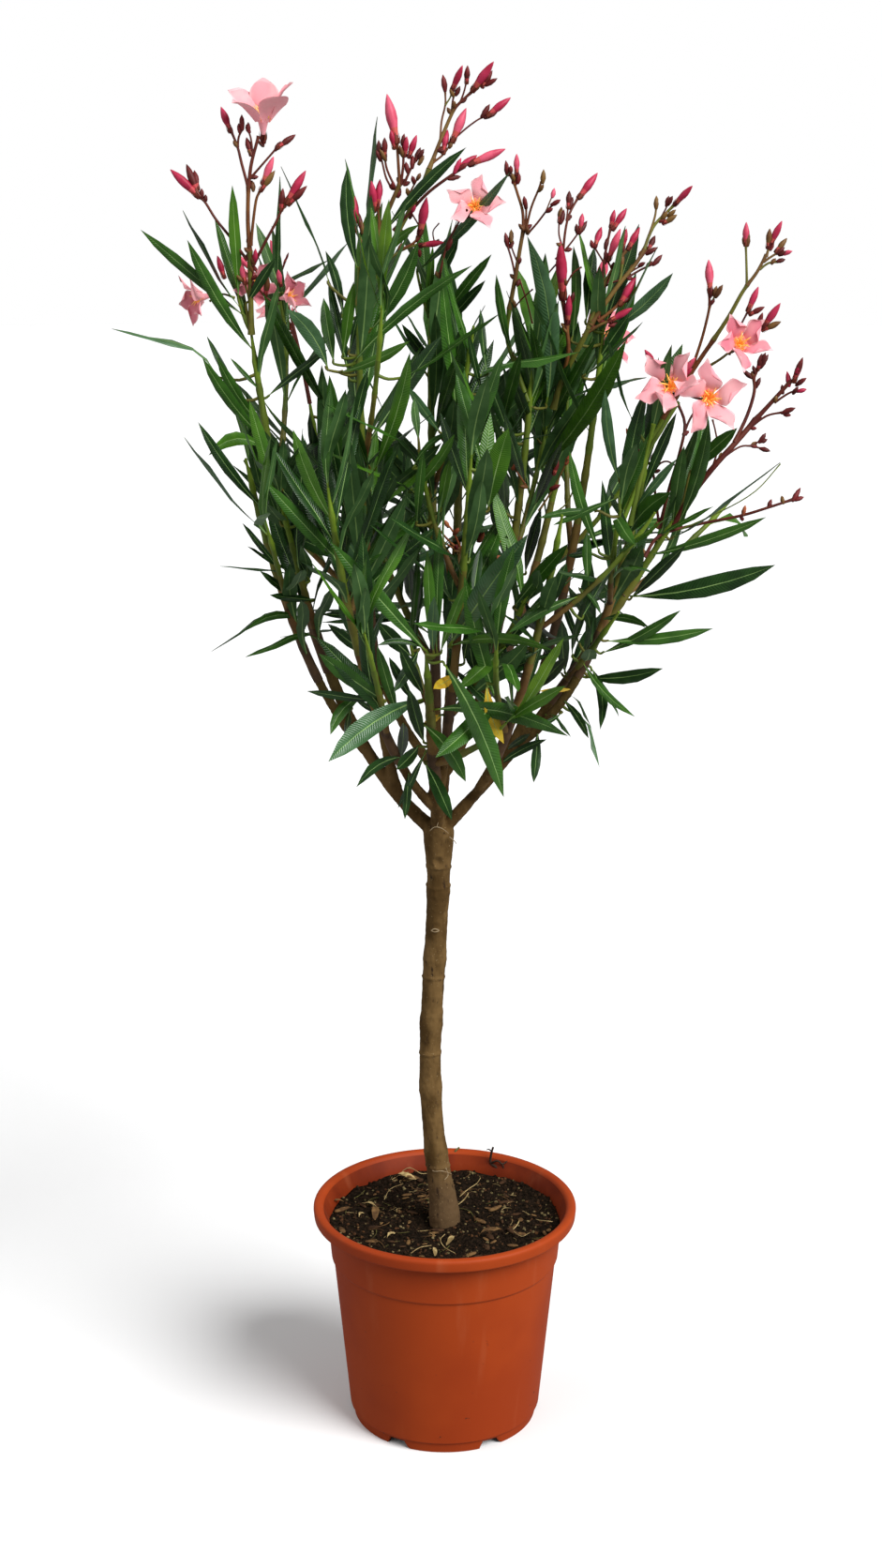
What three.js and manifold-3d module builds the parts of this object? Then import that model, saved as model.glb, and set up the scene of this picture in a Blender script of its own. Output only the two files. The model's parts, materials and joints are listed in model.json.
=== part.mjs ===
// Oleander grown as a small standard tree, in a round plastic nursery pot filled with potting soil.
// One clean trunk rises from the soil to a head at which it forks. The boughs leave the head, fork again and
// each ends in a mass of leafy shoots, many with a branched flower stalk of buds and open flowers.
// Millimetres, +Z up, origin at the middle of the pot's underside, the viewer's side towards -Y.

import * as THREE from "three";
import { mergeVertices } from "three/addons/utils/BufferGeometryUtils.js";
import Module from "manifold-3d";

const wasm = await Module();
wasm.setup();

// Driving dimensions of the pot and its soil. The rim stands out over a collar, and the collar a little over
// the body; the foot ring is set in again and cut by notches.
const POT = {
  rimRadius: 120,
  rimTop: 208,
  rimHeight: 12,
  rimWidth: 8,
  rimRounding: 2.5,
  collarTopRadius: 107,
  collarFootRadius: 103.5,
  collarFoot: 156,
  bodyTopRadius: 101.5,
  bodyFootRadius: 87.5,
  footRadius: 84,
  footTop: 9,
  footDraft: 1.4,
  step: 2,
  wall: 2.2,
  floor: 6,
  notches: 6,
  notchWidth: 20,
  notchHeight: 4.5,
  notchDepth: 14,
  segments: 30,
};
const SOIL = { level: 190, relief: 1.5, wide: 0.1, fine: 0.21, flatRadius: 18, rings: [0.8, 0.52, 0.22] };

// Neighbouring parts keep this distance, and a joined solid is simplified by this much.
const GAP = 0.3;
const SIMPLER = 0.1;

// Driving dimensions of the trunk: it bows to one side and swells at its foot, at its old leaf rings and at
// its head.
const TRUNK = {
  headHeight: 562,
  headLean: -5.4,
  bow: 11,
  bowBias: 0.72,
  depthBow: 2,
  radius: 9.7,
  flare: 3.6,
  flareHeight: 42,
  headSwell: 3.4,
  headDown: 8,
  headLength: 26,
  headDome: 7,
  domeRings: 6,
  ringSwell: 1.1,
  ringPitch: 62,
  ringStart: 26,
  ringLength: 7,
  sides: 9,
  steps: 18,
  cutWidth: 80,
  cutHeight: 20,
};

// Driving dimensions of the boughs and stems. A side shoot leaves its leader between `lowest` and `highest`,
// rises by `rise` of the leader and reaches `reach` out of it.
const BOUGH = { sides: 5, steps: 4, taper: 0.8, rooted: 3 };
const STEM = { tipRadius: 1.9, sides: 3, pitch: 55, thicken: 1.2, leastSteps: 3 };
const SHOOT = {
  lowest: 0.1,
  highest: 0.56,
  rise: 0.46,
  reach: 52,
  reachSpread: 24,
  turnSpread: 20,
  bend: 0.45,
  bow: 0.25,
  thin: 0.72,
};

// Driving dimensions of the leaves, which stand in whorls that open wider the further down they are.
const LEAF = {
  length: 116,
  slenderness: 5.6,
  thickness: 1.8,
  widest: 0.46,
  thickest: 0.16,
  fold: 0.03,
  rooted: 0.3,
  whorl: 3,
  highest: 2,
  lowest: 12,
  pitch: 31.5,
  pitchGrowth: 2.3,
  opening: 17,
  openingStep: 7,
  openingMost: 72,
  openingSpread: 14,
  turnSpread: 26,
  whorlTurn: 60,
  shootTurn: 40,
  massTurn: 17,
  youngSize: 0.8,
  youngGrowth: 0.1,
  sizeSpread: 0.24,
  oldWhorl: 5,
  oldSize: 0.86,
  widthSpread: 0.16,
  droop: 0.035,
  tries: 5,
  tryTurn: 13,
  tryClose: 0.08,
  strays: 0.1,
  strayOpening: 34,
  straySlack: 2,
};

// Driving dimensions of the flower stalks, buds and open flowers.
const CYME = {
  radius: 1.6,
  tipRadius: 0.9,
  rooted: 6,
  rise: 0.84,
  bend: 0.2,
  steps: 3,
  tipRooted: 0.97,
  tipStalk: 6,
  topGap: 0.4,
  branch: 0.37,
  branchShrink: 0.13,
  branchSpread: 0.3,
  openBranch: 0.2,
  branchTurn: 75,
  turnSpread: 30,
  spread: 36,
  bud: 31,
  budRadius: 3.5,
  budWidest: 0.45,
  budShrink: 0.08,
  budSizes: [0.8, 1.15],
};
const FLOWER = {
  radius: 28,
  notch: 0.56,
  depth: 17,
  throat: 0.42,
  rise: 3,
  petals: 5,
  facing: 0.8,
  rooted: 2,
};

// The crown is a cup whose wall leans outwards, and each mass has its own space in it.
const CROWN = {
  foot: 575,
  height: 560,
  footRadius: 55,
  slope: 0.85,
  radius: 205,
  widening: 0.14,
  lean: 40,
  raggedness: 0.16,
};

// How the masses share the crown: points of stems and leaves that keep a clearance, in a grid of cells.
const SPACE = {
  share: 40,
  cell: 12,
  clearance: 7,
  bladePoints: 7,
  rootShare: 0.2,
  stemPoints: 12,
  stalkPoints: 8,
};

const DEGREE = Math.PI / 180;
const GOLDEN_TURN = 137.5;

// The seed of all that is random, and what names a bough's rows of random numbers.
const SEED = 1;
const ROW = { shoots: 77, cyme: 500, sideCyme: 501 };

// The boughs. `from` is the bough that it forks from (none: the trunk's head) and `at` how far along it.
// `heading` is the way it leans, anticlockwise from +X. `spread` and `top` place its leafy tip. `sweep` is
// how soon it reaches outwards and `rise` how much it has risen by then. `foot` is its radius at the fork
// and `entry` where its foliage begins. `shoots` counts the side shoots of its mass and `turn` is the way of
// the first of them from the heading. `cyme` is its flower stalk and `sideCyme` that of its highest side
// shoot: length, lean from upright and heading, where its first branch leaves it and which way, how many
// branches there are, and which of its ends bear open flowers rather than buds.
const BOUGHS = [
  {
    ...{ name: "west", heading: 181, spread: 160, top: 992, sweep: 0.74, rise: 0.2, foot: 6.2, entry: 0.38 },
    ...{ shoots: 2, turn: 100 },
    cyme: { length: 198, lean: 4, heading: 10, first: 0.42, branches: 5, turn: 280, open: [0, 1] },
    sideCyme: { length: 80, lean: 30, heading: 200, first: 0.1, branches: 3, turn: 185, open: [1, 3] },
  },
  {
    ...{ name: "front", heading: 262, spread: 112, top: 745, sweep: 0.5, rise: 0.5, foot: 6.6, entry: 0.34 },
    ...{ shoots: 2, turn: 60 },
  },
  {
    ...{ name: "centre", heading: 115, spread: 30, top: 1001, sweep: 0.5, rise: 0.35, foot: 5.4 },
    ...{ entry: 0.26, shoots: 2, turn: 40 },
    cyme: { length: 200, lean: 4, heading: 0, first: 0.3, branches: 4, turn: 350, open: [1] },
  },
  {
    ...{ name: "east", heading: 1, spread: 199, top: 845, sweep: 0.48, rise: 0.36, foot: 5.6, entry: 0.44 },
    ...{ shoots: 2, turn: -100 },
    cyme: { length: 140, lean: 37, heading: 0, first: 0.3, branches: 4, turn: 60, open: [] },
  },
  {
    ...{ name: "north", heading: 84, spread: 150, top: 965, sweep: 0.66, rise: 0.24, foot: 5.6, entry: 0.34 },
    ...{ shoots: 1, turn: 80 },
    cyme: { length: 130, lean: 14, heading: 80, first: 0.4, branches: 3, turn: 0, open: [2] },
  },
  {
    ...{ name: "west_low", from: "west", at: 0.2, heading: 192, spread: 168, top: 893 },
    ...{ sweep: 0.62, rise: 0.27, foot: 4.6, entry: 0.3, shoots: 1, turn: 90 },
  },
  {
    ...{ name: "centre_west", from: "west", at: 0.1, heading: 202, spread: 76, top: 1018 },
    ...{ sweep: 0.95, rise: 0.2, foot: 5, entry: 0.28, shoots: 2, turn: -60 },
    cyme: { length: 205, lean: 24, heading: 0, first: 0.3, branches: 5, turn: 150, open: [] },
  },
  {
    ...{ name: "south_west", from: "front", at: 0.14, heading: 228, spread: 140, top: 880 },
    ...{ sweep: 0.72, rise: 0.25, foot: 4.6, entry: 0.22, shoots: 2, turn: 60 },
  },
  {
    ...{ name: "south", from: "front", at: 0.14, heading: 280, spread: 118, top: 905 },
    ...{ sweep: 0.6, rise: 0.4, foot: 4.6, entry: 0.22, shoots: 2, turn: 90 },
  },
  {
    ...{ name: "south_east", from: "east", at: 0.12, heading: 309, spread: 148, top: 860 },
    ...{ sweep: 0.6, rise: 0.28, foot: 4.6, entry: 0.22, shoots: 2, turn: -70 },
  },
  {
    ...{ name: "centre_east", from: "centre", at: 0.1, heading: 8, spread: 74, top: 966 },
    ...{ sweep: 0.75, rise: 0.2, foot: 4.6, entry: 0.28, shoots: 1, turn: 60 },
    cyme: { length: 165, lean: 3, heading: 0, first: 0.3, branches: 5, turn: 190, open: [] },
  },
  {
    ...{ name: "east_upper", from: "east", at: 0.18, heading: 6, spread: 132, top: 990 },
    ...{ sweep: 0.72, rise: 0.2, foot: 4.8, entry: 0.3, shoots: 1, turn: 90 },
    cyme: { length: 140, lean: 20, heading: 0, first: 0.3, branches: 4, turn: 200, open: [] },
  },
  {
    ...{ name: "east_high", from: "east", at: 0.3, heading: 346, spread: 172, top: 905 },
    ...{ sweep: 0.72, rise: 0.22, foot: 4.4, entry: 0.3, shoots: 1, turn: -90 },
    cyme: { length: 195, lean: 29, heading: 0, first: 0.12, branches: 4, turn: 228, open: [1, 2, 3] },
  },
  {
    ...{ name: "north_east", from: "north", at: 0.16, heading: 46, spread: 158, top: 915 },
    ...{ sweep: 0.66, rise: 0.24, foot: 4.6, entry: 0.3, shoots: 1, turn: -60 },
    cyme: { length: 120, lean: 20, heading: 50, first: 0.4, branches: 2, turn: 0, open: [1] },
  },
  {
    ...{ name: "north_west", from: "north", at: 0.12, heading: 138, spread: 160, top: 925 },
    ...{ sweep: 0.7, rise: 0.22, foot: 4.6, entry: 0.3, shoots: 1, turn: 60 },
    cyme: { length: 125, lean: 15, heading: 150, first: 0.4, branches: 2, turn: 90, open: [1] },
  },
];

// The flat colours of the parts.
const COLOURS = {
  pot: [0.68, 0.23, 0.09],
  soil: [0.07, 0.05, 0.035],
  bark: [0.3, 0.2, 0.12],
  leaf: [0.07, 0.2, 0.06],
};

const UP = new THREE.Vector3(0, 0, 1);
const TO_VIEWER = new THREE.Vector3(0, -1, 0);
const vec = (x, y, z) => new THREE.Vector3(x, y, z);

// The way at a heading, level with the ground.
function wayAt(heading) {
  return vec(Math.cos(heading * DEGREE), Math.sin(heading * DEGREE), 0);
}

// The way that leans from `way` towards `side` by an angle.
function leaning(way, side, angle) {
  return way
    .clone()
    .multiplyScalar(Math.cos(angle * DEGREE))
    .addScaledVector(side, Math.sin(angle * DEGREE))
    .normalize();
}

// A seeded row of even random numbers from 0 to 1. Each whorl has its own row, so leaving out a leaf changes
// no other.
function dice(...seeds) {
  const modulus = 2147483647;
  let state = seeds.reduce((sum, seed, i) => (sum * 613 + (seed + 1) * (7919 + i)) % modulus, SEED);
  const roll = () => {
    state = (state * 16807) % modulus;
    return state / modulus;
  };
  roll();
  roll();
  return roll;
}

// A roll as an offset of up to half of `spread` to either side.
function jitter(roll, spread) {
  return spread * (roll() - 0.5);
}

// A closed mesh as a solid.
function solidOf(geometry) {
  const bare = geometry.clone();
  bare.deleteAttribute("normal");
  bare.deleteAttribute("uv");
  const merged = mergeVertices(bare, 1e-3);
  return new wasm.Manifold(
    new wasm.Mesh({
      numProp: 3,
      vertProperties: new Float32Array(merged.attributes.position.array),
      triVerts: new Uint32Array(merged.index.array),
    }),
  );
}

// A solid as a mesh.
function geometryOf(solid) {
  const mesh = solid.getMesh();
  const geometry = new THREE.BufferGeometry();
  geometry.setAttribute("position", new THREE.BufferAttribute(new Float32Array(mesh.vertProperties), 3));
  geometry.setIndex(new THREE.BufferAttribute(new Uint32Array(mesh.triVerts), 1));
  geometry.computeVertexNormals();
  return geometry;
}

// Moves each vertex of a mesh to the place that `place` gives for it.
function reshape(geometry, place) {
  const position = geometry.attributes.position;
  for (let i = 0; i < position.count; i++) {
    const moved = place(vec(position.getX(i), position.getY(i), position.getZ(i)));
    position.setXYZ(i, moved.x, moved.y, moved.z);
  }
  return geometry;
}

// The stretch of a curve between two shares of its length.
class Stretch extends THREE.Curve {
  constructor(curve, from, to) {
    super();
    this.curve = curve;
    this.from = from;
    this.to = to;
  }
  getPoint(t, target = vec(0, 0, 0)) {
    return this.curve.getPointAt(this.from + (this.to - this.from) * t, target);
  }
}

// A rod bent along a curve: a cylinder whose rings are set square to the curve, with `radiusAt` their radii.
function rod(curve, radiusAt, sides, steps) {
  const frames = curve.computeFrenetFrames(steps, false);
  return reshape(new THREE.CylinderGeometry(1, 1, 1, sides, steps), (vertex) => {
    const t = vertex.y + 0.5;
    const ring = Math.round(t * steps);
    return curve
      .getPointAt(t)
      .addScaledVector(frames.normals[ring], vertex.x * radiusAt(t))
      .addScaledVector(frames.binormals[ring], -vertex.z * radiusAt(t));
  });
}

// A soft bump of height 1, `width` wide, around zero.
function bump(distance, width) {
  return Math.exp(-((distance / width) ** 2));
}

// A body turned about the upright axis from a profile of radius and height.
function turned(profile, segments = POT.segments) {
  const points = profile.map(([radius, height]) => new THREE.Vector2(radius, height));
  return new THREE.LatheGeometry(points, segments).rotateX(Math.PI / 2);
}

// The pot's inner wall as points of radius and height, from its lip down to its floor.
function potInside() {
  const p = POT;
  return [
    [p.collarTopRadius - p.wall + 1, p.rimTop - p.rimHeight + p.rimRounding],
    [p.bodyTopRadius - p.wall, p.collarFoot],
    [p.bodyFootRadius - p.wall, p.floor],
  ];
}

// The pot: one turned wall with a rolled rim, a collar over the plain body and a foot ring cut by notches.
function potSolid() {
  const p = POT;
  const lip = p.rimTop - p.rimHeight;
  const wall = turned([
    [0, 0],
    [p.footRadius, 0],
    [p.footRadius + p.footDraft, p.footTop],
    [p.bodyFootRadius, p.footTop + p.step],
    [p.bodyTopRadius, p.collarFoot],
    [p.collarFootRadius, p.collarFoot + p.step],
    [p.collarTopRadius, lip + p.rimRounding],
    [p.rimRadius - p.rimRounding, lip],
    [p.rimRadius, lip + p.rimRounding],
    [p.rimRadius, p.rimTop - p.rimRounding],
    [p.rimRadius - p.rimRounding, p.rimTop],
    [p.rimRadius - p.rimWidth + p.rimRounding, p.rimTop],
    [p.rimRadius - p.rimWidth, p.rimTop - p.rimRounding],
    ...potInside(),
    [0, p.floor],
  ]);
  let pot = solidOf(wall);
  for (let i = 0; i < p.notches; i++) {
    const notch = new THREE.BoxGeometry(p.notchDepth * 2, p.notchWidth, p.notchHeight * 2)
      .translate(p.footRadius, 0, 0)
      .rotateZ((i / p.notches) * 2 * Math.PI);
    pot = pot.subtract(solidOf(notch));
  }
  return pot;
}

// The height of the soil's uneven top, flat about the trunk's foot.
function soilHeight(x, y) {
  const { wide, fine } = SOIL;
  const ripple = Math.sin(x * wide + 1) * Math.cos(y * wide) + 0.5 * Math.sin((x - y) * fine);
  const fromTrunk = Math.hypot(x, y) / SOIL.flatRadius - 1;
  return SOIL.level + SOIL.relief * ripple * Math.min(1, Math.max(0, fromTrunk));
}

// The potting soil: one block that fills the pot, with an uneven top.
function soilSolid() {
  const [lip, shoulder, base] = potInside();
  const share = (SOIL.level - shoulder[1]) / (lip[1] - shoulder[1]);
  const topRadius = shoulder[0] + (lip[0] - shoulder[0]) * share - 2 * GAP;
  const block = turned([
    [0, base[1] + GAP],
    [base[0] - GAP, base[1] + GAP],
    [shoulder[0] - GAP, shoulder[1]],
    [topRadius, SOIL.level - 2 * SOIL.relief],
    ...SOIL.rings.map((ring) => [topRadius * ring, SOIL.level]),
    [0, SOIL.level],
  ]);
  const isTop = (v) => v.z > SOIL.level - SOIL.relief;
  return solidOf(reshape(block, (v) => (isTop(v) ? vec(v.x, v.y, soilHeight(v.x, v.y)) : v)));
}

// The trunk's middle line, from the soil to the head.
class TrunkLine extends THREE.Curve {
  getPoint(t, target = vec(0, 0, 0)) {
    const side = TRUNK.headLean * t - TRUNK.bow * Math.sin(Math.PI * t ** TRUNK.bowBias) ** 2;
    const foot = SOIL.level + GAP;
    return target.set(side, TRUNK.depthBow * Math.sin(Math.PI * t), foot + (TRUNK.headHeight - foot) * t);
  }
}

// The trunk's radius at parameter t.
function trunkRadius(t) {
  const up = t * (TRUNK.headHeight - SOIL.level);
  const down = TRUNK.headHeight - SOIL.level - up;
  const fromRing = ((up + TRUNK.ringStart) % TRUNK.ringPitch) - TRUNK.ringPitch / 2;
  return (
    TRUNK.radius +
    TRUNK.flare * bump(up, TRUNK.flareHeight) +
    TRUNK.headSwell * bump(down - TRUNK.headDown, TRUNK.headLength) +
    TRUNK.ringSwell * bump(fromRing, TRUNK.ringLength)
  );
}

// The trunk with its rounded head, `more` millimetres larger all round where a bough is to be cut clear of
// it. Its dome is turned by half a side, so that no edge of it runs along an edge of the shaft.
function trunkSolid(more = 0) {
  const line = new TrunkLine();
  const top = line.getPoint(1);
  const domeRadius = trunkRadius(1) + more;
  const shaft = rod(line, (t) => trunkRadius(t) + more, TRUNK.sides, TRUNK.steps);
  const dome = new THREE.SphereGeometry(1, TRUNK.sides, TRUNK.domeRings)
    .rotateX(Math.PI / 2)
    .scale(domeRadius, domeRadius, TRUNK.headDome + more)
    .rotateZ(Math.PI / TRUNK.sides)
    .translate(top.x, top.y, top.z);
  const whole = solidOf(shaft).add(solidOf(dome));
  const { cutWidth, cutHeight } = TRUNK;
  const below = new THREE.BoxGeometry(cutWidth, cutWidth, cutHeight);
  below.translate(0, 0, SOIL.level + GAP - cutHeight / 2);
  return more ? whole : whole.subtract(solidOf(below));
}

// The whole line of a bough from its fork to its leafy tip: it reaches outwards first and then rises.
function leaderLine(start, tip, sweep, rise) {
  const bend = start.clone().lerp(tip, sweep).setZ(start.z + (tip.z - start.z) * rise);
  return new THREE.QuadraticBezierCurve3(start, bend, tip);
}

// The radius of a bough and its leading shoot at share t of their common line.
function leaderRadius(bough, t) {
  return STEM.tipRadius + (bough.foot - STEM.tipRadius) * (1 - t) ** BOUGH.taper;
}

// A side shoot of a mass: it leaves the leader low or high and ends beside it, a little higher up.
function sideShoot(bough, line, number, roll) {
  const share = bough.shoots > 1 ? (number - 1) / (bough.shoots - 1) : 0.5;
  const at = SHOOT.lowest + (SHOOT.highest - SHOOT.lowest) * share;
  const onLine = (fraction) => bough.entry + (1 - bough.entry) * Math.min(1, fraction);
  const out = wayAt(bough.heading + bough.turn + GOLDEN_TURN * (number - 1) + jitter(roll, SHOOT.turnSpread));
  const reach = SHOOT.reach + SHOOT.reachSpread * roll();
  const foot = line.getPointAt(onLine(at));
  const end = line.getPointAt(onLine(at + SHOOT.rise)).addScaledVector(out, reach);
  const bend = foot.clone().lerp(end, SHOOT.bend).addScaledVector(out, SHOOT.bow * reach);
  const footRadius = leaderRadius(bough, onLine(at)) * SHOOT.thin;
  return {
    line: new THREE.QuadraticBezierCurve3(foot, bend, end),
    radius: (t) => STEM.tipRadius + (footRadius - STEM.tipRadius) * (1 - t),
  };
}

// Each bough's line, and the shoots of the mass that it carries: the leader first, then its side shoots,
// which leave it by turns of the golden angle.
function growBoughs() {
  const head = new TrunkLine().getPoint(1).addScaledVector(UP, -BOUGH.rooted);
  const lines = new Map();
  return BOUGHS.map((bough, index) => {
    const start = bough.from ? lines.get(bough.from).getPointAt(bough.at) : head.clone();
    const tip = wayAt(bough.heading).multiplyScalar(bough.spread).setZ(bough.top);
    const line = leaderLine(start, tip, bough.sweep, bough.rise);
    lines.set(bough.name, line);
    const leader = {
      line: new Stretch(line, bough.entry, 1),
      radius: (t) => leaderRadius(bough, bough.entry + (1 - bough.entry) * t),
    };
    const roll = dice(index, ROW.shoots);
    const shoots = [leader];
    for (let number = 1; number <= bough.shoots; number++) shoots.push(sideShoot(bough, line, number, roll));
    const highest = shoots.at(-1);
    if (bough.cyme) leader.bloom = growCyme(leader, bough.cyme, dice(index, ROW.cyme));
    if (bough.sideCyme) highest.bloom = growCyme(highest, bough.sideCyme, dice(index, ROW.sideCyme));
    return { bough, index, line, shoots };
  });
}

// A bough as a tapering limb from its fork to where it enters its mass, `more` millimetres larger all round.
function boughRod(grown, more = 0) {
  const { bough, line } = grown;
  const limb = new Stretch(line, 0, bough.entry);
  return solidOf(rod(limb, (t) => leaderRadius(bough, bough.entry * t) + more, BOUGH.sides, BOUGH.steps));
}

// One leaf of a whorl, as the row of places that it may take, best first: it grows from the stem at `foot`,
// opened from the stem's way, and turns aside and closes by a few degrees where its first place is taken.
function leafPlaces(shoot, whorl, down, turn, roll) {
  const u = 1 - down / shoot.line.getLength();
  const foot = shoot.line.getPointAt(u);
  const way = shoot.line.getTangentAt(u);
  const level = UP.clone().cross(way).normalize();
  const around = turn + jitter(roll, LEAF.turnSpread);
  const isStray = roll() < LEAF.strays;
  const usual = Math.min(LEAF.openingMost, LEAF.opening + LEAF.openingStep * whorl);
  const opening = usual + jitter(roll, LEAF.openingSpread) + (isStray ? LEAF.strayOpening : 0);
  const grown = Math.min(1, LEAF.youngSize + LEAF.youngGrowth * whorl);
  const age = whorl > LEAF.oldWhorl ? LEAF.oldSize : 1;
  const length = LEAF.length * grown * age * (1 + jitter(roll, LEAF.sizeSpread));
  const width = (length / LEAF.slenderness) * (1 + jitter(roll, LEAF.widthSpread));
  const slack = isStray ? LEAF.straySlack : jitter(roll, 2);
  const places = [];
  for (let attempt = 0; attempt < LEAF.tries; attempt++) {
    const aside = LEAF.tryTurn * Math.ceil(attempt / 2) * (attempt % 2 ? 1 : -1);
    const out = level.clone().applyAxisAngle(way, (around + aside) * DEGREE);
    const heading = leaning(way, out, opening * (1 - LEAF.tryClose * attempt))
      .addScaledVector(UP, -LEAF.droop * whorl)
      .normalize();
    places.push({ foot, heading, stemWay: way, stemRadius: shoot.radius(u), length, width, slack });
  }
  return places;
}

// All leaves that the rule would give one shoot, whorl by whorl from its tip down to its foot.
function shootLeaves(shoot, mass, number) {
  const leaves = [];
  const lowest = shoot.line.getLength() - LEAF.lowest;
  let down = LEAF.highest;
  for (let whorl = 0; down < lowest; whorl++) {
    const roll = dice(mass, number, whorl);
    const turn = LEAF.whorlTurn * whorl + LEAF.shootTurn * number + LEAF.massTurn * mass;
    for (let j = 0; j < LEAF.whorl; j++)
      leaves.push(leafPlaces(shoot, whorl, down, turn + (360 / LEAF.whorl) * j, roll));
    down += LEAF.pitch + LEAF.pitchGrowth * whorl;
  }
  return leaves;
}

// A leaf as a slender blade, folded a little along its midrib: an octahedron drawn out from inside the stem
// to the leaf's tip, thickest near its root and widest about halfway.
function leafSolid(leaf) {
  const across = leaf.stemWay.clone().cross(leaf.heading).normalize();
  const normal = leaf.heading.clone().cross(across).normalize();
  const along = (share) => leaf.foot.clone().addScaledVector(leaf.heading, leaf.length * share);
  return solidOf(
    reshape(new THREE.OctahedronGeometry(1, 0), (v) => {
      if (v.x > 0.5) return along(1);
      if (v.x < -0.5) return leaf.foot.clone().addScaledVector(leaf.heading, -LEAF.rooted * leaf.stemRadius);
      if (Math.abs(v.z) > 0.5)
        return along(LEAF.thickest).addScaledVector(normal, (Math.sign(v.z) * LEAF.thickness) / 2);
      return along(LEAF.widest)
        .addScaledVector(across, (Math.sign(v.y) * leaf.width) / 2)
        .addScaledVector(normal, leaf.length * LEAF.fold);
    }),
  );
}

// Turns a shape that stands at the origin so that it grows from `foot` towards `way`.
function grownFrom(geometry, foot, way) {
  const turn = new THREE.Quaternion().setFromUnitVectors(UP, way);
  return geometry.applyQuaternion(turn).translate(foot.x, foot.y, foot.z);
}

// A bud on its stalk, as one three-sided spindle of the stalk's length and then the bud's.
function budSolid({ foot, way, stalk, size }) {
  const bud = CYME.bud * size;
  const spindle = turned(
    [
      [0, 0],
      [CYME.radius, CYME.radius],
      [CYME.tipRadius, stalk],
      [CYME.budRadius * size, stalk + bud * CYME.budWidest],
      [0, stalk + bud],
    ],
    STEM.sides,
  );
  return solidOf(grownFrom(spindle, foot, way));
}

// An open flower on its stalk: a five-pointed dish, sunk at its throat, that is turned towards the viewer.
function flowerSolid({ foot, way, stalk, spin }) {
  const tip = foot.clone().addScaledVector(way, stalk);
  const facing = way.clone().addScaledVector(TO_VIEWER, FLOWER.facing).normalize();
  const dish = reshape(new THREE.SphereGeometry(1, 2 * FLOWER.petals, 2), (v) => {
    if (v.y > 0.5) return vec(0, 0, FLOWER.depth * FLOWER.throat);
    if (v.y < -0.5) return vec(0, 0, -FLOWER.rooted);
    const step = Math.round((Math.atan2(v.z, v.x) / Math.PI) * FLOWER.petals);
    const isTip = step % 2 === 0;
    const radius = FLOWER.radius * (isTip ? 1 : FLOWER.notch);
    const around = (-step / FLOWER.petals) * Math.PI + spin;
    const height = FLOWER.depth + (isTip ? FLOWER.rise : 0);
    return vec(Math.cos(around) * radius, Math.sin(around) * radius, height);
  });
  const stem = rod(new THREE.LineCurve3(foot, tip), () => CYME.tipRadius, STEM.sides, 1);
  return solidOf(stem).add(solidOf(grownFrom(dish, tip, facing)));
}

// The flower stalk of a shoot: an axis that bends upright, with branches around it at several levels, each
// with a bud or an open flower. End 0 is the axis's own tip and the branches count from the lowest.
function growCyme(shoot, cyme, roll) {
  const foot = shoot.line.getPoint(1);
  const way = shoot.line.getTangent(1);
  const axis = leaning(UP, wayAt(cyme.heading), cyme.lean);
  const root = foot.clone().addScaledVector(way, -CYME.rooted);
  const bend = foot.clone().addScaledVector(way.clone().add(axis), cyme.length * CYME.bend);
  const tip = foot.clone().addScaledVector(axis, cyme.length * CYME.rise);
  const line = new THREE.QuadraticBezierCurve3(root, bend, tip);
  const ends = [{ foot: line.getPoint(CYME.tipRooted), way: line.getTangent(1), stalk: CYME.tipStalk }];
  for (let level = 0; level < cyme.branches; level++) {
    const around = CYME.branchTurn * level + jitter(roll, CYME.turnSpread);
    const out = wayAt(cyme.turn).applyAxisAngle(axis, around * DEGREE);
    const isOpen = cyme.open.includes(level + 1);
    const share = isOpen ? CYME.openBranch : CYME.branch * (1 - CYME.branchShrink * level);
    ends.push({
      foot: line.getPoint(cyme.first + ((1 - cyme.first) * level) / (cyme.branches - CYME.topGap)),
      way: leaning(axis, out, CYME.spread),
      stalk: cyme.length * share * (1 + jitter(roll, CYME.branchSpread)),
    });
  }
  const [least, most] = CYME.budSizes;
  for (const [i, end] of ends.entries()) {
    end.size = (least + (most - least) * roll()) * (1 - CYME.budShrink * Math.max(0, i - 1));
    end.spin = roll() * Math.PI;
    end.isOpen = cyme.open.includes(i);
  }
  return { line, ends };
}

// The axis of a flower stalk.
function cymeAxis(bloom) {
  const radius = (t) => CYME.radius + (CYME.tipRadius - CYME.radius) * t;
  return solidOf(rod(bloom.line, radius, STEM.sides, CYME.steps));
}

// The crown's space, kept as a grid of cells that hold points of stems and leaves.
class Space {
  constructor() {
    this.cells = new Map();
  }
  cellOf(point) {
    return [point.x, point.y, point.z].map((value) => Math.floor(value / SPACE.cell));
  }
  add(point) {
    const key = this.cellOf(point).join();
    this.cells.set(key, [...(this.cells.get(key) ?? []), point]);
  }
  // Whether no point of the grid is nearer than the clearance.
  isFree(point) {
    const [x, y, z] = this.cellOf(point);
    for (let i = x - 1; i <= x + 1; i++)
      for (let j = y - 1; j <= y + 1; j++)
        for (let k = z - 1; k <= z + 1; k++)
          for (const taken of this.cells.get(`${i},${j},${k}`) ?? [])
            if (taken.distanceTo(point) < SPACE.clearance) return false;
    return true;
  }
}

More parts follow.
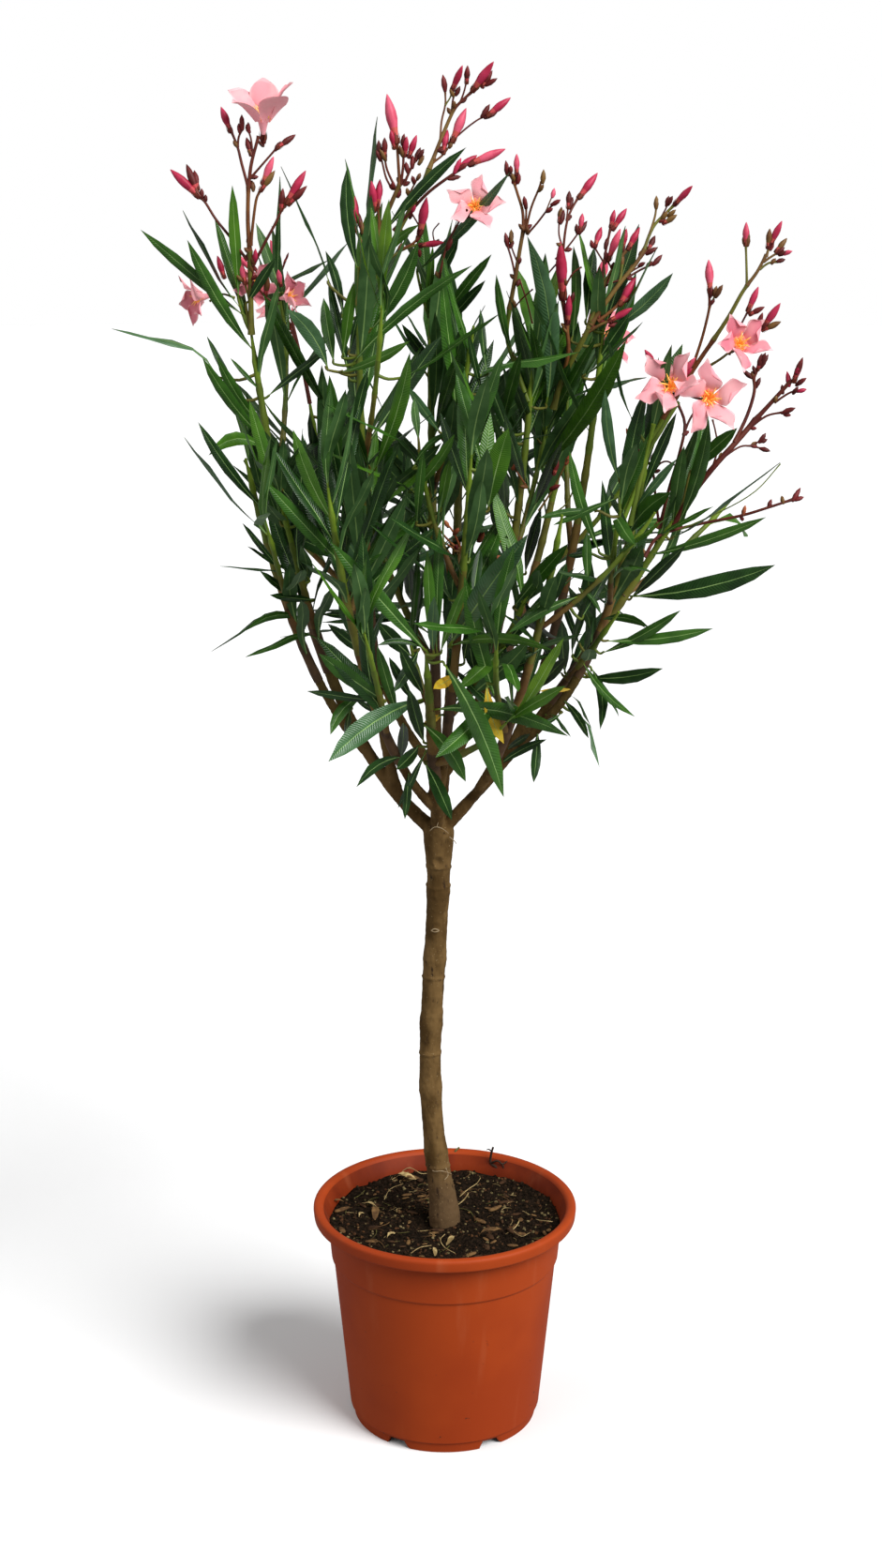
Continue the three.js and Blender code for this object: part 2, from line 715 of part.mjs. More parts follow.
// Points along a leaf's blade, from clear of its root to its tip.
function bladePoints(leaf) {
  return Array.from({ length: SPACE.bladePoints }, (_, i) => {
    const share = SPACE.rootShare + ((1 - SPACE.rootShare) * i) / (SPACE.bladePoints - 1);
    return leaf.foot.clone().addScaledVector(leaf.heading, leaf.length * share);
  });
}

// Whether a point lies in the crown and there in its mass's own space: nearer to the mass's own shoots than
// to any other's, but for a small share.
function inOwnSpace(point, mass, marks, slack) {
  const height = point.z - CROWN.foot;
  const wall = Math.min(CROWN.radius + CROWN.widening * height, CROWN.footRadius + CROWN.slope * height);
  const middle = CROWN.lean * Math.sin((Math.PI * height) / CROWN.height);
  if (Math.hypot(point.x - middle, point.y) > wall * (1 + CROWN.raggedness * slack)) return false;
  const nearest = (some) => Math.min(...some.map((mark) => mark.point.distanceTo(point)));
  const own = marks.filter((mark) => mark.mass === mass);
  const others = marks.filter((mark) => mark.mass !== mass);
  return nearest(own) <= nearest(others) + SPACE.share;
}

// A solid with its box, which shows at once what is far from it.
const withBox = (solid) => ({ solid, box: solid.boundingBox() });

// Whether a solid stays clear of every solid of a list.
function isClear(solid, others) {
  const { min, max } = solid.boundingBox();
  return others.every(({ solid: other, box }) => {
    const isFar = [0, 1, 2].some((i) => min[i] > box.max[i] + GAP || box.min[i] > max[i] + GAP);
    return isFar || solid.minGap(other, 1) > GAP;
  });
}

// The largest of a solid's separate pieces: a loose scrap is dropped, and a sealed hollow is filled.
function mainPiece(solid) {
  return solid.decompose().sort((a, b) => b.volume() - a.volume())[0];
}

// A shoot's stem as a three-sided rod; a mass's leading stem starts clear of the tip of its bough.
function stemSolid(shoot, isLeader) {
  const length = shoot.line.getLength();
  const line = isLeader ? new Stretch(shoot.line, GAP / length, 1) : shoot.line;
  const steps = Math.max(STEM.leastSteps, Math.round(length / STEM.pitch));
  return solidOf(rod(line, (t) => shoot.radius(t) * STEM.thicken, STEM.sides, steps));
}

// The stems and flower stalks of all masses, in which their leaves take root. The leading stems with the axes
// of their flower stalks come first. A side shoot or a flower's branch that would touch a limb or another
// mass's stem is skipped.
function growStems(grownBoughs, limbs) {
  const grown = grownBoughs.map(({ shoots: [leader] }) => {
    const axes = leader.bloom ? [cymeAxis(leader.bloom)] : [];
    return [stemSolid(leader, true), ...axes].map(withBox);
  });
  for (const { index, shoots } of grownBoughs) {
    const keeps = (solid) => {
      const others = grown.filter((_, i) => i !== index).flat();
      if (!isClear(solid, [...limbs, ...others])) return false;
      grown[index].push(withBox(solid));
      return true;
    };
    const [leader, ...sides] = shoots;
    const kept = sides.filter((shoot) => keeps(stemSolid(shoot, false)));
    shoots.splice(1, sides.length, ...kept);
    for (const shoot of kept) if (shoot.bloom && !keeps(cymeAxis(shoot.bloom))) shoot.bloom = null;
    for (const { bloom } of [leader, ...kept]) {
      if (!bloom) continue;
      bloom.ends = bloom.ends.filter((end) => keeps(end.isOpen ? flowerSolid(end) : budSolid(end)));
    }
  }
  return grown.map((stems) => withBox(wasm.Manifold.union(stems.map(({ solid }) => solid))));
}

// The first of a leaf's places that is in its mass's own space, clear of the leaves and stems set before it
// and of every other solid; none where all are taken.
function placeLeaf(places, mass, marks, space, others) {
  for (const leaf of places) {
    const blade = bladePoints(leaf);
    if (!inOwnSpace(blade.at(-1), mass, marks, leaf.slack)) continue;
    if (!blade.every((point) => space.isFree(point))) continue;
    const solid = leafSolid(leaf);
    if (!isClear(solid, others)) continue;
    blade.forEach((point) => space.add(point));
    return solid;
  }
  return null;
}

// A named mesh of one part.
function part(name, solid, colour, roughness) {
  const color = new THREE.Color(...colour);
  const material = new THREE.MeshStandardMaterial({ color, roughness, metalness: 0 });
  const mesh = new THREE.Mesh(geometryOf(solid), material);
  mesh.name = name;
  return mesh;
}

const plant = new THREE.Group();
plant.add(part("pot", potSolid(), COLOURS.pot, 0.5));
plant.add(part("potting_soil", soilSolid(), COLOURS.soil, 1));

const trunk = trunkSolid();
plant.add(part("trunk", trunk, COLOURS.bark, 0.85));

// Each bough is cut clear of the trunk's head and of the boughs made before it.
const grownBoughs = growBoughs();
const limbs = [withBox(trunk)];
const clearances = [trunkSolid(GAP)];
for (const grown of grownBoughs) {
  const limb = mainPiece(clearances.reduce((rest, clearance) => rest.subtract(clearance), boughRod(grown)));
  clearances.push(boughRod(grown, GAP));
  limbs.push(withBox(limb));
  plant.add(part("bough_" + grown.bough.name, limb, COLOURS.bark, 0.85));
}

// The stems come before all leaves. Their middle lines mark the masses' spaces, and no leaf lies across them
// or across a flower stalk.
const stems = growStems(grownBoughs, limbs);
const marks = [];
const space = new Space();
for (const { index, shoots } of grownBoughs)
  for (const { line, bloom } of shoots) {
    for (const point of line.getSpacedPoints(SPACE.stemPoints)) {
      marks.push({ mass: index, point });
      space.add(point);
    }
    for (const point of bloom?.line.getSpacedPoints(SPACE.stalkPoints) ?? []) space.add(point);
  }

// Each mass: its stems, with every leaf that stays in its space and clear of all else.
const masses = [];
for (const { bough, index, shoots } of grownBoughs) {
  const others = [...limbs, ...stems.filter((_, i) => i > index), ...masses];
  const leaves = shoots
    .flatMap((shoot, number) => shootLeaves(shoot, index, number))
    .map((places) => placeLeaf(places, index, marks, space, others))
    .filter((solid) => solid);
  const mass = mainPiece(wasm.Manifold.union([stems[index].solid, ...leaves])).simplify(SIMPLER);
  masses.push(withBox(mass));
  plant.add(part("foliage_" + bough.name, mass, COLOURS.leaf, 0.5));
}

export default plant;
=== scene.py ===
"""Oleander grown as a small standard tree, in a round plastic nursery pot filled with potting soil.

The crown grows by the rule of the part's source, with the same seeded rows of numbers, and is carried on
to more and finer leaves, buds and flowers. Metres, +Z up, origin at the middle of the pot's underside, the
viewer's side towards -Y.
"""

import json
import logging
import math
from contextlib import contextmanager
from dataclasses import dataclass, field
from enum import Enum, IntEnum
from functools import cached_property
from typing import Callable, Iterable, Iterator, Optional, Sequence

import bpy
import numpy as np
from mathutils import Matrix, Vector, noise

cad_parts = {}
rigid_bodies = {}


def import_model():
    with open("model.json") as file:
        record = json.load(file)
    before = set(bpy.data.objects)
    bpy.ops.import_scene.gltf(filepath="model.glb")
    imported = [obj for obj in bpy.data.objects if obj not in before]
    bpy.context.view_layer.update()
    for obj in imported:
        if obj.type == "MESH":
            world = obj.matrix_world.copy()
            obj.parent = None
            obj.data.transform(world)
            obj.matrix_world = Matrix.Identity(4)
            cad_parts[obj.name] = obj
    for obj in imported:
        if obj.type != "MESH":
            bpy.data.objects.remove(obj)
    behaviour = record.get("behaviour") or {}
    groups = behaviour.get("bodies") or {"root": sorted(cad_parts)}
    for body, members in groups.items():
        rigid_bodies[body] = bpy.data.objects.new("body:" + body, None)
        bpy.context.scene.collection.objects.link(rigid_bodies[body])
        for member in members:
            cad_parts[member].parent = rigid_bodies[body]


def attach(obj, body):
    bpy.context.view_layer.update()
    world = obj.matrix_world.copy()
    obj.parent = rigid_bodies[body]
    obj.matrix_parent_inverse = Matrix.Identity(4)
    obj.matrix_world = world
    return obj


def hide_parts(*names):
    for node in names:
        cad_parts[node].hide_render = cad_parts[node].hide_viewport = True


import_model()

log = logging.getLogger("oleander")

Colour = tuple[float, float, float]
Point = np.ndarray
Radius = Callable[[float], float]
Outline = list[tuple[float, float]]
Material = bpy.types.Material
Object = bpy.types.Object
NodeTree = bpy.types.NodeTree
Socket = bpy.types.NodeSocket
Links = dict[int | str, object]

BODY = "root"
GOLDEN_TURN = 137.5
SEED = 1
SHOOT_ROW = 77
CYME_ROW = 500
SIDE_CYME_ROW = 501
FILL_ROW = 1000
SEEN_ROW = 90
SPRIG_ROW = 70
BUD_ROW = 9
CRUMB_ROW = 60
LITTER_ROW = (40, 41)
UP = np.array([0.0, 0.0, 1.0])
TO_VIEWER = np.array([0.0, -1.0, 0.0])
EYE = np.array([-0.0034, -2.100, 1.210])


class Slot(Enum):
    """The record's material slots."""

    POT = "pot_plastic"
    SOIL = "potting_soil"
    BARK = "bark"
    FOLIAGE = "foliage"


def unit(vector: Point) -> Point:
    """Returns a vector of length 1 that points the same way."""
    return vector / max(np.linalg.norm(vector), 1e-12)


def way_at(heading: float) -> Point:
    """Returns the way at a heading in degrees, level with the ground."""
    return np.array([math.cos(math.radians(heading)), math.sin(math.radians(heading)), 0.0])


def leaning(way: Point, side: Point, angle: float) -> Point:
    """Returns the way that leans from `way` towards `side` by an angle in degrees."""
    return unit(way * math.cos(math.radians(angle)) + side * math.sin(math.radians(angle)))


def turned_about(vector: Point, axis: Point, angle: float) -> Point:
    """Returns a vector turned about an axis by an angle in degrees.

    Args:
        vector: the vector.
        axis: the axis, of length 1.
        angle: the angle.

    Returns:
        The turned vector.
    """
    axis = unit(axis)
    cosine, sine = math.cos(math.radians(angle)), math.sin(math.radians(angle))
    return vector * cosine + np.cross(axis, vector) * sine + axis * (axis @ vector) * (1 - cosine)


def round_ways(turn: float) -> tuple[Point, Point]:
    """Returns the ways outwards and sidewards at a turn in radians about the X axis."""
    out = np.array([0.0, math.cos(turn), math.sin(turn)])
    return out, np.array([0.0, -math.sin(turn), math.cos(turn)])


def rolled(ways: tuple[Point, Point, Point], angle: float) -> tuple[Point, Point, Point]:
    """Returns three square ways, turned about the first by an angle in degrees."""
    side = turned_about(ways[1], ways[0], angle)
    return ways[0], side, np.cross(ways[0], side)


def bump(distance: float, width: float) -> float:
    """Returns the height at a distance from the middle of a soft bump of height 1."""
    return math.exp(-((distance / width) ** 2))


def seen_at(x: float, z: float, depth: float) -> Point:
    """Finds a point by where the eye sees it.

    Args:
        x: where its line of sight crosses the upright plane through the pot's middle, in millimetres.
        z: the same, upwards.
        depth: how far behind that plane it lies, in metres.

    Returns:
        The point.
    """
    crossing = np.array([x / 1000, 0.0, z / 1000])
    return EYE + (crossing - EYE) * (depth - EYE[1]) / -EYE[1]


def where_seen(points: np.ndarray) -> np.ndarray:
    """Returns where the eye sees points on the plane through the pot's middle, as x and z in millimetres."""
    crossing = EYE + (points - EYE) * (-EYE[1] / (points[:, 1:2] - EYE[1]))
    return crossing[:, (0, 2)] * 1000


def smoothed(points: Sequence[Point], steps: int = 4) -> list[Point]:
    """Returns a finer row of points on a smooth curve through the given ones.

    Args:
        points: the points.
        steps: how many steps go between two of them.

    Returns:
        The finer row.
    """
    ends = [2 * points[0] - points[1], *points, 2 * points[-1] - points[-2]]
    fine = []
    for a, b, c, d in zip(ends, ends[1:], ends[2:], ends[3:]):
        for t in np.linspace(0, 1, steps, endpoint=False):
            bend = (2 * a - 5 * b + 4 * c - d) * t * t + (3 * b - a - 3 * c + d) * t**3
            fine.append(b + ((c - a) * t + bend) / 2)
    return [*fine, points[-1]]


class Dice:
    """A seeded row of even random numbers from 0 to 1, as in the part's source."""

    MODULUS = 2147483647
    STEP = 16807

    def __init__(self, *seeds: int) -> None:
        """Starts the row that belongs to some whole numbers.

        Args:
            seeds: what the row is for, such as the number of the mass, the shoot and the whorl.
        """
        state = SEED
        for place, seed in enumerate(seeds):
            state = (state * 613 + (seed + 1) * (7919 + place)) % self.MODULUS
        self.state = state
        self()
        self()

    def __call__(self) -> float:
        """Returns the next number of the row."""
        self.state = self.state * self.STEP % self.MODULUS
        return self.state / self.MODULUS

    def grown(self, least: float, more: float) -> float:
        """Returns a random size that passes the least by up to so much more."""
        return least + more * self()

    def jitter(self, spread: float) -> float:
        """Returns an offset of up to half of `spread` to either side."""
        return spread * (self() - 0.5)

    def pick(self, count: int) -> int:
        """Returns a whole number from 0 to under `count`."""
        return min(count - 1, int(self() * count))


class Line:
    """A curve that is measured by its length."""

    DIVISIONS = 200
    TANGENT_STEP = 1e-4

    def point(self, t: float) -> Point:
        """Returns the point at parameter t."""
        raise NotImplementedError

    @cached_property
    def table(self) -> tuple[Point, Point]:
        """Parameters along the curve and the length up to each.

        Returns:
            The parameters and the lengths.
        """
        parameters = np.linspace(0, 1, self.DIVISIONS + 1)
        points = np.array([self.point(t) for t in parameters])
        steps = np.linalg.norm(np.diff(points, axis=0), axis=1)
        return parameters, np.concatenate([[0.0], np.cumsum(steps)])

    @property
    def length(self) -> float:
        """The whole length."""
        return float(self.table[1][-1])

    def parameter(self, share: float) -> float:
        """Returns the parameter at a share of the length."""
        parameters, lengths = self.table
        return float(np.interp(share * lengths[-1], lengths, parameters))

    def point_at(self, share: float) -> Point:
        """Returns the point at a share of the length."""
        return self.point(self.parameter(share))

    def way(self, t: float) -> Point:
        """Returns the way at parameter t."""
        low, high = max(0.0, t - self.TANGENT_STEP), min(1.0, t + self.TANGENT_STEP)
        return unit(self.point(high) - self.point(low))

    def way_at(self, share: float) -> Point:
        """Returns the way at a share of the length."""
        return self.way(self.parameter(share))

    def spaced(self, count: int) -> list[Point]:
        """Returns `count` + 1 points, evenly spaced from end to end."""
        return [self.point_at(i / count) for i in range(count + 1)]


@dataclass
class Bend(Line):
    """A curve from start to end that is drawn towards a third point."""

    start: Point
    towards: Point
    end: Point

    def point(self, t: float) -> Point:
        """Returns the point at parameter t."""
        return (1 - t) ** 2 * self.start + 2 * t * (1 - t) * self.towards + t * t * self.end


@dataclass
class Stretch(Line):
    """The stretch of a curve between two shares of its length."""

    whole: Line
    first: float
    last: float

    def point(self, t: float) -> Point:
        """Returns the point at parameter t."""
        return self.whole.point_at(self.first + (self.last - self.first) * t)


@dataclass
class TrunkLine(Line):
    """The trunk's middle line, which leans and bows to one side."""

    foot_height: float = 0.1903
    head_height: float = 0.562
    head_lean: float = -0.0054
    bow: float = 0.011
    bow_bias: float = 0.72
    depth_bow: float = 0.002

    def point(self, t: float) -> Point:
        """Returns the point at parameter t.

        Args:
            t: the parameter, 0 at the foot and 1 at the head.

        Returns:
            The point.
        """
        side = self.head_lean * t - self.bow * math.sin(math.pi * max(t, 0.0) ** self.bow_bias) ** 2
        height = self.foot_height + (self.head_height - self.foot_height) * t
        return np.array([side, self.depth_bow * math.sin(math.pi * t), height])


@dataclass(frozen=True)
class CymePlan:
    """A flower stalk: its axis, its branches, and which of its ends bear open flowers."""

    length: float
    lean: float
    heading: float
    first: float
    branches: int
    turn: float
    open: tuple[int, ...] = ()


@dataclass(frozen=True)
class BoughPlan:
    """A bough: what it forks from, where it leads, and the shoots and flower stalks of its mass."""

    name: str
    heading: float
    spread: float
    top: float
    sweep: float
    rise: float
    foot: float
    entry: float
    shoots: int
    turn: float
    parent: Optional[str] = None
    at: float = 0.0
    cyme: Optional[CymePlan] = None
    side_cyme: Optional[CymePlan] = None

    def along(self, share: float) -> float:
        """Returns the share of the whole bough at a share of its leafy stretch, at most 1."""
        return self.entry + (1 - self.entry) * min(1.0, share)


BOUGHS: tuple[BoughPlan, ...] = (
    BoughPlan(
        "west", 181, 0.160, 0.992, 0.74, 0.2, 0.0062, 0.38, 2, 100,
        cyme=CymePlan(0.198, 4, 10, 0.42, 5, 280, (0, 1)),
        side_cyme=CymePlan(0.080, 30, 200, 0.1, 3, 185, (1, 3)),
    ),
    BoughPlan("front", 262, 0.112, 0.745, 0.5, 0.5, 0.0066, 0.34, 2, 60),
    BoughPlan(
        "centre", 115, 0.030, 1.001, 0.5, 0.35, 0.0054, 0.26, 2, 40,
        cyme=CymePlan(0.200, 4, 0, 0.3, 4, 350, (1,)),
    ),
    BoughPlan(
        "east", 1, 0.199, 0.845, 0.48, 0.36, 0.0056, 0.44, 2, -100,
        cyme=CymePlan(0.140, 37, 0, 0.3, 4, 60),
    ),
    BoughPlan(
        "north", 84, 0.150, 0.965, 0.66, 0.24, 0.0056, 0.34, 1, 80,
        cyme=CymePlan(0.130, 14, 80, 0.4, 3, 0, (2,)),
    ),
    BoughPlan("west_low", 192, 0.168, 0.893, 0.62, 0.27, 0.0046, 0.3, 1, 90, "west", 0.2),
    BoughPlan(
        "centre_west", 202, 0.076, 1.018, 0.95, 0.2, 0.005, 0.28, 2, -60, "west", 0.1,
        cyme=CymePlan(0.205, 24, 0, 0.3, 5, 150),
    ),
    BoughPlan("south_west", 228, 0.140, 0.880, 0.72, 0.25, 0.0046, 0.22, 2, 60, "front", 0.14),
    BoughPlan("south", 280, 0.118, 0.905, 0.6, 0.4, 0.0046, 0.22, 2, 90, "front", 0.14),
    BoughPlan("south_east", 309, 0.148, 0.860, 0.6, 0.28, 0.0046, 0.22, 2, -70, "east", 0.12),
    BoughPlan(
        "centre_east", 8, 0.074, 0.966, 0.75, 0.2, 0.0046, 0.28, 1, 60, "centre", 0.1,
        cyme=CymePlan(0.165, 3, 0, 0.3, 5, 190),
    ),
    BoughPlan(
        "east_upper", 6, 0.132, 0.990, 0.72, 0.2, 0.0048, 0.3, 1, 90, "east", 0.18,
        cyme=CymePlan(0.140, 20, 0, 0.3, 4, 200),
    ),
    BoughPlan(
        "east_high", 346, 0.172, 0.905, 0.72, 0.22, 0.0044, 0.3, 1, -90, "east", 0.3,
        cyme=CymePlan(0.195, 29, 0, 0.12, 4, 228, (1, 2, 3)),
    ),
    BoughPlan(
        "north_east", 46, 0.158, 0.915, 0.66, 0.24, 0.0046, 0.3, 1, -60, "north", 0.16,
        cyme=CymePlan(0.120, 20, 50, 0.4, 2, 0, (1,)),
    ),
    BoughPlan(
        "north_west", 138, 0.160, 0.925, 0.7, 0.22, 0.0046, 0.3, 1, 60, "north", 0.12,
        cyme=CymePlan(0.125, 15, 150, 0.4, 2, 90, (1,)),
    ),
)


@dataclass
class BloomEnd:
    """One end of a flower stalk, with a bud or an open flower."""

    foot: Point
    way: Point
    stalk: float
    size: float = 1.0
    spin: float = 0.0
    is_open: bool = False

    @property
    def tip(self) -> Point:
        """Where its stalk ends."""
        return self.foot + self.way * self.stalk


@dataclass
class Bloom:
    """A flower stalk with its ends."""

    line: Line
    ends: list[BloomEnd]


@dataclass
class Shoot:
    """A leafy shoot, with its radius at each share of its length."""

    line: Line
    radius: Radius
    bloom: Optional[Bloom] = None


@dataclass
class Bough:
    """A bough with the shoots of its mass, the leading one first."""

    plan: BoughPlan
    index: int
    line: Line
    shoots: list[Shoot]


@dataclass
class Cyme:
    """How flower stalks grow from the tips of shoots."""

    radius: float = 0.0016
    tip_radius: float = 0.0009
    rooted: float = 0.006
    rise: float = 0.84
    bend: float = 0.2
    tip_rooted: float = 0.97
    tip_stalk: float = 0.006
    top_gap: float = 0.4
    branch: float = 0.37
    branch_shrink: float = 0.13
    branch_spread: float = 0.3
    open_branch: float = 0.2
    branch_turn: float = 75
    turn_spread: float = 30
    spread: float = 36
    bud_shrink: float = 0.08
    bud_sizes: tuple[float, float] = (0.8, 1.15)

    def grow(self, shoot: Shoot, plan: CymePlan, roll: Dice) -> Bloom:
        """Grows the flower stalk of a shoot.

        Args:
            shoot: the shoot from whose tip it grows.
            plan: its sizes.
            roll: its row of random numbers.

        Returns:
            The stalk with its ends, the axis's own tip first and then its branches from the lowest.
        """
        foot, way = shoot.line.point(1), shoot.line.way(1)
        axis = leaning(UP, way_at(plan.heading), plan.lean)
        bend = foot + (way + axis) * plan.length * self.bend
        line = Bend(foot - way * self.rooted, bend, foot + axis * plan.length * self.rise)
        ends = [BloomEnd(line.point(self.tip_rooted), line.way(1), self.tip_stalk)]
        for level in range(plan.branches):
            around = self.branch_turn * level + roll.jitter(self.turn_spread)
            out = turned_about(way_at(plan.turn), axis, around)
            is_open = level + 1 in plan.open
            share = self.open_branch if is_open else self.branch * (1 - self.branch_shrink * level)
            along = plan.first + (1 - plan.first) * level / (plan.branches - self.top_gap)
            stalk = plan.length * share * (1 + roll.jitter(self.branch_spread))
            ends.append(BloomEnd(line.point(along), leaning(axis, out, self.spread), stalk))
        least, most = self.bud_sizes
        for i, end in enumerate(ends):
            end.size = (least + (most - least) * roll()) * (1 - self.bud_shrink * max(0, i - 1))
            end.spin = roll() * math.pi
            end.is_open = i in plan.open
        return Bloom(line, ends)


@dataclass
class Limbs:
    """The trunk's and the boughs' sizes, and how side shoots leave their leader."""

    trunk: TrunkLine = field(default_factory=TrunkLine)
    cyme: Cyme = field(default_factory=Cyme)
    radius: float = 0.0097
    flare: float = 0.0036
    flare_height: float = 0.042
    head_swell: float = 0.0034
    head_down: float = 0.008
    head_length: float = 0.026
    ring_swell: float = 0.0011
    ring_pitch: float = 0.062
    ring_start: float = 0.026
    ring_length: float = 0.007
    taper: float = 0.8
    rooted: float = 0.003
    tip_radius: float = 0.0019
    lowest: float = 0.1
    highest: float = 0.56
    rise: float = 0.46
    reach: float = 0.052
    reach_spread: float = 0.024
    turn_spread: float = 20
    bend: float = 0.45
    bow: float = 0.25
    thin: float = 0.72

    def trunk_radius(self, t: float) -> float:
        """Returns the trunk's radius at parameter t, with its flare, old leaf rings and swollen head.

        Args:
            t: the parameter, 0 at the foot and 1 at the head.

        Returns:
            The radius.
        """
        tall = self.trunk.head_height - self.trunk.foot_height
        up = t * tall
        from_ring = (up + self.ring_start) % self.ring_pitch - self.ring_pitch / 2
        return (
            self.radius
            + self.flare * bump(up, self.flare_height)
            + self.head_swell * bump(tall - up - self.head_down, self.head_length)
            + self.ring_swell * bump(from_ring, self.ring_length)
        )

    def leader_radius(self, plan: BoughPlan, share: float) -> float:
        """Returns the radius of a bough and its leading shoot at a share of their common line."""
        return self.tip_radius + (plan.foot - self.tip_radius) * max(0.0, 1 - share) ** self.taper

    def side_shoot(self, plan: BoughPlan, line: Line, number: int, roll: Dice) -> Shoot:
        """Grows a side shoot, which leaves the leader and ends beside it a little higher up.

        Args:
            plan: the bough's sizes.
            line: the bough's line up to its leafy tip.
            number: 1 for the lowest side shoot, 2 for the next.
            roll: the mass's row of random numbers.

        Returns:
            The side shoot.
        """
        share = (number - 1) / (plan.shoots - 1) if plan.shoots > 1 else 0.5
        at = self.lowest + (self.highest - self.lowest) * share
        heading = plan.heading + plan.turn + GOLDEN_TURN * (number - 1) + roll.jitter(self.turn_spread)
        out = way_at(heading)
        reach = self.reach + self.reach_spread * roll()
        foot = line.point_at(plan.along(at))
        end = line.point_at(plan.along(at + self.rise)) + out * reach
        bend = foot + (end - foot) * self.bend + out * self.bow * reach
        foot_radius = self.leader_radius(plan, plan.along(at)) * self.thin
        return Shoot(
            Bend(foot, bend, end),
            lambda t: self.tip_radius + (foot_radius - self.tip_radius) * (1 - t),
        )

    def grow(self) -> list[Bough]:
        """Returns all boughs, each with its shoots and flower stalks.

        Returns:
            The boughs, in the order of their plans.
        """
        head = self.trunk.point(1) - UP * self.rooted
        lines: dict[str, Line] = {}
        boughs = []
        for index, plan in enumerate(BOUGHS):
            start = lines[plan.parent].point_at(plan.at) if plan.parent else head
            tip = way_at(plan.heading) * plan.spread + UP * plan.top
            bend = start + (tip - start) * plan.sweep
            bend[2] = start[2] + (tip[2] - start[2]) * plan.rise
            line = Bend(start, bend, tip)
            lines[plan.name] = line
            leader = Shoot(Stretch(line, plan.entry, 1), self.leader_radius_from(plan))
            roll = Dice(index, SHOOT_ROW)
            sides = [self.side_shoot(plan, line, number, roll) for number in range(1, plan.shoots + 1)]
            shoots = [leader, *sides]
            if plan.cyme:
                leader.bloom = self.cyme.grow(leader, plan.cyme, Dice(index, CYME_ROW))
            if plan.side_cyme:
                shoots[-1].bloom = self.cyme.grow(shoots[-1], plan.side_cyme, Dice(index, SIDE_CYME_ROW))
            boughs.append(Bough(plan, index, line, shoots))
        return boughs

    def leader_radius_from(self, plan: BoughPlan) -> Radius:
        """Returns the radius of a leading shoot by the share of its own length."""
        return lambda t: self.leader_radius(plan, plan.along(t))


@dataclass
class Stand:
    """Where one copy of a form stands: its foot, its three ways, its size along each, its form and tint.

    A leaf of a whorl also holds how ragged the crown's wall is for it, and how far it opens.
    """

    foot: Point
    ways: tuple[Point, Point, Point]
    size: tuple[float, float, float]
    form: int = 0
    tint: int = 0
    slack: float = 0.0
    opening: float = 0.0


class Tint(IntEnum):
    """The greens of the leaves, from the youngest to the oldest, whose paler blue-green is partly painted
    sheen, and those of dying ones.
    """

    YOUNG = 0
    FRESH = 1
    MID = 2
    DEEP = 3
    BLUE = 4
    YELLOW = 5


@dataclass(frozen=True)
class SeenLeaf:
    """A listed leaf, as the eye sees it, in millimetres: x, z of its foot and tip, the tip's depth.

    It grows from the stem that the eye sees nearest to its foot. Its bow is to the left of its way.
    """

    foot_x: int
    foot_z: int
    tip_x: int
    tip_z: int
    depth: int
    width: int
    bow: int
    tint: int


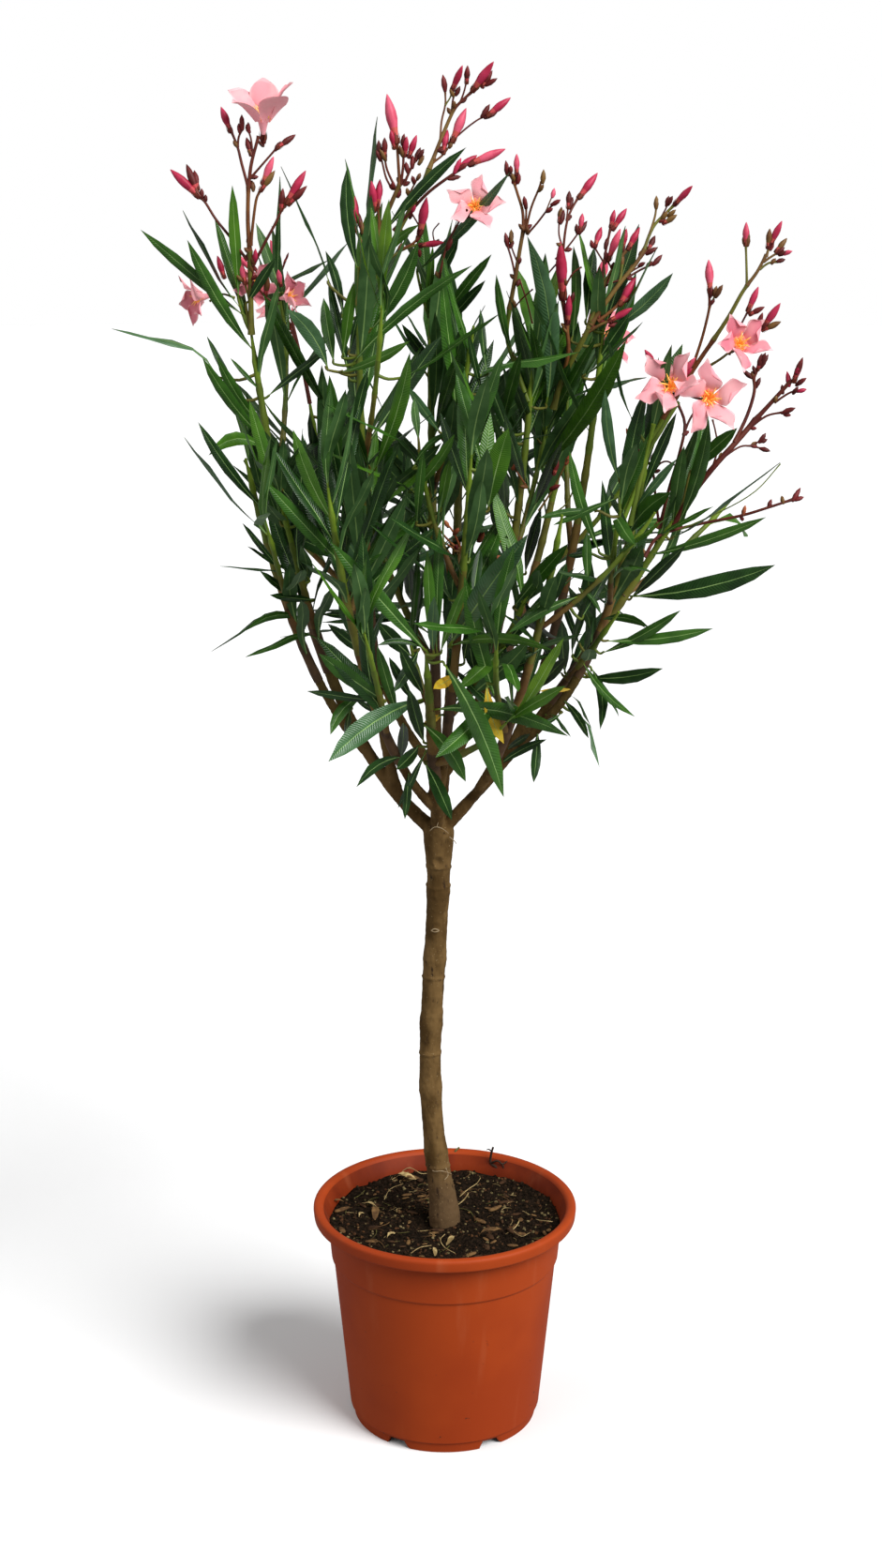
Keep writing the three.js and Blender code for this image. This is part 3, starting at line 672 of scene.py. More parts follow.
DRESSED_SHOOT = ("front", 0)
SEEN_LEAVES: tuple[tuple[int, ...], ...] = (
    (3, 726, 70, 823, -150, 20, 0, 4), (-14, 720, -97, 817, -150, 13, 0, 2),
    (-79, 789, -151, 868, -110, 12, 0, 2), (-9, 717, -15, 810, -125, 9, 0, 1),
    (-7, 719, -4, 831, -118, 9, 0, 2), (-4, 720, 18, 781, -140, 8, 0, 1),
    (-10, 720, -9, 770, -140, 9, 0, 4), (3, 726, 94, 722, -150, 8, 9, 1),
    (-16, 723, -58, 727, -140, 5, -6, 3), (-2, 713, 51, 592, -175, 17, 7, 2),
    (-12, 670, 106, 647, -150, 14, 11, 2), (-18, 680, -101, 624, -170, 19, -4, 4),
    (-20, 658, 18, 606, -140, 13, 5, 2), (-23, 638, -42, 617, -130, 10, 0, 3),
    (-18, 624, 6, 571, -110, 12, 0, 3), (-36, 628, -77, 601, -105, 9, -6, 3),
    (-31, 616, -35, 572, -85, 8, 0, 3), (-16, 634, -41, 582, -60, 6, 0, 3),
    (-18, 683, -39, 726, -120, 11, 0, 3), (-64, 717, -100, 746, -70, 9, 0, 3),
    (-28, 717, -57, 747, -90, 12, 0, 3), (-18, 641, -31, 689, -125, 11, 0, 3),
    (-22, 724, -44, 686, -100, 9, 0, 3), (-26, 676, -48, 717, -80, 8, 0, 3),
    (-28, 765, -31, 802, -70, 9, 0, 3), (16, 711, 24, 750, -80, 9, 0, 3), (9, 668, 3, 717, -70, 9, 0, 3),
    (-2, 666, -18, 659, -60, 6, 0, 5), (7, 700, -10, 689, -150, 9, 0, 5),
    (36, 694, 51, 640, -120, 10, -2, 5), (-73, 744, -85, 733, -40, 5, 0, 5),
    (111, 689, 81, 687, -40, 3, 0, 5), (-157, 975, -211, 1067, -35, 11, 4, 2),
    (-165, 1005, -249, 1075, -35, 7, 0, 2), (-168, 1011, -214, 1090, -45, 2, 0, 3),
    (-170, 1018, -173, 1110, -25, 10, 0, 1), (-164, 1014, -139, 1052, -20, 8, 0, 3),
    (-142, 1007, -134, 1117, 40, 5, 0, 3), (-96, 924, -150, 1024, -25, 10, 0, 2),
    (-136, 1022, -94, 1051, 20, 4, 6, 3), (-131, 999, -79, 1065, 30, 4, 0, 4),
    (-149, 938, -97, 978, -10, 6, 0, 3), (-149, 902, -201, 971, -40, 10, 5, 2),
    (-152, 914, -189, 972, -20, 9, 3, 2), (-171, 937, -197, 989, -10, 5, 0, 3),
    (-153, 943, -178, 971, -15, 4, 0, 2), (-152, 937, -100, 875, -30, 5, -3, 2),
    (-152, 843, -206, 918, -60, 7, 4, 3), (-149, 894, -198, 890, -50, 11, -11, 1),
    (-158, 831, -218, 905, -60, 2, 3, 4), (-138, 831, -155, 880, -60, 6, 0, 2),
    (-91, 829, -127, 912, -75, 12, 6, 1), (-189, 955, -275, 995, -35, 5, -14, 4),
    (-139, 791, -171, 833, -80, 4, 0, 3), (-131, 789, -167, 813, -75, 4, 0, 3),
    (-129, 788, -191, 796, -60, 2, -2, 4), (-125, 767, -157, 792, -70, 6, 0, 3),
    (-111, 767, -149, 771, -60, 7, 0, 3), (-116, 747, -170, 740, -60, 5, -15, 2),
    (-120, 742, -200, 722, -50, 2, -21, 3), (-104, 722, -171, 717, -55, 5, -14, 2),
    (-51, 678, -119, 687, -90, 7, 0, 3), (-51, 678, -108, 720, -120, 13, 0, 2),
    (-64, 686, -99, 648, -110, 10, -7, 2), (-80, 672, -87, 642, -80, 5, 0, 3),
    (-51, 666, -76, 678, -60, 5, 0, 3), (-52, 689, -83, 713, -60, 5, 0, 3),
    (-40, 664, -58, 727, -110, 10, 0, 2), (-36, 659, -38, 628, -70, 7, 0, 3),
    (-106, 754, -72, 752, -60, 5, 0, 3), (-138, 863, -99, 807, -90, 6, 0, 3),
    (-126, 831, -145, 879, -60, 6, 0, 3), (-129, 799, -110, 863, -40, 5, 0, 3),
    (-115, 783, -138, 831, -50, 5, 0, 3), (-63, 992, -22, 1065, -60, 13, -2, 2),
    (-78, 965, 22, 1046, -60, 9, 6, 2), (-88, 959, -29, 985, -60, 8, -2, 1),
    (-71, 1041, -80, 1123, -35, 11, 3, 3), (-68, 1062, -81, 1131, -25, 4, -3, 2),
    (-62, 1062, -55, 1164, -25, 3, 0, 4), (-59, 1039, -21, 1079, -60, 7, 5, 1),
    (-85, 971, -75, 1033, -50, 10, 2, 1), (-80, 974, -70, 1012, -30, 5, 0, 3),
    (-92, 966, -100, 1020, -30, 10, 2, 2), (-97, 961, -130, 1011, -40, 14, -4, 4),
    (-84, 1003, -98, 1058, -20, 7, -2, 3), (-51, 1071, 17, 1140, -60, 9, 2, 3),
    (-23, 1041, 53, 1121, -60, 7, -3, 4), (-78, 902, -64, 961, -40, 9, 0, 3),
    (-60, 875, -29, 976, -90, 13, -2, 1), (-22, 901, -26, 938, -70, 7, 0, 2),
    (-79, 953, -96, 1036, -20, 8, 0, 3), (-15, 957, -44, 1003, -20, 4, 0, 4),
    (-10, 968, -32, 1007, -20, 3, 0, 4), (-95, 1030, -133, 1125, -10, 2, 0, 3),
    (-92, 831, -70, 934, -90, 9, 0, 3), (-81, 831, -98, 918, -60, 9, 0, 3),
    (-86, 879, -96, 957, -60, 10, 2, 2), (-63, 879, -80, 926, -100, 9, 0, 2),
    (-102, 863, -113, 926, -30, 6, 0, 3), (-4, 994, 33, 1034, -20, 9, 0, 3),
    (-5, 1001, 38, 1055, -10, 9, 0, 2), (-11, 1026, 11, 1067, 0, 9, 0, 3),
    (-35, 955, 45, 1007, -50, 5, -2, 2), (-6, 918, 13, 978, -90, 10, 0, 2),
    (32, 879, 9, 961, -100, 10, 0, 2), (36, 843, 53, 913, -130, 17, 2, 1),
    (47, 910, 63, 976, -70, 10, 0, 2), (57, 972, 42, 1039, 0, 6, 3, 2), (-30, 859, 8, 908, -110, 9, -3, 1),
    (-4, 909, -31, 947, -60, 8, 0, 4), (-27, 879, 8, 911, -90, 5, 5, 2),
    (-24, 831, -18, 894, -120, 8, 0, 2), (20, 855, -4, 926, -90, 9, 0, 3), (31, 941, 19, 992, -40, 5, 0, 3),
    (35, 957, 29, 1011, 0, 5, 0, 3), (-4, 957, -36, 999, -30, 6, 0, 3), (20, 799, 36, 863, -70, 8, 0, 3),
    (55, 902, 35, 957, -60, 8, 0, 3), (-15, 999, -10, 1062, 10, 7, 0, 1), (51, 841, 49, 880, -90, 9, 0, 2),
    (-4, 843, 4, 887, -100, 8, 0, 1), (24, 767, 30, 811, -80, 8, 0, 3), (4, 767, -10, 831, -60, 8, 0, 3),
    (84, 930, 67, 1070, -20, 16, -13, 4), (82, 909, 70, 999, -30, 11, -3, 2),
    (105, 984, 105, 1062, 30, 9, -3, 2), (116, 999, 122, 1061, 30, 11, 0, 3),
    (132, 992, 187, 1040, -10, 11, -2, 4), (128, 971, 151, 1005, 0, 10, 0, 3),
    (114, 955, 163, 1000, -20, 4, -2, 2), (85, 912, 125, 988, -30, 8, 0, 2),
    (80, 879, 150, 986, -70, 16, -3, 1), (98, 934, 167, 955, -30, 2, 0, 4),
    (147, 867, 133, 945, -60, 9, 2, 4), (157, 918, 133, 992, -20, 3, 0, 4),
    (78, 902, 55, 957, -40, 7, 0, 3), (67, 863, 49, 926, -90, 9, 0, 3), (75, 847, 98, 902, -60, 7, 0, 3),
    (150, 831, 168, 948, -50, 12, 4, 3), (196, 831, 220, 920, -60, 12, -2, 2),
    (192, 831, 200, 898, -40, 11, 0, 2), (205, 875, 244, 913, -30, 12, 0, 2),
    (158, 841, 194, 887, -60, 7, 0, 4), (153, 819, 190, 859, -80, 15, 4, 2),
    (178, 819, 226, 847, -20, 4, 0, 2), (190, 819, 281, 884, -30, 2, -6, 4),
    (169, 805, 271, 838, -25, 9, -2, 2), (157, 767, 203, 813, -50, 10, 0, 3),
    (157, 770, 280, 797, -40, 17, -4, 3), (132, 749, 174, 743, -70, 7, 5, 2),
    (133, 720, 201, 758, -80, 7, -3, 2), (136, 731, 229, 742, -75, 10, -2, 2),
    (121, 699, 187, 707, -70, 11, -3, 3), (118, 713, 164, 664, -80, 7, -5, 2),
    (125, 708, 134, 653, -70, 9, 5, 3), (133, 697, 150, 664, -60, 2, 2, 3),
    (101, 680, 124, 645, -60, 7, 3, 3), (105, 684, 127, 653, -50, 2, 4, 3),
    (111, 668, 134, 619, -40, 2, 7, 4), (80, 653, 77, 605, -30, 8, 0, 3), (87, 666, 109, 646, -40, 2, 4, 3),
    (45, 619, 88, 644, -25, 7, 3, 3), (53, 634, 74, 649, -35, 6, 0, 3), (144, 767, 132, 869, -60, 10, 0, 3),
    (131, 807, 104, 894, -100, 10, 3, 2), (130, 843, 79, 837, -100, 6, -2, 2),
    (146, 855, 91, 831, -100, 5, 0, 2), (58, 760, 104, 815, -130, 12, 0, 2),
    (92, 762, 103, 799, -100, 9, 0, 3), (122, 779, 120, 826, -90, 8, 0, 2),
    (123, 807, 104, 805, -80, 5, 0, 3), (114, 770, 54, 738, -130, 9, -3, 2),
    (114, 777, 133, 754, -90, 4, 3, 2), (52, 726, 12, 689, -110, 12, 0, 1),
    (73, 668, 36, 689, -60, 5, 5, 3), (69, 684, 84, 734, -80, 5, 0, 3), (81, 684, 68, 717, -60, 5, 0, 3),
    (101, 701, 76, 750, -90, 6, 0, 3), (109, 717, 120, 767, -90, 6, 0, 2), (93, 717, 68, 767, -70, 6, 0, 3),
    (100, 734, 59, 754, -100, 5, 2, 3), (116, 726, 100, 767, -60, 6, 0, 3),
    (84, 726, 52, 717, -80, 5, 3, 3), (68, 726, 36, 742, -80, 5, 3, 3), (77, 701, 48, 705, -60, 4, 3, 3),
    (89, 680, 57, 680, -50, 4, 4, 3), (103, 703, 100, 749, -75, 11, 0, 3),
    (80, 689, 104, 716, -60, 11, 0, 3), (27, 699, 19, 744, -60, 12, 0, 3), (68, 789, 81, 846, -50, 9, 0, 3),
    (164, 851, 193, 926, -40, 9, 0, 3), (101, 668, 69, 655, -50, 5, 3, 3),
    (116, 750, 143, 799, -80, 7, 0, 3),
)


@dataclass(frozen=True)
class Sprig:
    """A listed flower stalk, as the eye sees it: depth and radius, its course as x, z pairs, its buds.

    Each bud is five numbers: x and z of its foot, x and z of its tip, and its tint.
    """

    depth: float
    tint: int
    radius: float
    course: tuple[int, ...]
    buds: tuple[int, ...]


@dataclass(frozen=True)
class SetFlower:
    """A listed open flower, as the eye sees it: its throat, depth, facing, form, size and tint."""

    x: int
    z: int
    depth: int
    facing: tuple[float, float, float]
    form: int
    size: float
    tint: int


def sprigs(depth: int, *rows: tuple[int, float, tuple[int, ...], tuple[int, ...]]) -> list[Sprig]:
    """Returns the flower stalks of one mass, which all stand at one depth in millimetres."""
    return [Sprig(depth / 1000, tint, radius / 1000, course, buds) for tint, radius, course, buds in rows]


HAND_SET_BLOOMS = ("west", "centre", "centre_west", "centre_east", "east_upper", "east_high", "east")
SPRIGS: tuple[Sprig, ...] = (
    *sprigs(-5,
        (2, 2.4, (-160, 990, -160, 1024, -160, 1058), ()),
        (6, 1.9, (-160, 1056, -161, 1082, -160, 1110), ()),
        (5, 1.3, (-160, 1108, -165, 1127, -168, 1140, -173, 1153), (-173, 1151, -181, 1172, 0)),
        (5, 1.0, (-168, 1140, -167, 1148, -164, 1154),
         (-164, 1153, -164, 1166, 2, -166, 1151, -167, 1159, 2)),
        (5, 1.5, (-160, 1108, -158, 1123, -156, 1132, -153, 1142, -151, 1149), (-157, 1133, -161, 1148, 2)),
        (5, 0.9, (-156, 1134, -157, 1146, -159, 1153),
         (-159, 1152, -159, 1160, 2, -158, 1151, -161, 1158, 2)),
        (5, 1.0, (-158, 1116, -147, 1128, -136, 1140),
         (-137, 1139, -121, 1150, 2, -138, 1137, -133, 1145, 2)),
        (6, 1.3, (-159, 1062, -157, 1079, -154, 1098, -151, 1105),
         (-151, 1105, -138, 1122, 3, -149, 1110, -139, 1133, 1, -156, 1105, -157, 1114, 3)),
        (5, 1.2, (-162, 1050, -175, 1068, -187, 1083, -195, 1096, -199, 1100),
         (-199, 1100, -223, 1123, 0, -201, 1102, -210, 1127, 2, -201, 1106, -204, 1122, 2, -198, 1099,
          -198, 1108, 2, -195, 1097, -195, 1103, 2)),
        (5, 1.3, (-157, 1047, -146, 1067, -139, 1079, -134, 1089, -130, 1094),
         (-134, 1089, -132, 1108, 2, -130, 1095, -113, 1122, 0, -129, 1094, -112, 1110, 2, -131, 1092,
          -130, 1100, 3)),
        (5, 0.8, (-159, 1035, -156, 1049), (-156, 1048, -155, 1060, 0, -158, 1041, -161, 1049, 3)),
        (2, 0.9, (-161, 1017, -164, 1030), (-164, 1030, -169, 1051, 1, -166, 1033, -172, 1039, 3)),
        (5, 1.0, (-158, 1033, -147, 1020, -137, 1015),
         (-148, 1021, -145, 1037, 3, -135, 1029, -137, 1043, 1)),
        (2, 0.9, (-173, 1020, -184, 1023, -194, 1017), (-181, 1035, -187, 1054, 0)),
    ),
    *sprigs(-30,
        (2, 2.5, (-72, 1014, -65, 1043, -59, 1062), ()),
        (1, 2.1, (-59, 1062, -51, 1080, -42, 1100, -37, 1111), ()),
        (6, 1.4, (-37, 1110, -38, 1127, -39, 1144), (-39, 1142, -47, 1182, 1, -41, 1138, -44, 1154, 0)),
        (5, 1.0, (-40, 1107, -47, 1122, -49, 1132), (-49, 1131, -49, 1148, 2, -48, 1129, -53, 1139, 3)),
        (5, 0.9, (-43, 1107, -48, 1116, -51, 1128, -53, 1134),
         (-53, 1133, -54, 1146, 2, -52, 1129, -56, 1138, 2)),
        (5, 1.2, (-36, 1111, -34, 1127, -34, 1142),
         (-35, 1141, -33, 1151, 2, -33, 1132, -31, 1149, 0, -30, 1131, -23, 1150, 0, -34, 1132, -37, 1142,
          3)),
        (5, 1.1, (-34, 1110, -28, 1123, -23, 1131),
         (-24, 1129, -20, 1140, 2, -22, 1131, -17, 1139, 2, -22, 1126, -17, 1134, 3, -27, 1123, -26, 1134,
          2, -30, 1119, -32, 1129, 2)),
        (6, 0.8, (-30, 1102, -25, 1111, -22, 1116), (-23, 1114, -20, 1120, 3, -25, 1111, -27, 1118, 2)),
        (6, 1.1, (-59, 1062, -54, 1077, -55, 1091),
         (-57, 1089, -60, 1114, 0, -55, 1091, -53, 1115, 0, -57, 1088, -61, 1098, 2)),
        (6, 1.0, (-64, 1045, -67, 1061, -73, 1074),
         (-74, 1074, -74, 1103, 0, -69, 1076, -71, 1089, 2, -67, 1071, -69, 1083, 3)),
        (2, 1.2, (-70, 1032, -54, 1045, -36, 1058, -22, 1063),
         (-22, 1062, -1, 1065, 0, -21, 1059, -21, 1052, 2)),
        (6, 1.2, (-38, 1058, -26, 1064, -20, 1072), (-21, 1070, -15, 1101, 0, -24, 1065, -19, 1074, 2)),
        (5, 0.7, (-28, 1089, -22, 1079, -19, 1071), (-28, 1088, -24, 1095, 0, -39, 1100, -36, 1108, 2)),
        (2, 2.2, (-67, 1015, -55, 1043, -38, 1074, -22, 1103, -13, 1123), ()),
        (1, 1.7, (-13, 1123, -4, 1145, 2, 1159, 7, 1170), ()),
        (5, 1.3, (7, 1170, 13, 1176, 21, 1183),
         (21, 1183, 39, 1207, 0, 29, 1186, 38, 1200, 2, 32, 1188, 42, 1194, 2, 23, 1184, 29, 1191, 3)),
        (5, 0.8, (12, 1175, 15, 1183, 17, 1191), (17, 1189, 18, 1204, 2)),
        (5, 0.9, (5, 1166, 6, 1176, 7, 1180), (7, 1179, 4, 1186, 3, 8, 1180, 12, 1188, 2)),
        (6, 0.9, (-4, 1145, -3, 1160, 0, 1173, 0, 1183), (0, 1183, -2, 1197, 2)),
        (2, 0.7, (0, 1173, 4, 1179, 5, 1184), (5, 1183, 14, 1204, 0)),
        (5, 0.8, (-7, 1138, 5, 1145, 17, 1155, 27, 1162, 33, 1164),
         (33, 1164, 53, 1179, 0, 29, 1163, 36, 1174, 2, 31, 1163, 42, 1167, 2)),
        (6, 0.9, (-10, 1128, -2, 1134, 4, 1142),
         (5, 1143, 17, 1171, 1, 3, 1139, 6, 1145, 3, -2, 1134, 2, 1154, 0)),
        (5, 1.4, (-42, 1074, -25, 1093, -13, 1105, 2, 1116, 16, 1125),
         (18, 1126, 49, 1139, 1, 8, 1122, 26, 1134, 0, 2, 1115, 13, 1117, 2, 7, 1119, 13, 1132, 0, 10,
          1122, 19, 1128, 2)),
        (5, 1.0, (-5, 1036, 1, 1061, 10, 1079, 18, 1091), (1, 1058, 6, 1068, 2)),
        (5, 0.6, (-8, 1062, -10, 1073, -5, 1080), ()),
    ),
    *sprigs(10,
        (3, 2.2, (69, 935, 58, 965, 51, 989, 53, 1011), ()),
        (1, 1.9, (53, 1011, 57, 1033, 61, 1058, 64, 1075), ()),
        (6, 1.4, (64, 1075, 63, 1090, 59, 1103, 56, 1112),
         (58, 1117, 58, 1135, 1, 56, 1113, 54, 1120, 3, 59, 1111, 60, 1120, 2, 55, 1111, 57, 1119, 2)),
        (5, 0.9, (57, 1110, 52, 1119), (51, 1117, 49, 1130, 2, 53, 1119, 53, 1126, 2)),
        (6, 1.0, (65, 1073, 66, 1085, 66, 1092), (66, 1091, 64, 1102, 2)),
        (6, 1.0, (66, 1075, 70, 1092, 76, 1107, 78, 1113), (79, 1111, 80, 1123, 3, 76, 1105, 80, 1111, 3)),
        (5, 0.9, (67, 1071, 75, 1080, 82, 1089, 87, 1094), (86, 1094, 94, 1099, 2)),
        (6, 0.6, (82, 1089, 86, 1099, 88, 1103), (87, 1100, 89, 1108, 1)),
        (5, 1.0, (58, 1035, 55, 1049, 51, 1062), (51, 1061, 49, 1073, 2)),
        (5, 0.8, (60, 1047, 55, 1059, 54, 1065), (54, 1064, 54, 1075, 3, 53, 1060, 56, 1066, 2)),
        (5, 0.7, (57, 1012, 64, 1020, 72, 1027), ()),
        (5, 0.7, (61, 1035, 67, 1018, 72, 999), ()),
    ),
    *sprigs(14,
        (2, 2.6, (90, 929, 98, 955, 114, 986, 121, 1001), ()),
        (6, 1.9, (98, 954, 102, 977, 100, 997, 97, 1017), (97, 1017, 94, 1066, 0)),
        (5, 1.2, (100, 995, 96, 1033, 97, 1062, 99, 1079, 102, 1089, 108, 1100), (108, 1099, 124, 1120, 0)),
        (5, 0.8, (99, 1082, 100, 1092), (100, 1091, 101, 1106, 2, 101, 1091, 104, 1101, 2)),
        (5, 0.8, (96, 1061, 93, 1071, 93, 1082), (93, 1080, 95, 1093, 3, 94, 1079, 97, 1091, 2)),
        (5, 0.8, (98, 1058, 105, 1067, 110, 1074),
         (110, 1073, 112, 1088, 1, 109, 1071, 116, 1082, 2, 108, 1071, 107, 1080, 2)),
        (5, 0.8, (99, 1030, 105, 1040, 112, 1045), ()),
        (5, 0.8, (96, 1052, 90, 1046, 83, 1038), ()),
        (6, 1.1, (101, 991, 102, 1003), (101, 998, 102, 1023, 0, 103, 1015, 106, 1025, 2)),
        (2, 1.8, (118, 995, 126, 1020, 129, 1036), ()),
        (5, 1.2, (129, 1036, 131, 1055, 135, 1076),
         (135, 1076, 138, 1091, 0, 136, 1074, 148, 1092, 0, 131, 1059, 133, 1069, 2)),
        (5, 0.8, (131, 1047, 122, 1061), (122, 1060, 128, 1077, 0, 121, 1060, 119, 1067, 2)),
        (1, 1.6, (127, 1024, 136, 1041, 142, 1050, 148, 1058),
         (149, 1058, 159, 1077, 0, 145, 1059, 148, 1076, 0, 147, 1056, 143, 1067, 2)),
        (6, 0.9, (137, 1043, 133, 1050), (133, 1049, 143, 1076, 1, 132, 1049, 131, 1059, 2)),
        (1, 2.0, (120, 998, 135, 1020, 146, 1035, 156, 1047, 163, 1059), ()),
        (2, 1.4, (163, 1059, 167, 1071, 172, 1080, 180, 1088, 186, 1094),
         (186, 1094, 201, 1110, 0, 177, 1079, 189, 1087, 3, 178, 1080, 187, 1084, 3, 176, 1082, 181, 1090,
          3, 181, 1085, 188, 1091, 3)),
        (1, 1.0, (167, 1071, 171, 1085, 172, 1093), (172, 1091, 172, 1102, 3)),
        (5, 0.8, (174, 1081, 180, 1092, 181, 1096), (180, 1093, 182, 1102, 2, 181, 1094, 185, 1102, 2)),
        (5, 0.9, (160, 1052, 166, 1059), (166, 1058, 172, 1070, 2, 164, 1055, 174, 1061, 2)),
        (5, 1.0, (149, 1036, 161, 1043, 170, 1047), (170, 1046, 178, 1055, 2, 165, 1045, 170, 1050, 2)),
        (5, 0.8, (152, 1041, 161, 1046), (158, 1045, 164, 1049, 2)),
        (6, 1.5, (126, 1001, 139, 1011, 144, 1017), (143, 1013, 157, 1037, 0, 146, 1016, 153, 1021, 2)),
        (1, 1.4, (114, 989, 126, 997, 135, 1001), (134, 1000, 154, 1012, 0, 135, 997, 144, 999, 2)),
        (2, 1.3, (134, 1018, 143, 1033, 145, 1047), (145, 1046, 145, 1058, 3)),
        (5, 0.9, (127, 1026, 136, 1032, 143, 1034), ()),
        (6, 1.1, (120, 995, 126, 1005), (126, 1003, 128, 1017, 3)),
    ),
    *sprigs(-42,
        (4, 2.5, (152, 844, 161, 874, 170, 899, 182, 920), ()),
        (6, 2.2, (182, 920, 196, 945, 210, 968, 222, 986), ()),
        (2, 1.8, (222, 986, 234, 1005, 243, 1022, 248, 1030), ()),
        (1, 1.5, (248, 1030, 256, 1041, 263, 1055), ()),
        (2, 1.1, (248, 1030, 247, 1047, 246, 1062),
         (246, 1061, 246, 1081, 1, 247, 1061, 248, 1073, 3, 246, 1061, 244, 1070, 3)),
        (1, 1.2, (263, 1053, 265, 1061),
         (264, 1059, 265, 1076, 3, 265, 1061, 275, 1082, 0, 266, 1058, 269, 1067, 2)),
        (1, 1.0, (261, 1049, 270, 1055, 274, 1056),
         (270, 1056, 280, 1068, 3, 271, 1055, 278, 1061, 2, 274, 1055, 284, 1058, 1, 273, 1054, 279, 1058,
          2)),
        (2, 1.0, (258, 1043, 265, 1048, 272, 1049), (271, 1049, 279, 1051, 2, 267, 1047, 271, 1052, 3)),
        (6, 1.3, (205, 963, 212, 986, 216, 1003, 218, 1014), ()),
        (5, 1.2, (218, 1014, 217, 1024), (218, 1023, 216, 1051, 1, 218, 1020, 219, 1029, 2)),
        (2, 0.8, (218, 1013, 222, 1022), (222, 1020, 228, 1031, 3, 221, 1021, 223, 1030, 3)),
        (2, 1.2, (215, 962, 228, 970, 238, 978), ()),
        (6, 1.0, (247, 982, 258, 994, 265, 998),
         (262, 995, 276, 1016, 0, 261, 993, 277, 1001, 3, 256, 991, 262, 1008, 2, 259, 995, 268, 1001, 2)),
        (5, 0.9, (242, 994, 249, 1008), (249, 1008, 258, 1029, 0, 250, 1006, 263, 1013, 2)),
        (5, 0.9, (188, 938, 180, 954, 175, 965), (175, 963, 165, 978, 0)),
        (5, 0.9, (188, 938, 192, 951, 196, 958), (195, 955, 207, 972, 1, 196, 954, 205, 963, 0)),
    ),
    *sprigs(0,
        (5, 2.7, (192, 829, 205, 853, 224, 879, 244, 902, 259, 920), ()),
        (5, 2.0, (259, 920, 274, 937, 287, 952),
         (289, 950, 296, 972, 2, 290, 952, 294, 968, 0, 291, 948, 300, 955, 2, 286, 947, 284, 960, 0, 281,
          941, 280, 949, 2)),
        (5, 1.0, (274, 934, 286, 942, 293, 944), (292, 943, 301, 945, 0, 289, 941, 293, 948, 2)),
        (5, 1.1, (254, 913, 268, 923, 281, 926), (280, 925, 292, 930, 2, 282, 924, 289, 923, 2)),
        (5, 1.0, (230, 886, 246, 897, 256, 898), ()),
        (5, 0.9, (256, 898, 263, 902), (262, 900, 268, 909, 2, 263, 901, 270, 903, 2)),
        (5, 0.9, (256, 898, 264, 896), (263, 896, 272, 894, 2)),
        (5, 1.6, (242, 901, 252, 924, 257, 943, 256, 955), (258, 946, 262, 955, 2, 255, 954, 247, 961, 2)),
        (5, 1.3, (256, 954, 260, 963),
         (259, 960, 262, 975, 2, 261, 962, 268, 974, 2, 261, 965, 265, 976, 2, 258, 957, 255, 965, 2)),
        (5, 0.9, (224, 879, 228, 896, 226, 909, 223, 920), ()),
        (5, 1.5, (181, 829, 188, 861, 196, 891, 200, 916, 193, 935), ()),
        (5, 1.1, (199, 907, 204, 920, 210, 930), ()),
        (5, 1.2, (181, 828, 177, 855, 174, 877, 165, 891, 154, 902),
         (159, 897, 151, 913, 4, 156, 899, 157, 911, 4)),
        (5, 0.9, (175, 876, 180, 883, 186, 885, 192, 882), (174, 882, 174, 893, 2, 175, 879, 177, 887, 2)),
        (5, 1.5, (169, 804, 181, 822, 210, 831, 249, 839, 272, 846, 293, 853),
         (292, 851, 299, 863, 2, 294, 852, 302, 855, 2, 285, 849, 283, 856, 3, 272, 846, 275, 853, 2, 251,
          839, 253, 848, 4, 249, 838, 252, 834, 2)),
        (3, 0.6, (196, 826, 233, 843, 261, 860, 281, 883), ()),
    ),
    *sprigs(-20,
        (5, 2.2, (-1, 905, 10, 885, 20, 863, 27, 841, 29, 817), ()),
        (7, 1.9, (3, 762, 3, 789, 1, 809), (-1, 792, -6, 808, 4)),
        (7, 1.5, (3, 775, 18, 792, 31, 805, 45, 816), (44, 814, 48, 823, 4, 36, 801, 48, 805, 4)),
        (1, 1.3, (6, 784, 10, 799, 13, 810), ()),
        (7, 1.0, (13, 809, 3, 818, -8, 831), (-7, 829, -10, 837, 4)),
        (7, 0.9, (11, 809, 1, 815, -8, 817), (-5, 817, -9, 818, 4)),
        (7, 0.9, (14, 810, 7, 825, 1, 833), (3, 829, -1, 836, 4, 7, 823, 12, 829, 4)),
        (7, 1.2, (14, 810, 21, 821, 28, 834), (26, 831, 30, 844, 4, 29, 817, 33, 826, 4)),
        (5, 1.2, (4, 896, -4, 887, -9, 879), (4, 874, 7, 882, 4)),
        (1, 0.9, (79, 843, 92, 864, 103, 887),
         (91, 873, 95, 887, 2, 88, 861, 97, 866, 2, 101, 882, 106, 891, 4)),
        (6, 0.8, (69, 863, 61, 875, 57, 880), (56, 878, 64, 887, 4)),
        (2, 0.7, (89, 839, 102, 849, 108, 861), ()),
    ),
    *sprigs(-62,
        (4, 1.9, (148, 829, 161, 863, 169, 893, 174, 916), ()),
        (3, 2.0, (156, 831, 168, 887, 181, 912, 194, 935), ()),
    ),
)
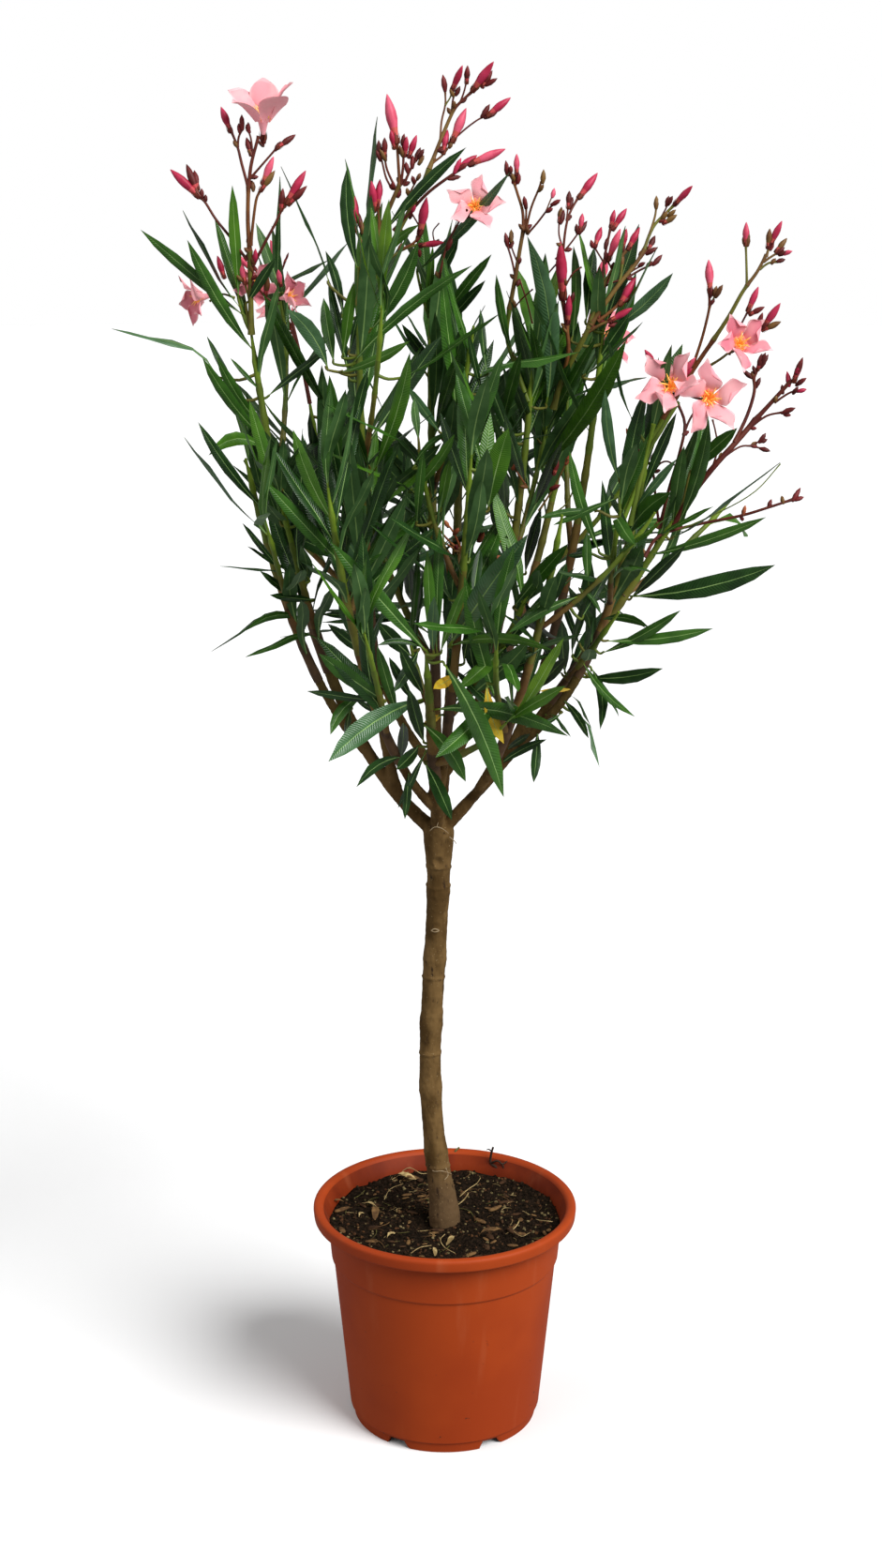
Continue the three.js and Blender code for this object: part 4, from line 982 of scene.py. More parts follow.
FLOWERS: tuple[SetFlower, ...] = (
    SetFlower(-147, 1165, -5, (0.02, -0.12, 1.0), 3, 1.12, 0),
    SetFlower(24, 1094, -34, (0.05, -1.0, 0.40), 0, 0.86, 0),
    SetFlower(244, 983, -50, (0.35, -0.80, 0.45), 1, 0.95, 1),
    SetFlower(187, 948, -56, (-0.25, -0.9, 0.4), 1, 1.08, 0),
    SetFlower(220, 938, -62, (0.12, -1.0, 0.18), 2, 1.08, 0),
    SetFlower(-203, 1020, -2, (-0.95, -0.35, -0.15), 1, 0.85, 1),
    SetFlower(-128, 1021, 2, (0.80, -0.45, 0.20), 1, 0.72, 1),
    SetFlower(-156, 1030, 6, (0.05, -1.0, 0.15), 1, 0.75, 1),
)
OPENINGS: tuple[tuple[int, int, int], ...] = (
    (-87, 1066, 17), (-112, 1001, 12), (-125, 932, 20), (-44, 976, 12), (-33, 924, 12), (27, 1047, 25),
    (126, 898, 23), (96, 863, 12), (111, 823, 16), (91, 817, 9), (100, 767, 7), (76, 765, 7), (91, 744, 7),
    (186, 889, 17), (229, 859, 23), (254, 863, 17), (203, 805, 14), (242, 805, 20), (270, 805, 17),
    (172, 763, 16), (197, 763, 16), (154, 716, 16), (174, 716, 11), (-190, 902, 22), (-206, 918, 17),
    (-185, 843, 19), (-169, 805, 17), (-217, 851, 23), (-181, 752, 19), (-208, 752, 17), (-140, 703, 17),
    (202, 689, 19), (154, 658, 14), (-72, 713, 9), (-12, 872, 7), (14, 847, 9), (-35, 916, 6), (71, 916, 7),
    (129, 949, 11), (-120, 972, 11), (224, 894, 11), (-96, 1033, 11), (169, 863, 12), (214, 831, 8),
    (-175, 1071, 9), (-120, 1055, 11), (-121, 1033, 8), (-157, 999, 11), (-168, 978, 9), (-168, 851, 17),
    (-52, 961, 7), (-22, 999, 8), (-19, 955, 7), (-12, 902, 7), (121, 918, 10), (124, 887, 10),
    (111, 843, 11), (150, 957, 9), (151, 922, 8), (149, 887, 7), (183, 875, 7), (225, 863, 19),
    (256, 867, 16), (223, 799, 9), (-74, 716, 9), (-116, 701, 14), (-105, 664, 14), (-123, 659, 17),
    (-52, 638, 8), (153, 683, 12), (153, 711, 6), (54, 686, 5), (171, 799, 8), (208, 754, 6), (68, 807, 6),
    (131, 791, 6), (-40, 767, 4), (-137, 926, 11), (-123, 926, 7), (-113, 902, 5), (-15, 1011, 6),
    (19, 1011, 7), (35, 1071, 9), (54, 1033, 7), (43, 972, 5), (-58, 926, 7), (-27, 934, 8), (-39, 879, 6),
    (12, 843, 6), (106, 1033, 5), (97, 957, 4), (120, 1011, 3), (167, 972, 9), (176, 902, 8), (212, 894, 5),
    (239, 894, 11), (270, 910, 16), (-185, 1033, 8), (-191, 1003, 17), (-209, 988, 16), (-184, 910, 9),
    (-197, 863, 23), (-178, 807, 11), (-195, 767, 20), (-141, 689, 20), (-85, 609, 17), (-45, 566, 11),
    (37, 583, 9), (70, 600, 20), (102, 634, 14), (53, 634, 5), (68, 799, 6), (84, 799, 5), (19, 1033, 6),
    (-35, 1049, 5), (31, 1062, 16), (46, 1041, 12), (56, 1060, 11), (19, 1079, 9), (150, 982, 11),
    (-118, 1021, 14), (-55, 1145, 9), (-56, 953, 9), (28, 1067, 8), (63, 825, 11), (83, 823, 11),
    (113, 819, 11), (125, 910, 7), (141, 926, 6), (144, 879, 6), (-78, 717, 7), (-162, 823, 12),
    (-147, 807, 8), (-118, 704, 9), (85, 664, 11), (-117, 684, 7), (237, 720, 9), (123, 902, 10),
    (-64, 1164, 5), (35, 999, 7), (-100, 1022, 5), (37, 647, 6), (167, 957, 6), (-201, 801, 12),
    (-184, 788, 9), (233, 748, 9), (214, 749, 6), (-197, 935, 10), (-160, 834, 8), (-147, 809, 9),
    (-138, 843, 4), (43, 992, 6), (-57, 1145, 8),
)


def is_shut(point: Point) -> bool:
    """Returns whether the eye doesn't see a point in one of the crown's openings."""
    across, up = where_seen(point[None])[0]
    return all(math.hypot(across - x, up - z) > size for x, z, size in OPENINGS)


def kept_ends(bloom: Bloom) -> list[BloomEnd]:
    """Returns the ends of a flower stalk that keep out of the crown's openings, or none if it doesn't."""
    return [end for end in bloom.ends if is_shut(end.tip)] if is_shut(bloom.line.point(1.0)) else []


@dataclass
class Path:
    """One stem: points along it with the radius and the tint at each."""

    points: Sequence[Point]
    radii: Sequence[float]
    tints: Sequence[int]


@dataclass
class Foliage:
    """How leaves stand in whorls on the shoots, and how the masses share the crown."""

    length: float = 0.116
    slenderness: float = 5.6
    whorl: int = 3
    highest: float = 0.002
    lowest: float = 0.012
    pitch: float = 0.0315
    pitch_growth: float = 0.0023
    opening: float = 17
    opening_step: float = 7
    opening_most: float = 72
    opening_spread: float = 14
    turn_spread: float = 26
    whorl_turn: float = 60
    shoot_turn: float = 40
    mass_turn: float = 17
    fill_turn: float = 30
    fill: float = 0.72
    slimmer: float = 0.74
    blade_roll: float = 60
    young_size: float = 0.8
    young_growth: float = 0.1
    size_spread: float = 0.24
    old_whorl: int = 5
    old_size: float = 0.86
    width_spread: float = 0.16
    droop: float = 0.035
    tries: int = 5
    try_turn: float = 13
    try_close: float = 0.08
    strays: float = 0.1
    stray_opening: float = 34
    stray_slack: float = 2
    crown_foot: float = 0.575
    crown_height: float = 0.560
    crown_foot_radius: float = 0.055
    crown_slope: float = 0.85
    crown_radius: float = 0.205
    crown_widening: float = 0.14
    crown_lean: float = 0.040
    raggedness: float = 0.16
    share: float = 0.040
    cell: float = 0.006
    clearance: float = 0.0038
    blade_points: int = 9
    root_share: float = 0.2
    stem_points: int = 12
    stalk_points: int = 8
    bough_points: int = 20
    straight_forms: int = 3
    arched_forms: int = 3
    open_from: float = 38
    tint_steps: tuple[float, ...] = (-0.4, 0.0, 0.5, 1.25)
    mark_points: int = 60
    depth_share: float = 0.12
    usual_reach: float = 25
    least_width: float = 0.0095
    slenderest: float = 9.5
    edge_on: float = 48
    seen_roll: float = 40
    least_twig: float = 0.0035
    twig_bend: float = 0.45
    twig_sag: float = 0.12
    twig_end: float = 0.004
    twig_radii: tuple[float, float] = (0.0015, 0.0009)
    arched_share: float = 0.3
    whorls_per_age: float = 5
    age_spread: float = 1.1
    slimmer_spread: float = 0.3
    mark_start: float = 0.08
    shown_spread: float = 0.08
    hide_depth: float = 0.006
    hide_share: float = 0.28
    top_whorls: int = 1

    def __post_init__(self) -> None:
        """Starts with an empty crown."""
        self.cells: dict[tuple[int, int, int], list[Point]] = {}
        self.marks: dict[int, np.ndarray] = {}
        self.twigs: list[Path] = []
        self.shown: list[tuple[float, ...]] = []

    def cell_of(self, point: Point) -> tuple[int, int, int]:
        """Returns the cell of the crown's grid that holds a point."""
        return tuple(int(math.floor(value / self.cell)) for value in point)

    def take(self, points: Iterable[Point]) -> None:
        """Marks points of the crown as taken."""
        for point in points:
            self.cells.setdefault(self.cell_of(point), []).append(point)

    def is_free(self, point: Point) -> bool:
        """Returns whether no taken point is nearer than the clearance.

        Args:
            point: a point of a leaf.

        Returns:
            Whether it is free.
        """
        x, y, z = self.cell_of(point)
        for i in range(x - 1, x + 2):
            for j in range(y - 1, y + 2):
                for k in range(z - 1, z + 2):
                    for taken in self.cells.get((i, j, k), ()):
                        if np.linalg.norm(taken - point) < self.clearance:
                            return False
        return True

    def is_own(self, point: Point, mass: int, slack: float) -> bool:
        """Tells whether a point lies in the crown and there in its mass's own space.

        Args:
            point: the leaf's tip.
            mass: the number of the mass.
            slack: how ragged the crown's wall is here, from -1 to 1 and more for a stray leaf.

        Returns:
            Whether a leaf of that mass may reach there.
        """
        height = point[2] - self.crown_foot
        wall = min(
            self.crown_radius + self.crown_widening * height,
            self.crown_foot_radius + self.crown_slope * height,
        )
        middle = self.crown_lean * math.sin(math.pi * height / self.crown_height)
        if math.hypot(point[0] - middle, point[1]) > wall * (1 + self.raggedness * slack):
            return False
        nearest = {m: np.linalg.norm(points - point, axis=1).min() for m, points in self.marks.items()}
        own = nearest.pop(mass)
        return own <= min(nearest.values()) + self.share

    def places(self, shoot: Shoot, whorl: int, down: float, turn: float, roll: Dice) -> list[Stand]:
        """Works out the places that one leaf of a whorl may take, best first.

        Args:
            shoot: the shoot that it grows from.
            whorl: how many whorls stand above it.
            down: how far below the shoot's tip it stands.
            turn: its turn about the stem in degrees.
            roll: the whorl's row of random numbers.

        Returns:
            The places, each with its slack and its opening.
        """
        share = 1 - down / shoot.line.length
        foot, way = shoot.line.point_at(share), shoot.line.way_at(share)
        level = unit(np.cross(UP, way))
        around = turn + roll.jitter(self.turn_spread)
        is_stray = roll() < self.strays
        usual = min(self.opening_most, self.opening + self.opening_step * whorl)
        opening = usual + roll.jitter(self.opening_spread) + (self.stray_opening if is_stray else 0)
        grown = min(1.0, self.young_size + self.young_growth * whorl)
        age = self.old_size if whorl > self.old_whorl else 1.0
        length = self.length * grown * age * (1 + roll.jitter(self.size_spread))
        width = length / self.slenderness * (1 + roll.jitter(self.width_spread))
        slack = self.stray_slack if is_stray else roll.jitter(2)
        places = []
        for attempt in range(self.tries):
            aside = self.try_turn * math.ceil(attempt / 2) * (1 if attempt % 2 else -1)
            out = turned_about(level, way, around + aside)
            heading = leaning(way, out, opening * (1 - self.try_close * attempt))
            heading = unit(heading - UP * self.droop * whorl)
            across = unit(np.cross(way, heading))
            ways = (heading, across, np.cross(heading, across))
            places.append(Stand(foot, ways, (length, width, length), slack=slack, opening=opening))
        return places

    def place(self, places: list[Stand], mass: int, whorl: int) -> Optional[Stand]:
        """Returns the first place that is in the mass's own space, free and not in an opening, or None.

        Args:
            places: the places, best first.
            mass: the number of the mass.
            whorl: how many whorls stand above.

        Returns:
            The place, or None.
        """
        shares = np.linspace(self.root_share, 1, self.blade_points)
        for stand in places:
            blade = [stand.foot + stand.ways[0] * stand.size[0] * share for share in shares]
            is_good = self.is_own(blade[-1], mass, stand.slack) and all(map(self.is_free, blade))
            is_seen = whorl < self.top_whorls or self.hides_none(np.array(blade))
            if is_good and is_seen and all(map(is_shut, blade)):
                self.take(blade)
                return stand
        return None

    def dress(self, stand: Stand, whorl: int, roll: Dice) -> Stand:
        """Chooses a leaf's form, tint and roll by its age and how far it is opened.

        Args:
            stand: the leaf's place.
            whorl: how many whorls stand above.
            roll: the whorl's row of random numbers.

        Returns:
            The same place, dressed.
        """
        if stand.opening > self.open_from or roll() < self.arched_share:
            stand.form = self.straight_forms + roll.pick(self.arched_forms)
        else:
            stand.form = roll.pick(self.straight_forms)
        age = whorl / self.whorls_per_age + roll.jitter(self.age_spread)
        stand.tint = Tint(sum(age > step for step in self.tint_steps))
        length, width, high = stand.size
        stand.size = (length, width * self.slimmer * (1 + roll.jitter(self.slimmer_spread)), high)
        stand.ways = rolled(stand.ways, roll.jitter(self.blade_roll))
        return stand

    def stem_marks(self, boughs: list[Bough]) -> tuple[np.ndarray, np.ndarray]:
        """Returns points along all stems, as a table of place and mass, and where the eye sees them.

        Args:
            boughs: the boughs with their shoots.

        Returns:
            The table and the places seen.
        """
        table = []
        for bough in boughs:
            lines = [Stretch(bough.line, self.mark_start, bough.plan.entry)]
            lines += [shoot.line for shoot in bough.shoots]
            table += [(*point, bough.index) for line in lines for point in line.spaced(self.mark_points)]
        table = np.array(table)
        return table, where_seen(table[:, :3])

    def twig(self, start: Point, foot: Point, heading: Point, tint: int) -> Path:
        """Returns the path of a fine twig that sags from a stem to the foot of a listed leaf.

        Args:
            start: a point of the stem.
            foot: the leaf's foot.
            heading: the leaf's way.
            tint: the number of the twig's finish.

        Returns:
            The path.
        """
        gap = foot - start
        sag = UP * self.twig_sag * np.linalg.norm(gap)
        row = smoothed([start, start + gap * self.twig_bend - sag, foot, foot + heading * self.twig_end], 3)
        return Path(row, np.linspace(*self.twig_radii, len(row)), [tint] * len(row))

    def seen_leaf(
        self, leaf: SeenLeaf, number: int, table: np.ndarray, seen: np.ndarray
    ) -> tuple[int, Stand]:
        """Sets one leaf that is given as the eye sees it, takes its space and grows a twig to its foot.

        Args:
            leaf: the leaf.
            number: its place in the list.
            table: the stems' points with their masses.
            seen: where the eye sees those points, in millimetres.

        Returns:
            The number of its mass and its stand.
        """
        away = np.hypot(seen[:, 0] - leaf.foot_x, seen[:, 1] - leaf.foot_z)
        away += self.depth_share * np.abs(table[:, 1] * 1000 - leaf.depth - self.usual_reach)
        stem = table[away.argmin()]
        foot = seen_at(leaf.foot_x, leaf.foot_z, stem[1])
        tip = seen_at(leaf.tip_x, leaf.tip_z, leaf.depth / 1000)
        reach = tip - foot
        heading, length = unit(reach), float(np.linalg.norm(reach))
        if np.linalg.norm(foot - stem[:3]) > self.least_twig:
            self.twigs.append(self.twig(stem[:3], foot, heading, 2 + number % 2))
        to_eye = unit(EYE - foot)
        front = unit(to_eye - heading * (to_eye @ heading))
        roll = Dice(number, SEEN_ROW)
        shown = leaf.width / 1000
        width = max(shown * (1 + self.shown_spread * roll()), min(self.least_width, length / self.slenderest))
        slope = math.degrees(math.acos(min(1.0, shown / width)))
        if slope > self.edge_on:
            arch = abs(leaf.bow) / 1000 / length
            form = min(ARCHED_FORMS, key=lambda k: abs(LEAF_FORMS[k].arch - arch))
            turn = -slope if leaf.bow > 0 or (leaf.bow == 0 and roll() < 0.5) else slope
        else:
            bend = leaf.bow / 1000 / width / LeafForm.slenderness
            form = min(BOWED_FORMS, key=lambda k: abs(LEAF_FORMS[k].aside - bend))
            turn = roll.jitter(self.seen_roll)
        self.take(foot + reach * s for s in np.linspace(self.root_share, 1, self.blade_points))
        self.shown.append((leaf.foot_x, leaf.foot_z, leaf.tip_x, leaf.tip_z, foot[1], tip[1], leaf.width / 2))
        ways = rolled((heading, np.cross(front, heading), front), turn)
        return int(stem[3]), Stand(foot, ways, (length, width, length), form, leaf.tint)

    def hides_none(self, blade: np.ndarray) -> bool:
        """Returns whether a leaf, given by points along it, hides none of the listed ones.

        Args:
            blade: points along the leaf.

        Returns:
            Whether it hides none.
        """
        shown = np.array(self.shown)
        crossing = where_seen(blade)[:, None]
        foot, along = shown[:, :2], shown[:, 2:4] - shown[:, :2]
        share = np.clip(((crossing - foot) * along).sum(2) / (along**2).sum(1), 0, 1)
        away = np.linalg.norm(crossing - foot - along * share[..., None], axis=2)
        depth = shown[:, 4] + (shown[:, 5] - shown[:, 4]) * share
        covers = (away < shown[:, 6]) & (blade[:, 1:2] < depth - self.hide_depth)
        return covers.any(axis=1).mean() < self.hide_share

    def grow_shoot(self, shoot: Shoot, mass: int, number: int) -> list[Stand]:
        """Grows the leaves of one shoot: the source's whorls first, then one more between each two.

        Args:
            shoot: the shoot.
            mass: the number of its mass.
            number: its own number in the mass.

        Returns:
            The leaves that found a place.
        """
        found = []
        for row, between in ((0, 0.0), (FILL_ROW, 0.5)):
            down, whorl = self.highest, 0
            while down < shoot.line.length - self.lowest:
                here = down + between * (self.pitch + self.pitch_growth * whorl)
                roll = Dice(mass, number, whorl + row)
                if here < shoot.line.length - self.lowest:
                    turn = self.whorl_turn * whorl + self.shoot_turn * number + self.mass_turn * mass
                    turn += self.fill_turn if between else 0
                    for j in range(self.whorl):
                        places = self.places(shoot, whorl, here, turn + 360 / self.whorl * j, roll)
                        if row == 0 or roll() < self.fill:
                            found.append((self.place(places, mass, whorl), whorl, roll))
                down += self.pitch + self.pitch_growth * whorl
                whorl += 1
        return [self.dress(stand, whorl, roll) for stand, whorl, roll in found if stand]

    def grow(self, boughs: list[Bough], by_hand: Sequence[SeenLeaf]) -> list[list[Stand]]:
        """Grows all leaves.

        Args:
            boughs: the boughs with their shoots.
            by_hand: the listed leaves; a shoot named as dressed by them grows no others.

        Returns:
            The leaves of each mass.
        """
        for bough in boughs:
            marks = []
            for shoot in bough.shoots:
                points = shoot.line.spaced(self.stem_points)
                marks += points
                self.take(points)
                if shoot.bloom:
                    self.take(shoot.bloom.line.spaced(self.stalk_points))
            self.take(Stretch(bough.line, 0, bough.plan.entry).spaced(self.bough_points))
            self.marks[bough.index] = np.array(marks)
        masses: list[list[Stand]] = [[] for _ in boughs]
        table, seen = self.stem_marks(boughs)
        for number, leaf in enumerate(by_hand):
            mass, stand = self.seen_leaf(leaf, number, table, seen)
            masses[mass].append(stand)
        for bough in boughs:
            for number, shoot in enumerate(bough.shoots):
                if (bough.plan.name, number) != DRESSED_SHOOT:
                    masses[bough.index] += self.grow_shoot(shoot, bough.index, number)
        return masses


def add_object(name: str, data: bpy.types.ID) -> Object:
    """Adds an object with its mesh, light or camera to the scene and returns it.

    Args:
        name: the object's name.
        data: its mesh, light or camera.

    Returns:
        The object.
    """
    made = bpy.data.objects.new(name, data)
    bpy.context.scene.collection.objects.link(made)
    return made


class Shape:
    """The vertices and faces of a mesh in the making, each face with its layer and each vertex with a UV."""

    fold: float = 100.0

    def __init__(self) -> None:
        """Starts empty."""
        self.vertices: list[Sequence[float]] = []
        self.faces: list[Sequence[int]] = []
        self.layers: list[int] = []
        self.uvs: list[tuple[float, float]] = []

    def add(
        self,
        vertices: Iterable[Sequence[float]],
        faces: Iterable[Sequence[int]],
        layer: int | Sequence[int] = 0,
        uvs: Optional[Sequence[tuple[float, float]]] = None,
    ) -> None:
        """Adds faces on new vertices.

        Args:
            vertices: the new vertices.
            faces: the faces, by the numbers of those vertices.
            layer: the layer of all the faces, or one for each.
            uvs: the vertices' places in the UV map.
        """
        start = len(self.vertices)
        vertices, faces = [tuple(map(float, v)) for v in vertices], list(faces)
        self.vertices += vertices
        self.faces += [[start + i for i in face] for face in faces]
        self.layers += [layer] * len(faces) if isinstance(layer, int) else list(layer)
        self.uvs += list(uvs) if uvs is not None else [(0.0, 0.0)] * len(vertices)

    def add_rings(self, rings: Sequence[Sequence[Point]], layer: int | Sequence[int] = 0) -> None:
        """Adds a closed skin round a row of rings, with a point at each end.

        Args:
            rings: the rings, each of as many points.
            layer: the layer of the skin, or one for each step between rings and then each end.
        """
        sides, count = len(rings[0]), len(rings)
        vertices = [p for ring in rings for p in ring]
        vertices += [np.mean(rings[0], axis=0), np.mean(rings[-1], axis=0)]
        layers = [layer] * (count - 1) if isinstance(layer, int) else list(layer)
        faces, marks = [], []
        for i in range(count - 1):
            for j in range(sides):
                k = (j + 1) % sides
                faces.append((i * sides + j, i * sides + k, (i + 1) * sides + k, (i + 1) * sides + j))
                marks.append(layers[i])
        last = (count - 1) * sides
        for j in range(sides):
            k = (j + 1) % sides
            faces += [(k, j, len(vertices) - 2), (last + j, last + k, len(vertices) - 1)]
            marks += [layers[0], layers[-1]]
        self.add(vertices, faces, marks)

    def add_tube(self, points: Sequence[Point], radii: Sequence[float], sides: int, layer: int = 0) -> None:
        """Adds a closed tube along points, with its radius at each.

        Args:
            points: the points.
            radii: the radius at each.
            sides: how many sides the tube has.
            layer: the layer of its faces.
        """
        rings = []
        side = unit(np.cross(points[1] - points[0], [0.31, 0.93, 0.17]))
        for i, (point, radius) in enumerate(zip(points, radii)):
            way = unit(points[min(i + 1, len(points) - 1)] - points[max(i - 1, 0)])
            side = unit(side - way * (way @ side))
            up = np.cross(way, side)
            turns = [2 * math.pi * j / sides for j in range(sides)]
            rings.append([point + (side * math.cos(a) + up * math.sin(a)) * radius for a in turns])
        self.add_rings(rings, layer)

    def add_lathe(self, profile: Outline, segments: int, zones: Sequence[int] = ()) -> None:
        """Adds a body turned about the upright axis.

        Args:
            profile: its outline, which starts and ends on the axis.
            segments: how many sides it has.
            zones: the layer of each step between the points off the axis, or none for layer 0.
        """
        turns = [2 * math.pi * j / segments for j in range(segments)]
        inner = profile[1:-1]
        vertices = [(r * math.cos(a), r * math.sin(a), z) for r, z in inner for a in turns]
        first, last = len(vertices), len(vertices) + 1
        vertices += [(0, 0, profile[0][1]), (0, 0, profile[-1][1])]
        top = (len(inner) - 1) * segments
        faces = []
        for j in range(segments):
            k = (j + 1) % segments
            for i in range(len(inner) - 1):
                a, b = i * segments, (i + 1) * segments
                faces.append((a + j, a + k, b + k, b + j))
            faces += [(first, k, j), (last, top + j, top + k)]
        layers = [*zones, zones[0], zones[-1]] * segments if zones else 0
        self.add(vertices, faces, layers)

    def add_lens(self, grid: np.ndarray, thickness: float, layer: int = 0, under: int = 0) -> None:
        """Adds a closed thin sheet: an upper and a lower face that meet at the sheet's edge.

        Args:
            grid: its middle points, as rows by columns by 3.
            thickness: its thickness inside the edge.
            layer: the layer of the upper face, towards rows cross columns.
            under: the layer of the lower face.
        """
        rows, columns, _ = grid.shape
        along, across = np.gradient(grid, axis=0), np.gradient(grid, axis=1)
        normal = np.cross(along, across)
        normal /= np.maximum(np.linalg.norm(normal, axis=2, keepdims=True), 1e-12)
        inside = np.zeros((rows, columns, 1))
        inside[1:-1, 1:-1] = thickness / 2
        top, bottom = grid + normal * inside, grid - normal * inside
        number = np.arange(rows * columns).reshape(rows, columns)
        low = number.copy()
        below = rows * columns + np.arange((rows - 2) * (columns - 2))
        low[1:-1, 1:-1] = below.reshape(rows - 2, columns - 2)
        vertices = [*top.reshape(-1, 3), *bottom[1:-1, 1:-1].reshape(-1, 3)]
        faces, layers = [], []
        for i in range(rows - 1):
            for j in range(columns - 1):
                faces.append((number[i, j], number[i + 1, j], number[i + 1, j + 1], number[i, j + 1]))
                faces.append((low[i, j], low[i, j + 1], low[i + 1, j + 1], low[i + 1, j]))
                layers += [layer, under]
        self.add(vertices, faces, layers)

    def add_lobe(
        self, steps: Iterable[tuple[float, float, float]], turn: float, thickness: float, layer: int
    ) -> None:
        """Adds a narrow lobe that stands along the X axis.

        Args:
            steps: its place along the axis, its distance from it and its half width, step by step.
            turn: its turn about the axis, in radians.
            thickness: its thickness.
            layer: the layer of its faces.
        """
        out, side = round_ways(turn)
        rows = [(np.array([x, 0, 0]) + out * away, half) for x, away, half in steps]
        grid = np.array([[p + side * half * k for k in (-1, -0.3, 0.3, 1)] for p, half in rows])
        self.add_lens(grid, thickness, layer, layer)

    def to_object(self, name: str, materials: Sequence[Material] = (), smooth: bool = True) -> Object:
        """Makes the mesh and its object.

        Args:
            name: the object's name.
            materials: the finish of each layer.
            smooth: whether the faces are shaded smooth.

        Returns:
            The object, in the scene.
        """
        mesh = bpy.data.meshes.new(name)
        mesh.from_pydata(self.vertices, [], self.faces)
        for material in materials:
            mesh.materials.append(material)
        if materials:
            mesh.polygons.foreach_set("material_index", [min(k, len(materials) - 1) for k in self.layers])
        mesh.attributes.new("layer", "INT", "FACE").data.foreach_set("value", self.layers)
        corners = np.zeros(len(mesh.loops), np.int32)
        mesh.loops.foreach_get("vertex_index", corners)
        uv = mesh.uv_layers.new(name="blade")
        uv.data.foreach_set("uv", np.array(self.uvs, float)[corners].ravel())
        mesh.polygons.foreach_set("use_smooth", [smooth] * len(mesh.polygons))
        mesh.validate()
        if smooth:
            mesh.set_sharp_from_angle(angle=math.radians(self.fold))
        return add_object(name, mesh)


class Tree:
    """A node tree in the making, of Geometry Nodes or of a shader group."""

    def __init__(
        self, name: str, kind: str, inputs: dict[str, tuple[str, object]], outputs: dict[str, str]
    ) -> None:
        """Starts a tree with its sockets.

        Args:
            name: its name.
            kind: GeometryNodeTree or ShaderNodeTree.
            inputs: each input's socket type and default.
            outputs: each output's socket type.
        """
        self.group = bpy.data.node_groups.new(name, kind)
        self.sockets: dict[str, str] = {}
        for title, (socket_type, default) in inputs.items():
            socket = self.group.interface.new_socket(title, in_out="INPUT", socket_type=socket_type)
            if default is not None:
                socket.default_value = default
            self.sockets[title] = socket.identifier
        for title, socket_type in outputs.items():
            self.group.interface.new_socket(title, in_out="OUTPUT", socket_type=socket_type)
        self.start = self.group.nodes.new("NodeGroupInput")
        self.end = self.group.nodes.new("NodeGroupOutput")

    def node(self, kind: str, links: Optional[Links] = None, **settings: object) -> bpy.types.Node:
        """Adds a node.

        Args:
            kind: the node's type.
            links: for each input, by number or name, the output that feeds it or its plain value.
            settings: the node's own settings.

        Returns:
            The node.
        """
        return add_node(self.group, kind, links, **settings)

    def named(self, name: str, data_type: str) -> Socket:
        """Returns the output that reads a named attribute."""
        return self.node("GeometryNodeInputNamedAttribute", {"Name": name}, data_type=data_type).outputs[0]

    def finished(self, piece: Socket, finishes: Iterable[str]) -> "Tree":
        """Gives the faces their finishes and ends the tree.

        Args:
            piece: the output with the joined mesh.
            finishes: the material inputs, each named after an attribute of the faces and one value of it.

        Returns:
            The tree itself.
        """
        for title in finishes:
            attribute, number = title.lower().split()
            compared = {2: self.named(attribute, "INT"), 3: int(number)}
            chosen = self.node("FunctionNodeCompare", compared, data_type="INT", operation="EQUAL")
            links = {"Geometry": piece, "Selection": chosen.outputs[0], "Material": self.start.outputs[title]}
            piece = self.node("GeometryNodeSetMaterial", links).outputs[0]
        self.group.links.new(piece, self.end.inputs[0])
        return self

    def run(self, made: Object, values: dict[str, object]) -> Object:
        """Runs the tree on an object and keeps the result as its plain mesh.

        Args:
            made: the object.
            values: the value of each input, by name.

        Returns:
            The same object.
        """
        modifier = made.modifiers.new(self.group.name, "NODES")
        modifier.node_group = self.group
        for title, value in values.items():
            modifier[self.sockets[title]] = value
        return apply_modifiers(made)


def add_node(tree: NodeTree, kind: str, links: Optional[Links] = None, **settings: object) -> bpy.types.Node:
    """Adds a node to a tree, sets it and feeds its inputs.

    Args:
        tree: the tree.
        kind: the node's type.
        links: for each input, by number or name, the output that feeds it or its plain value.
        settings: the node's own settings.

    Returns:
        The node.
    """
    node = tree.nodes.new(kind)
    for name, value in settings.items():
        setattr(node, name, value)
    for key, value in (links or {}).items():
        if isinstance(value, Socket):
            tree.links.new(value, node.inputs[key])
        else:
            node.inputs[key].default_value = value
    return node


def add_math(tree: NodeTree, operation: str, *values: object) -> Socket:
    """Adds a node of arithmetic, fed by outputs or plain values, and returns its output."""
    return add_node(tree, "ShaderNodeMath", dict(enumerate(values)), operation=operation).outputs[0]


def apply_modifiers(made: Object) -> Object:
    """Turns an object with its modifiers into a plain mesh and returns it.

    Args:
        made: the object.

    Returns:
        The same object, its mesh now plain.
    """
    shape = made.evaluated_get(bpy.context.evaluated_depsgraph_get())
    mesh = bpy.data.meshes.new_from_object(shape)
    made.modifiers.clear()
    old, made.data = made.data, mesh
    bpy.data.meshes.remove(old)
    return made


def set_piece(made: Object, slot: Slot, nodes: Sequence[str] = ()) -> None:
    """Lets a finished piece ride on the body, in the place of CAD nodes.

    Args:
        made: the piece.
        slot: not used.
        nodes: the CAD nodes that it replaces.
    """
    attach(made, BODY)
    if nodes:
        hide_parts(*nodes)
    mesh = made.data
    mesh.calc_loop_triangles()
    log.info("%s: %d triangles, %d finishes", made.name, len(mesh.loop_triangles), len(mesh.materials))


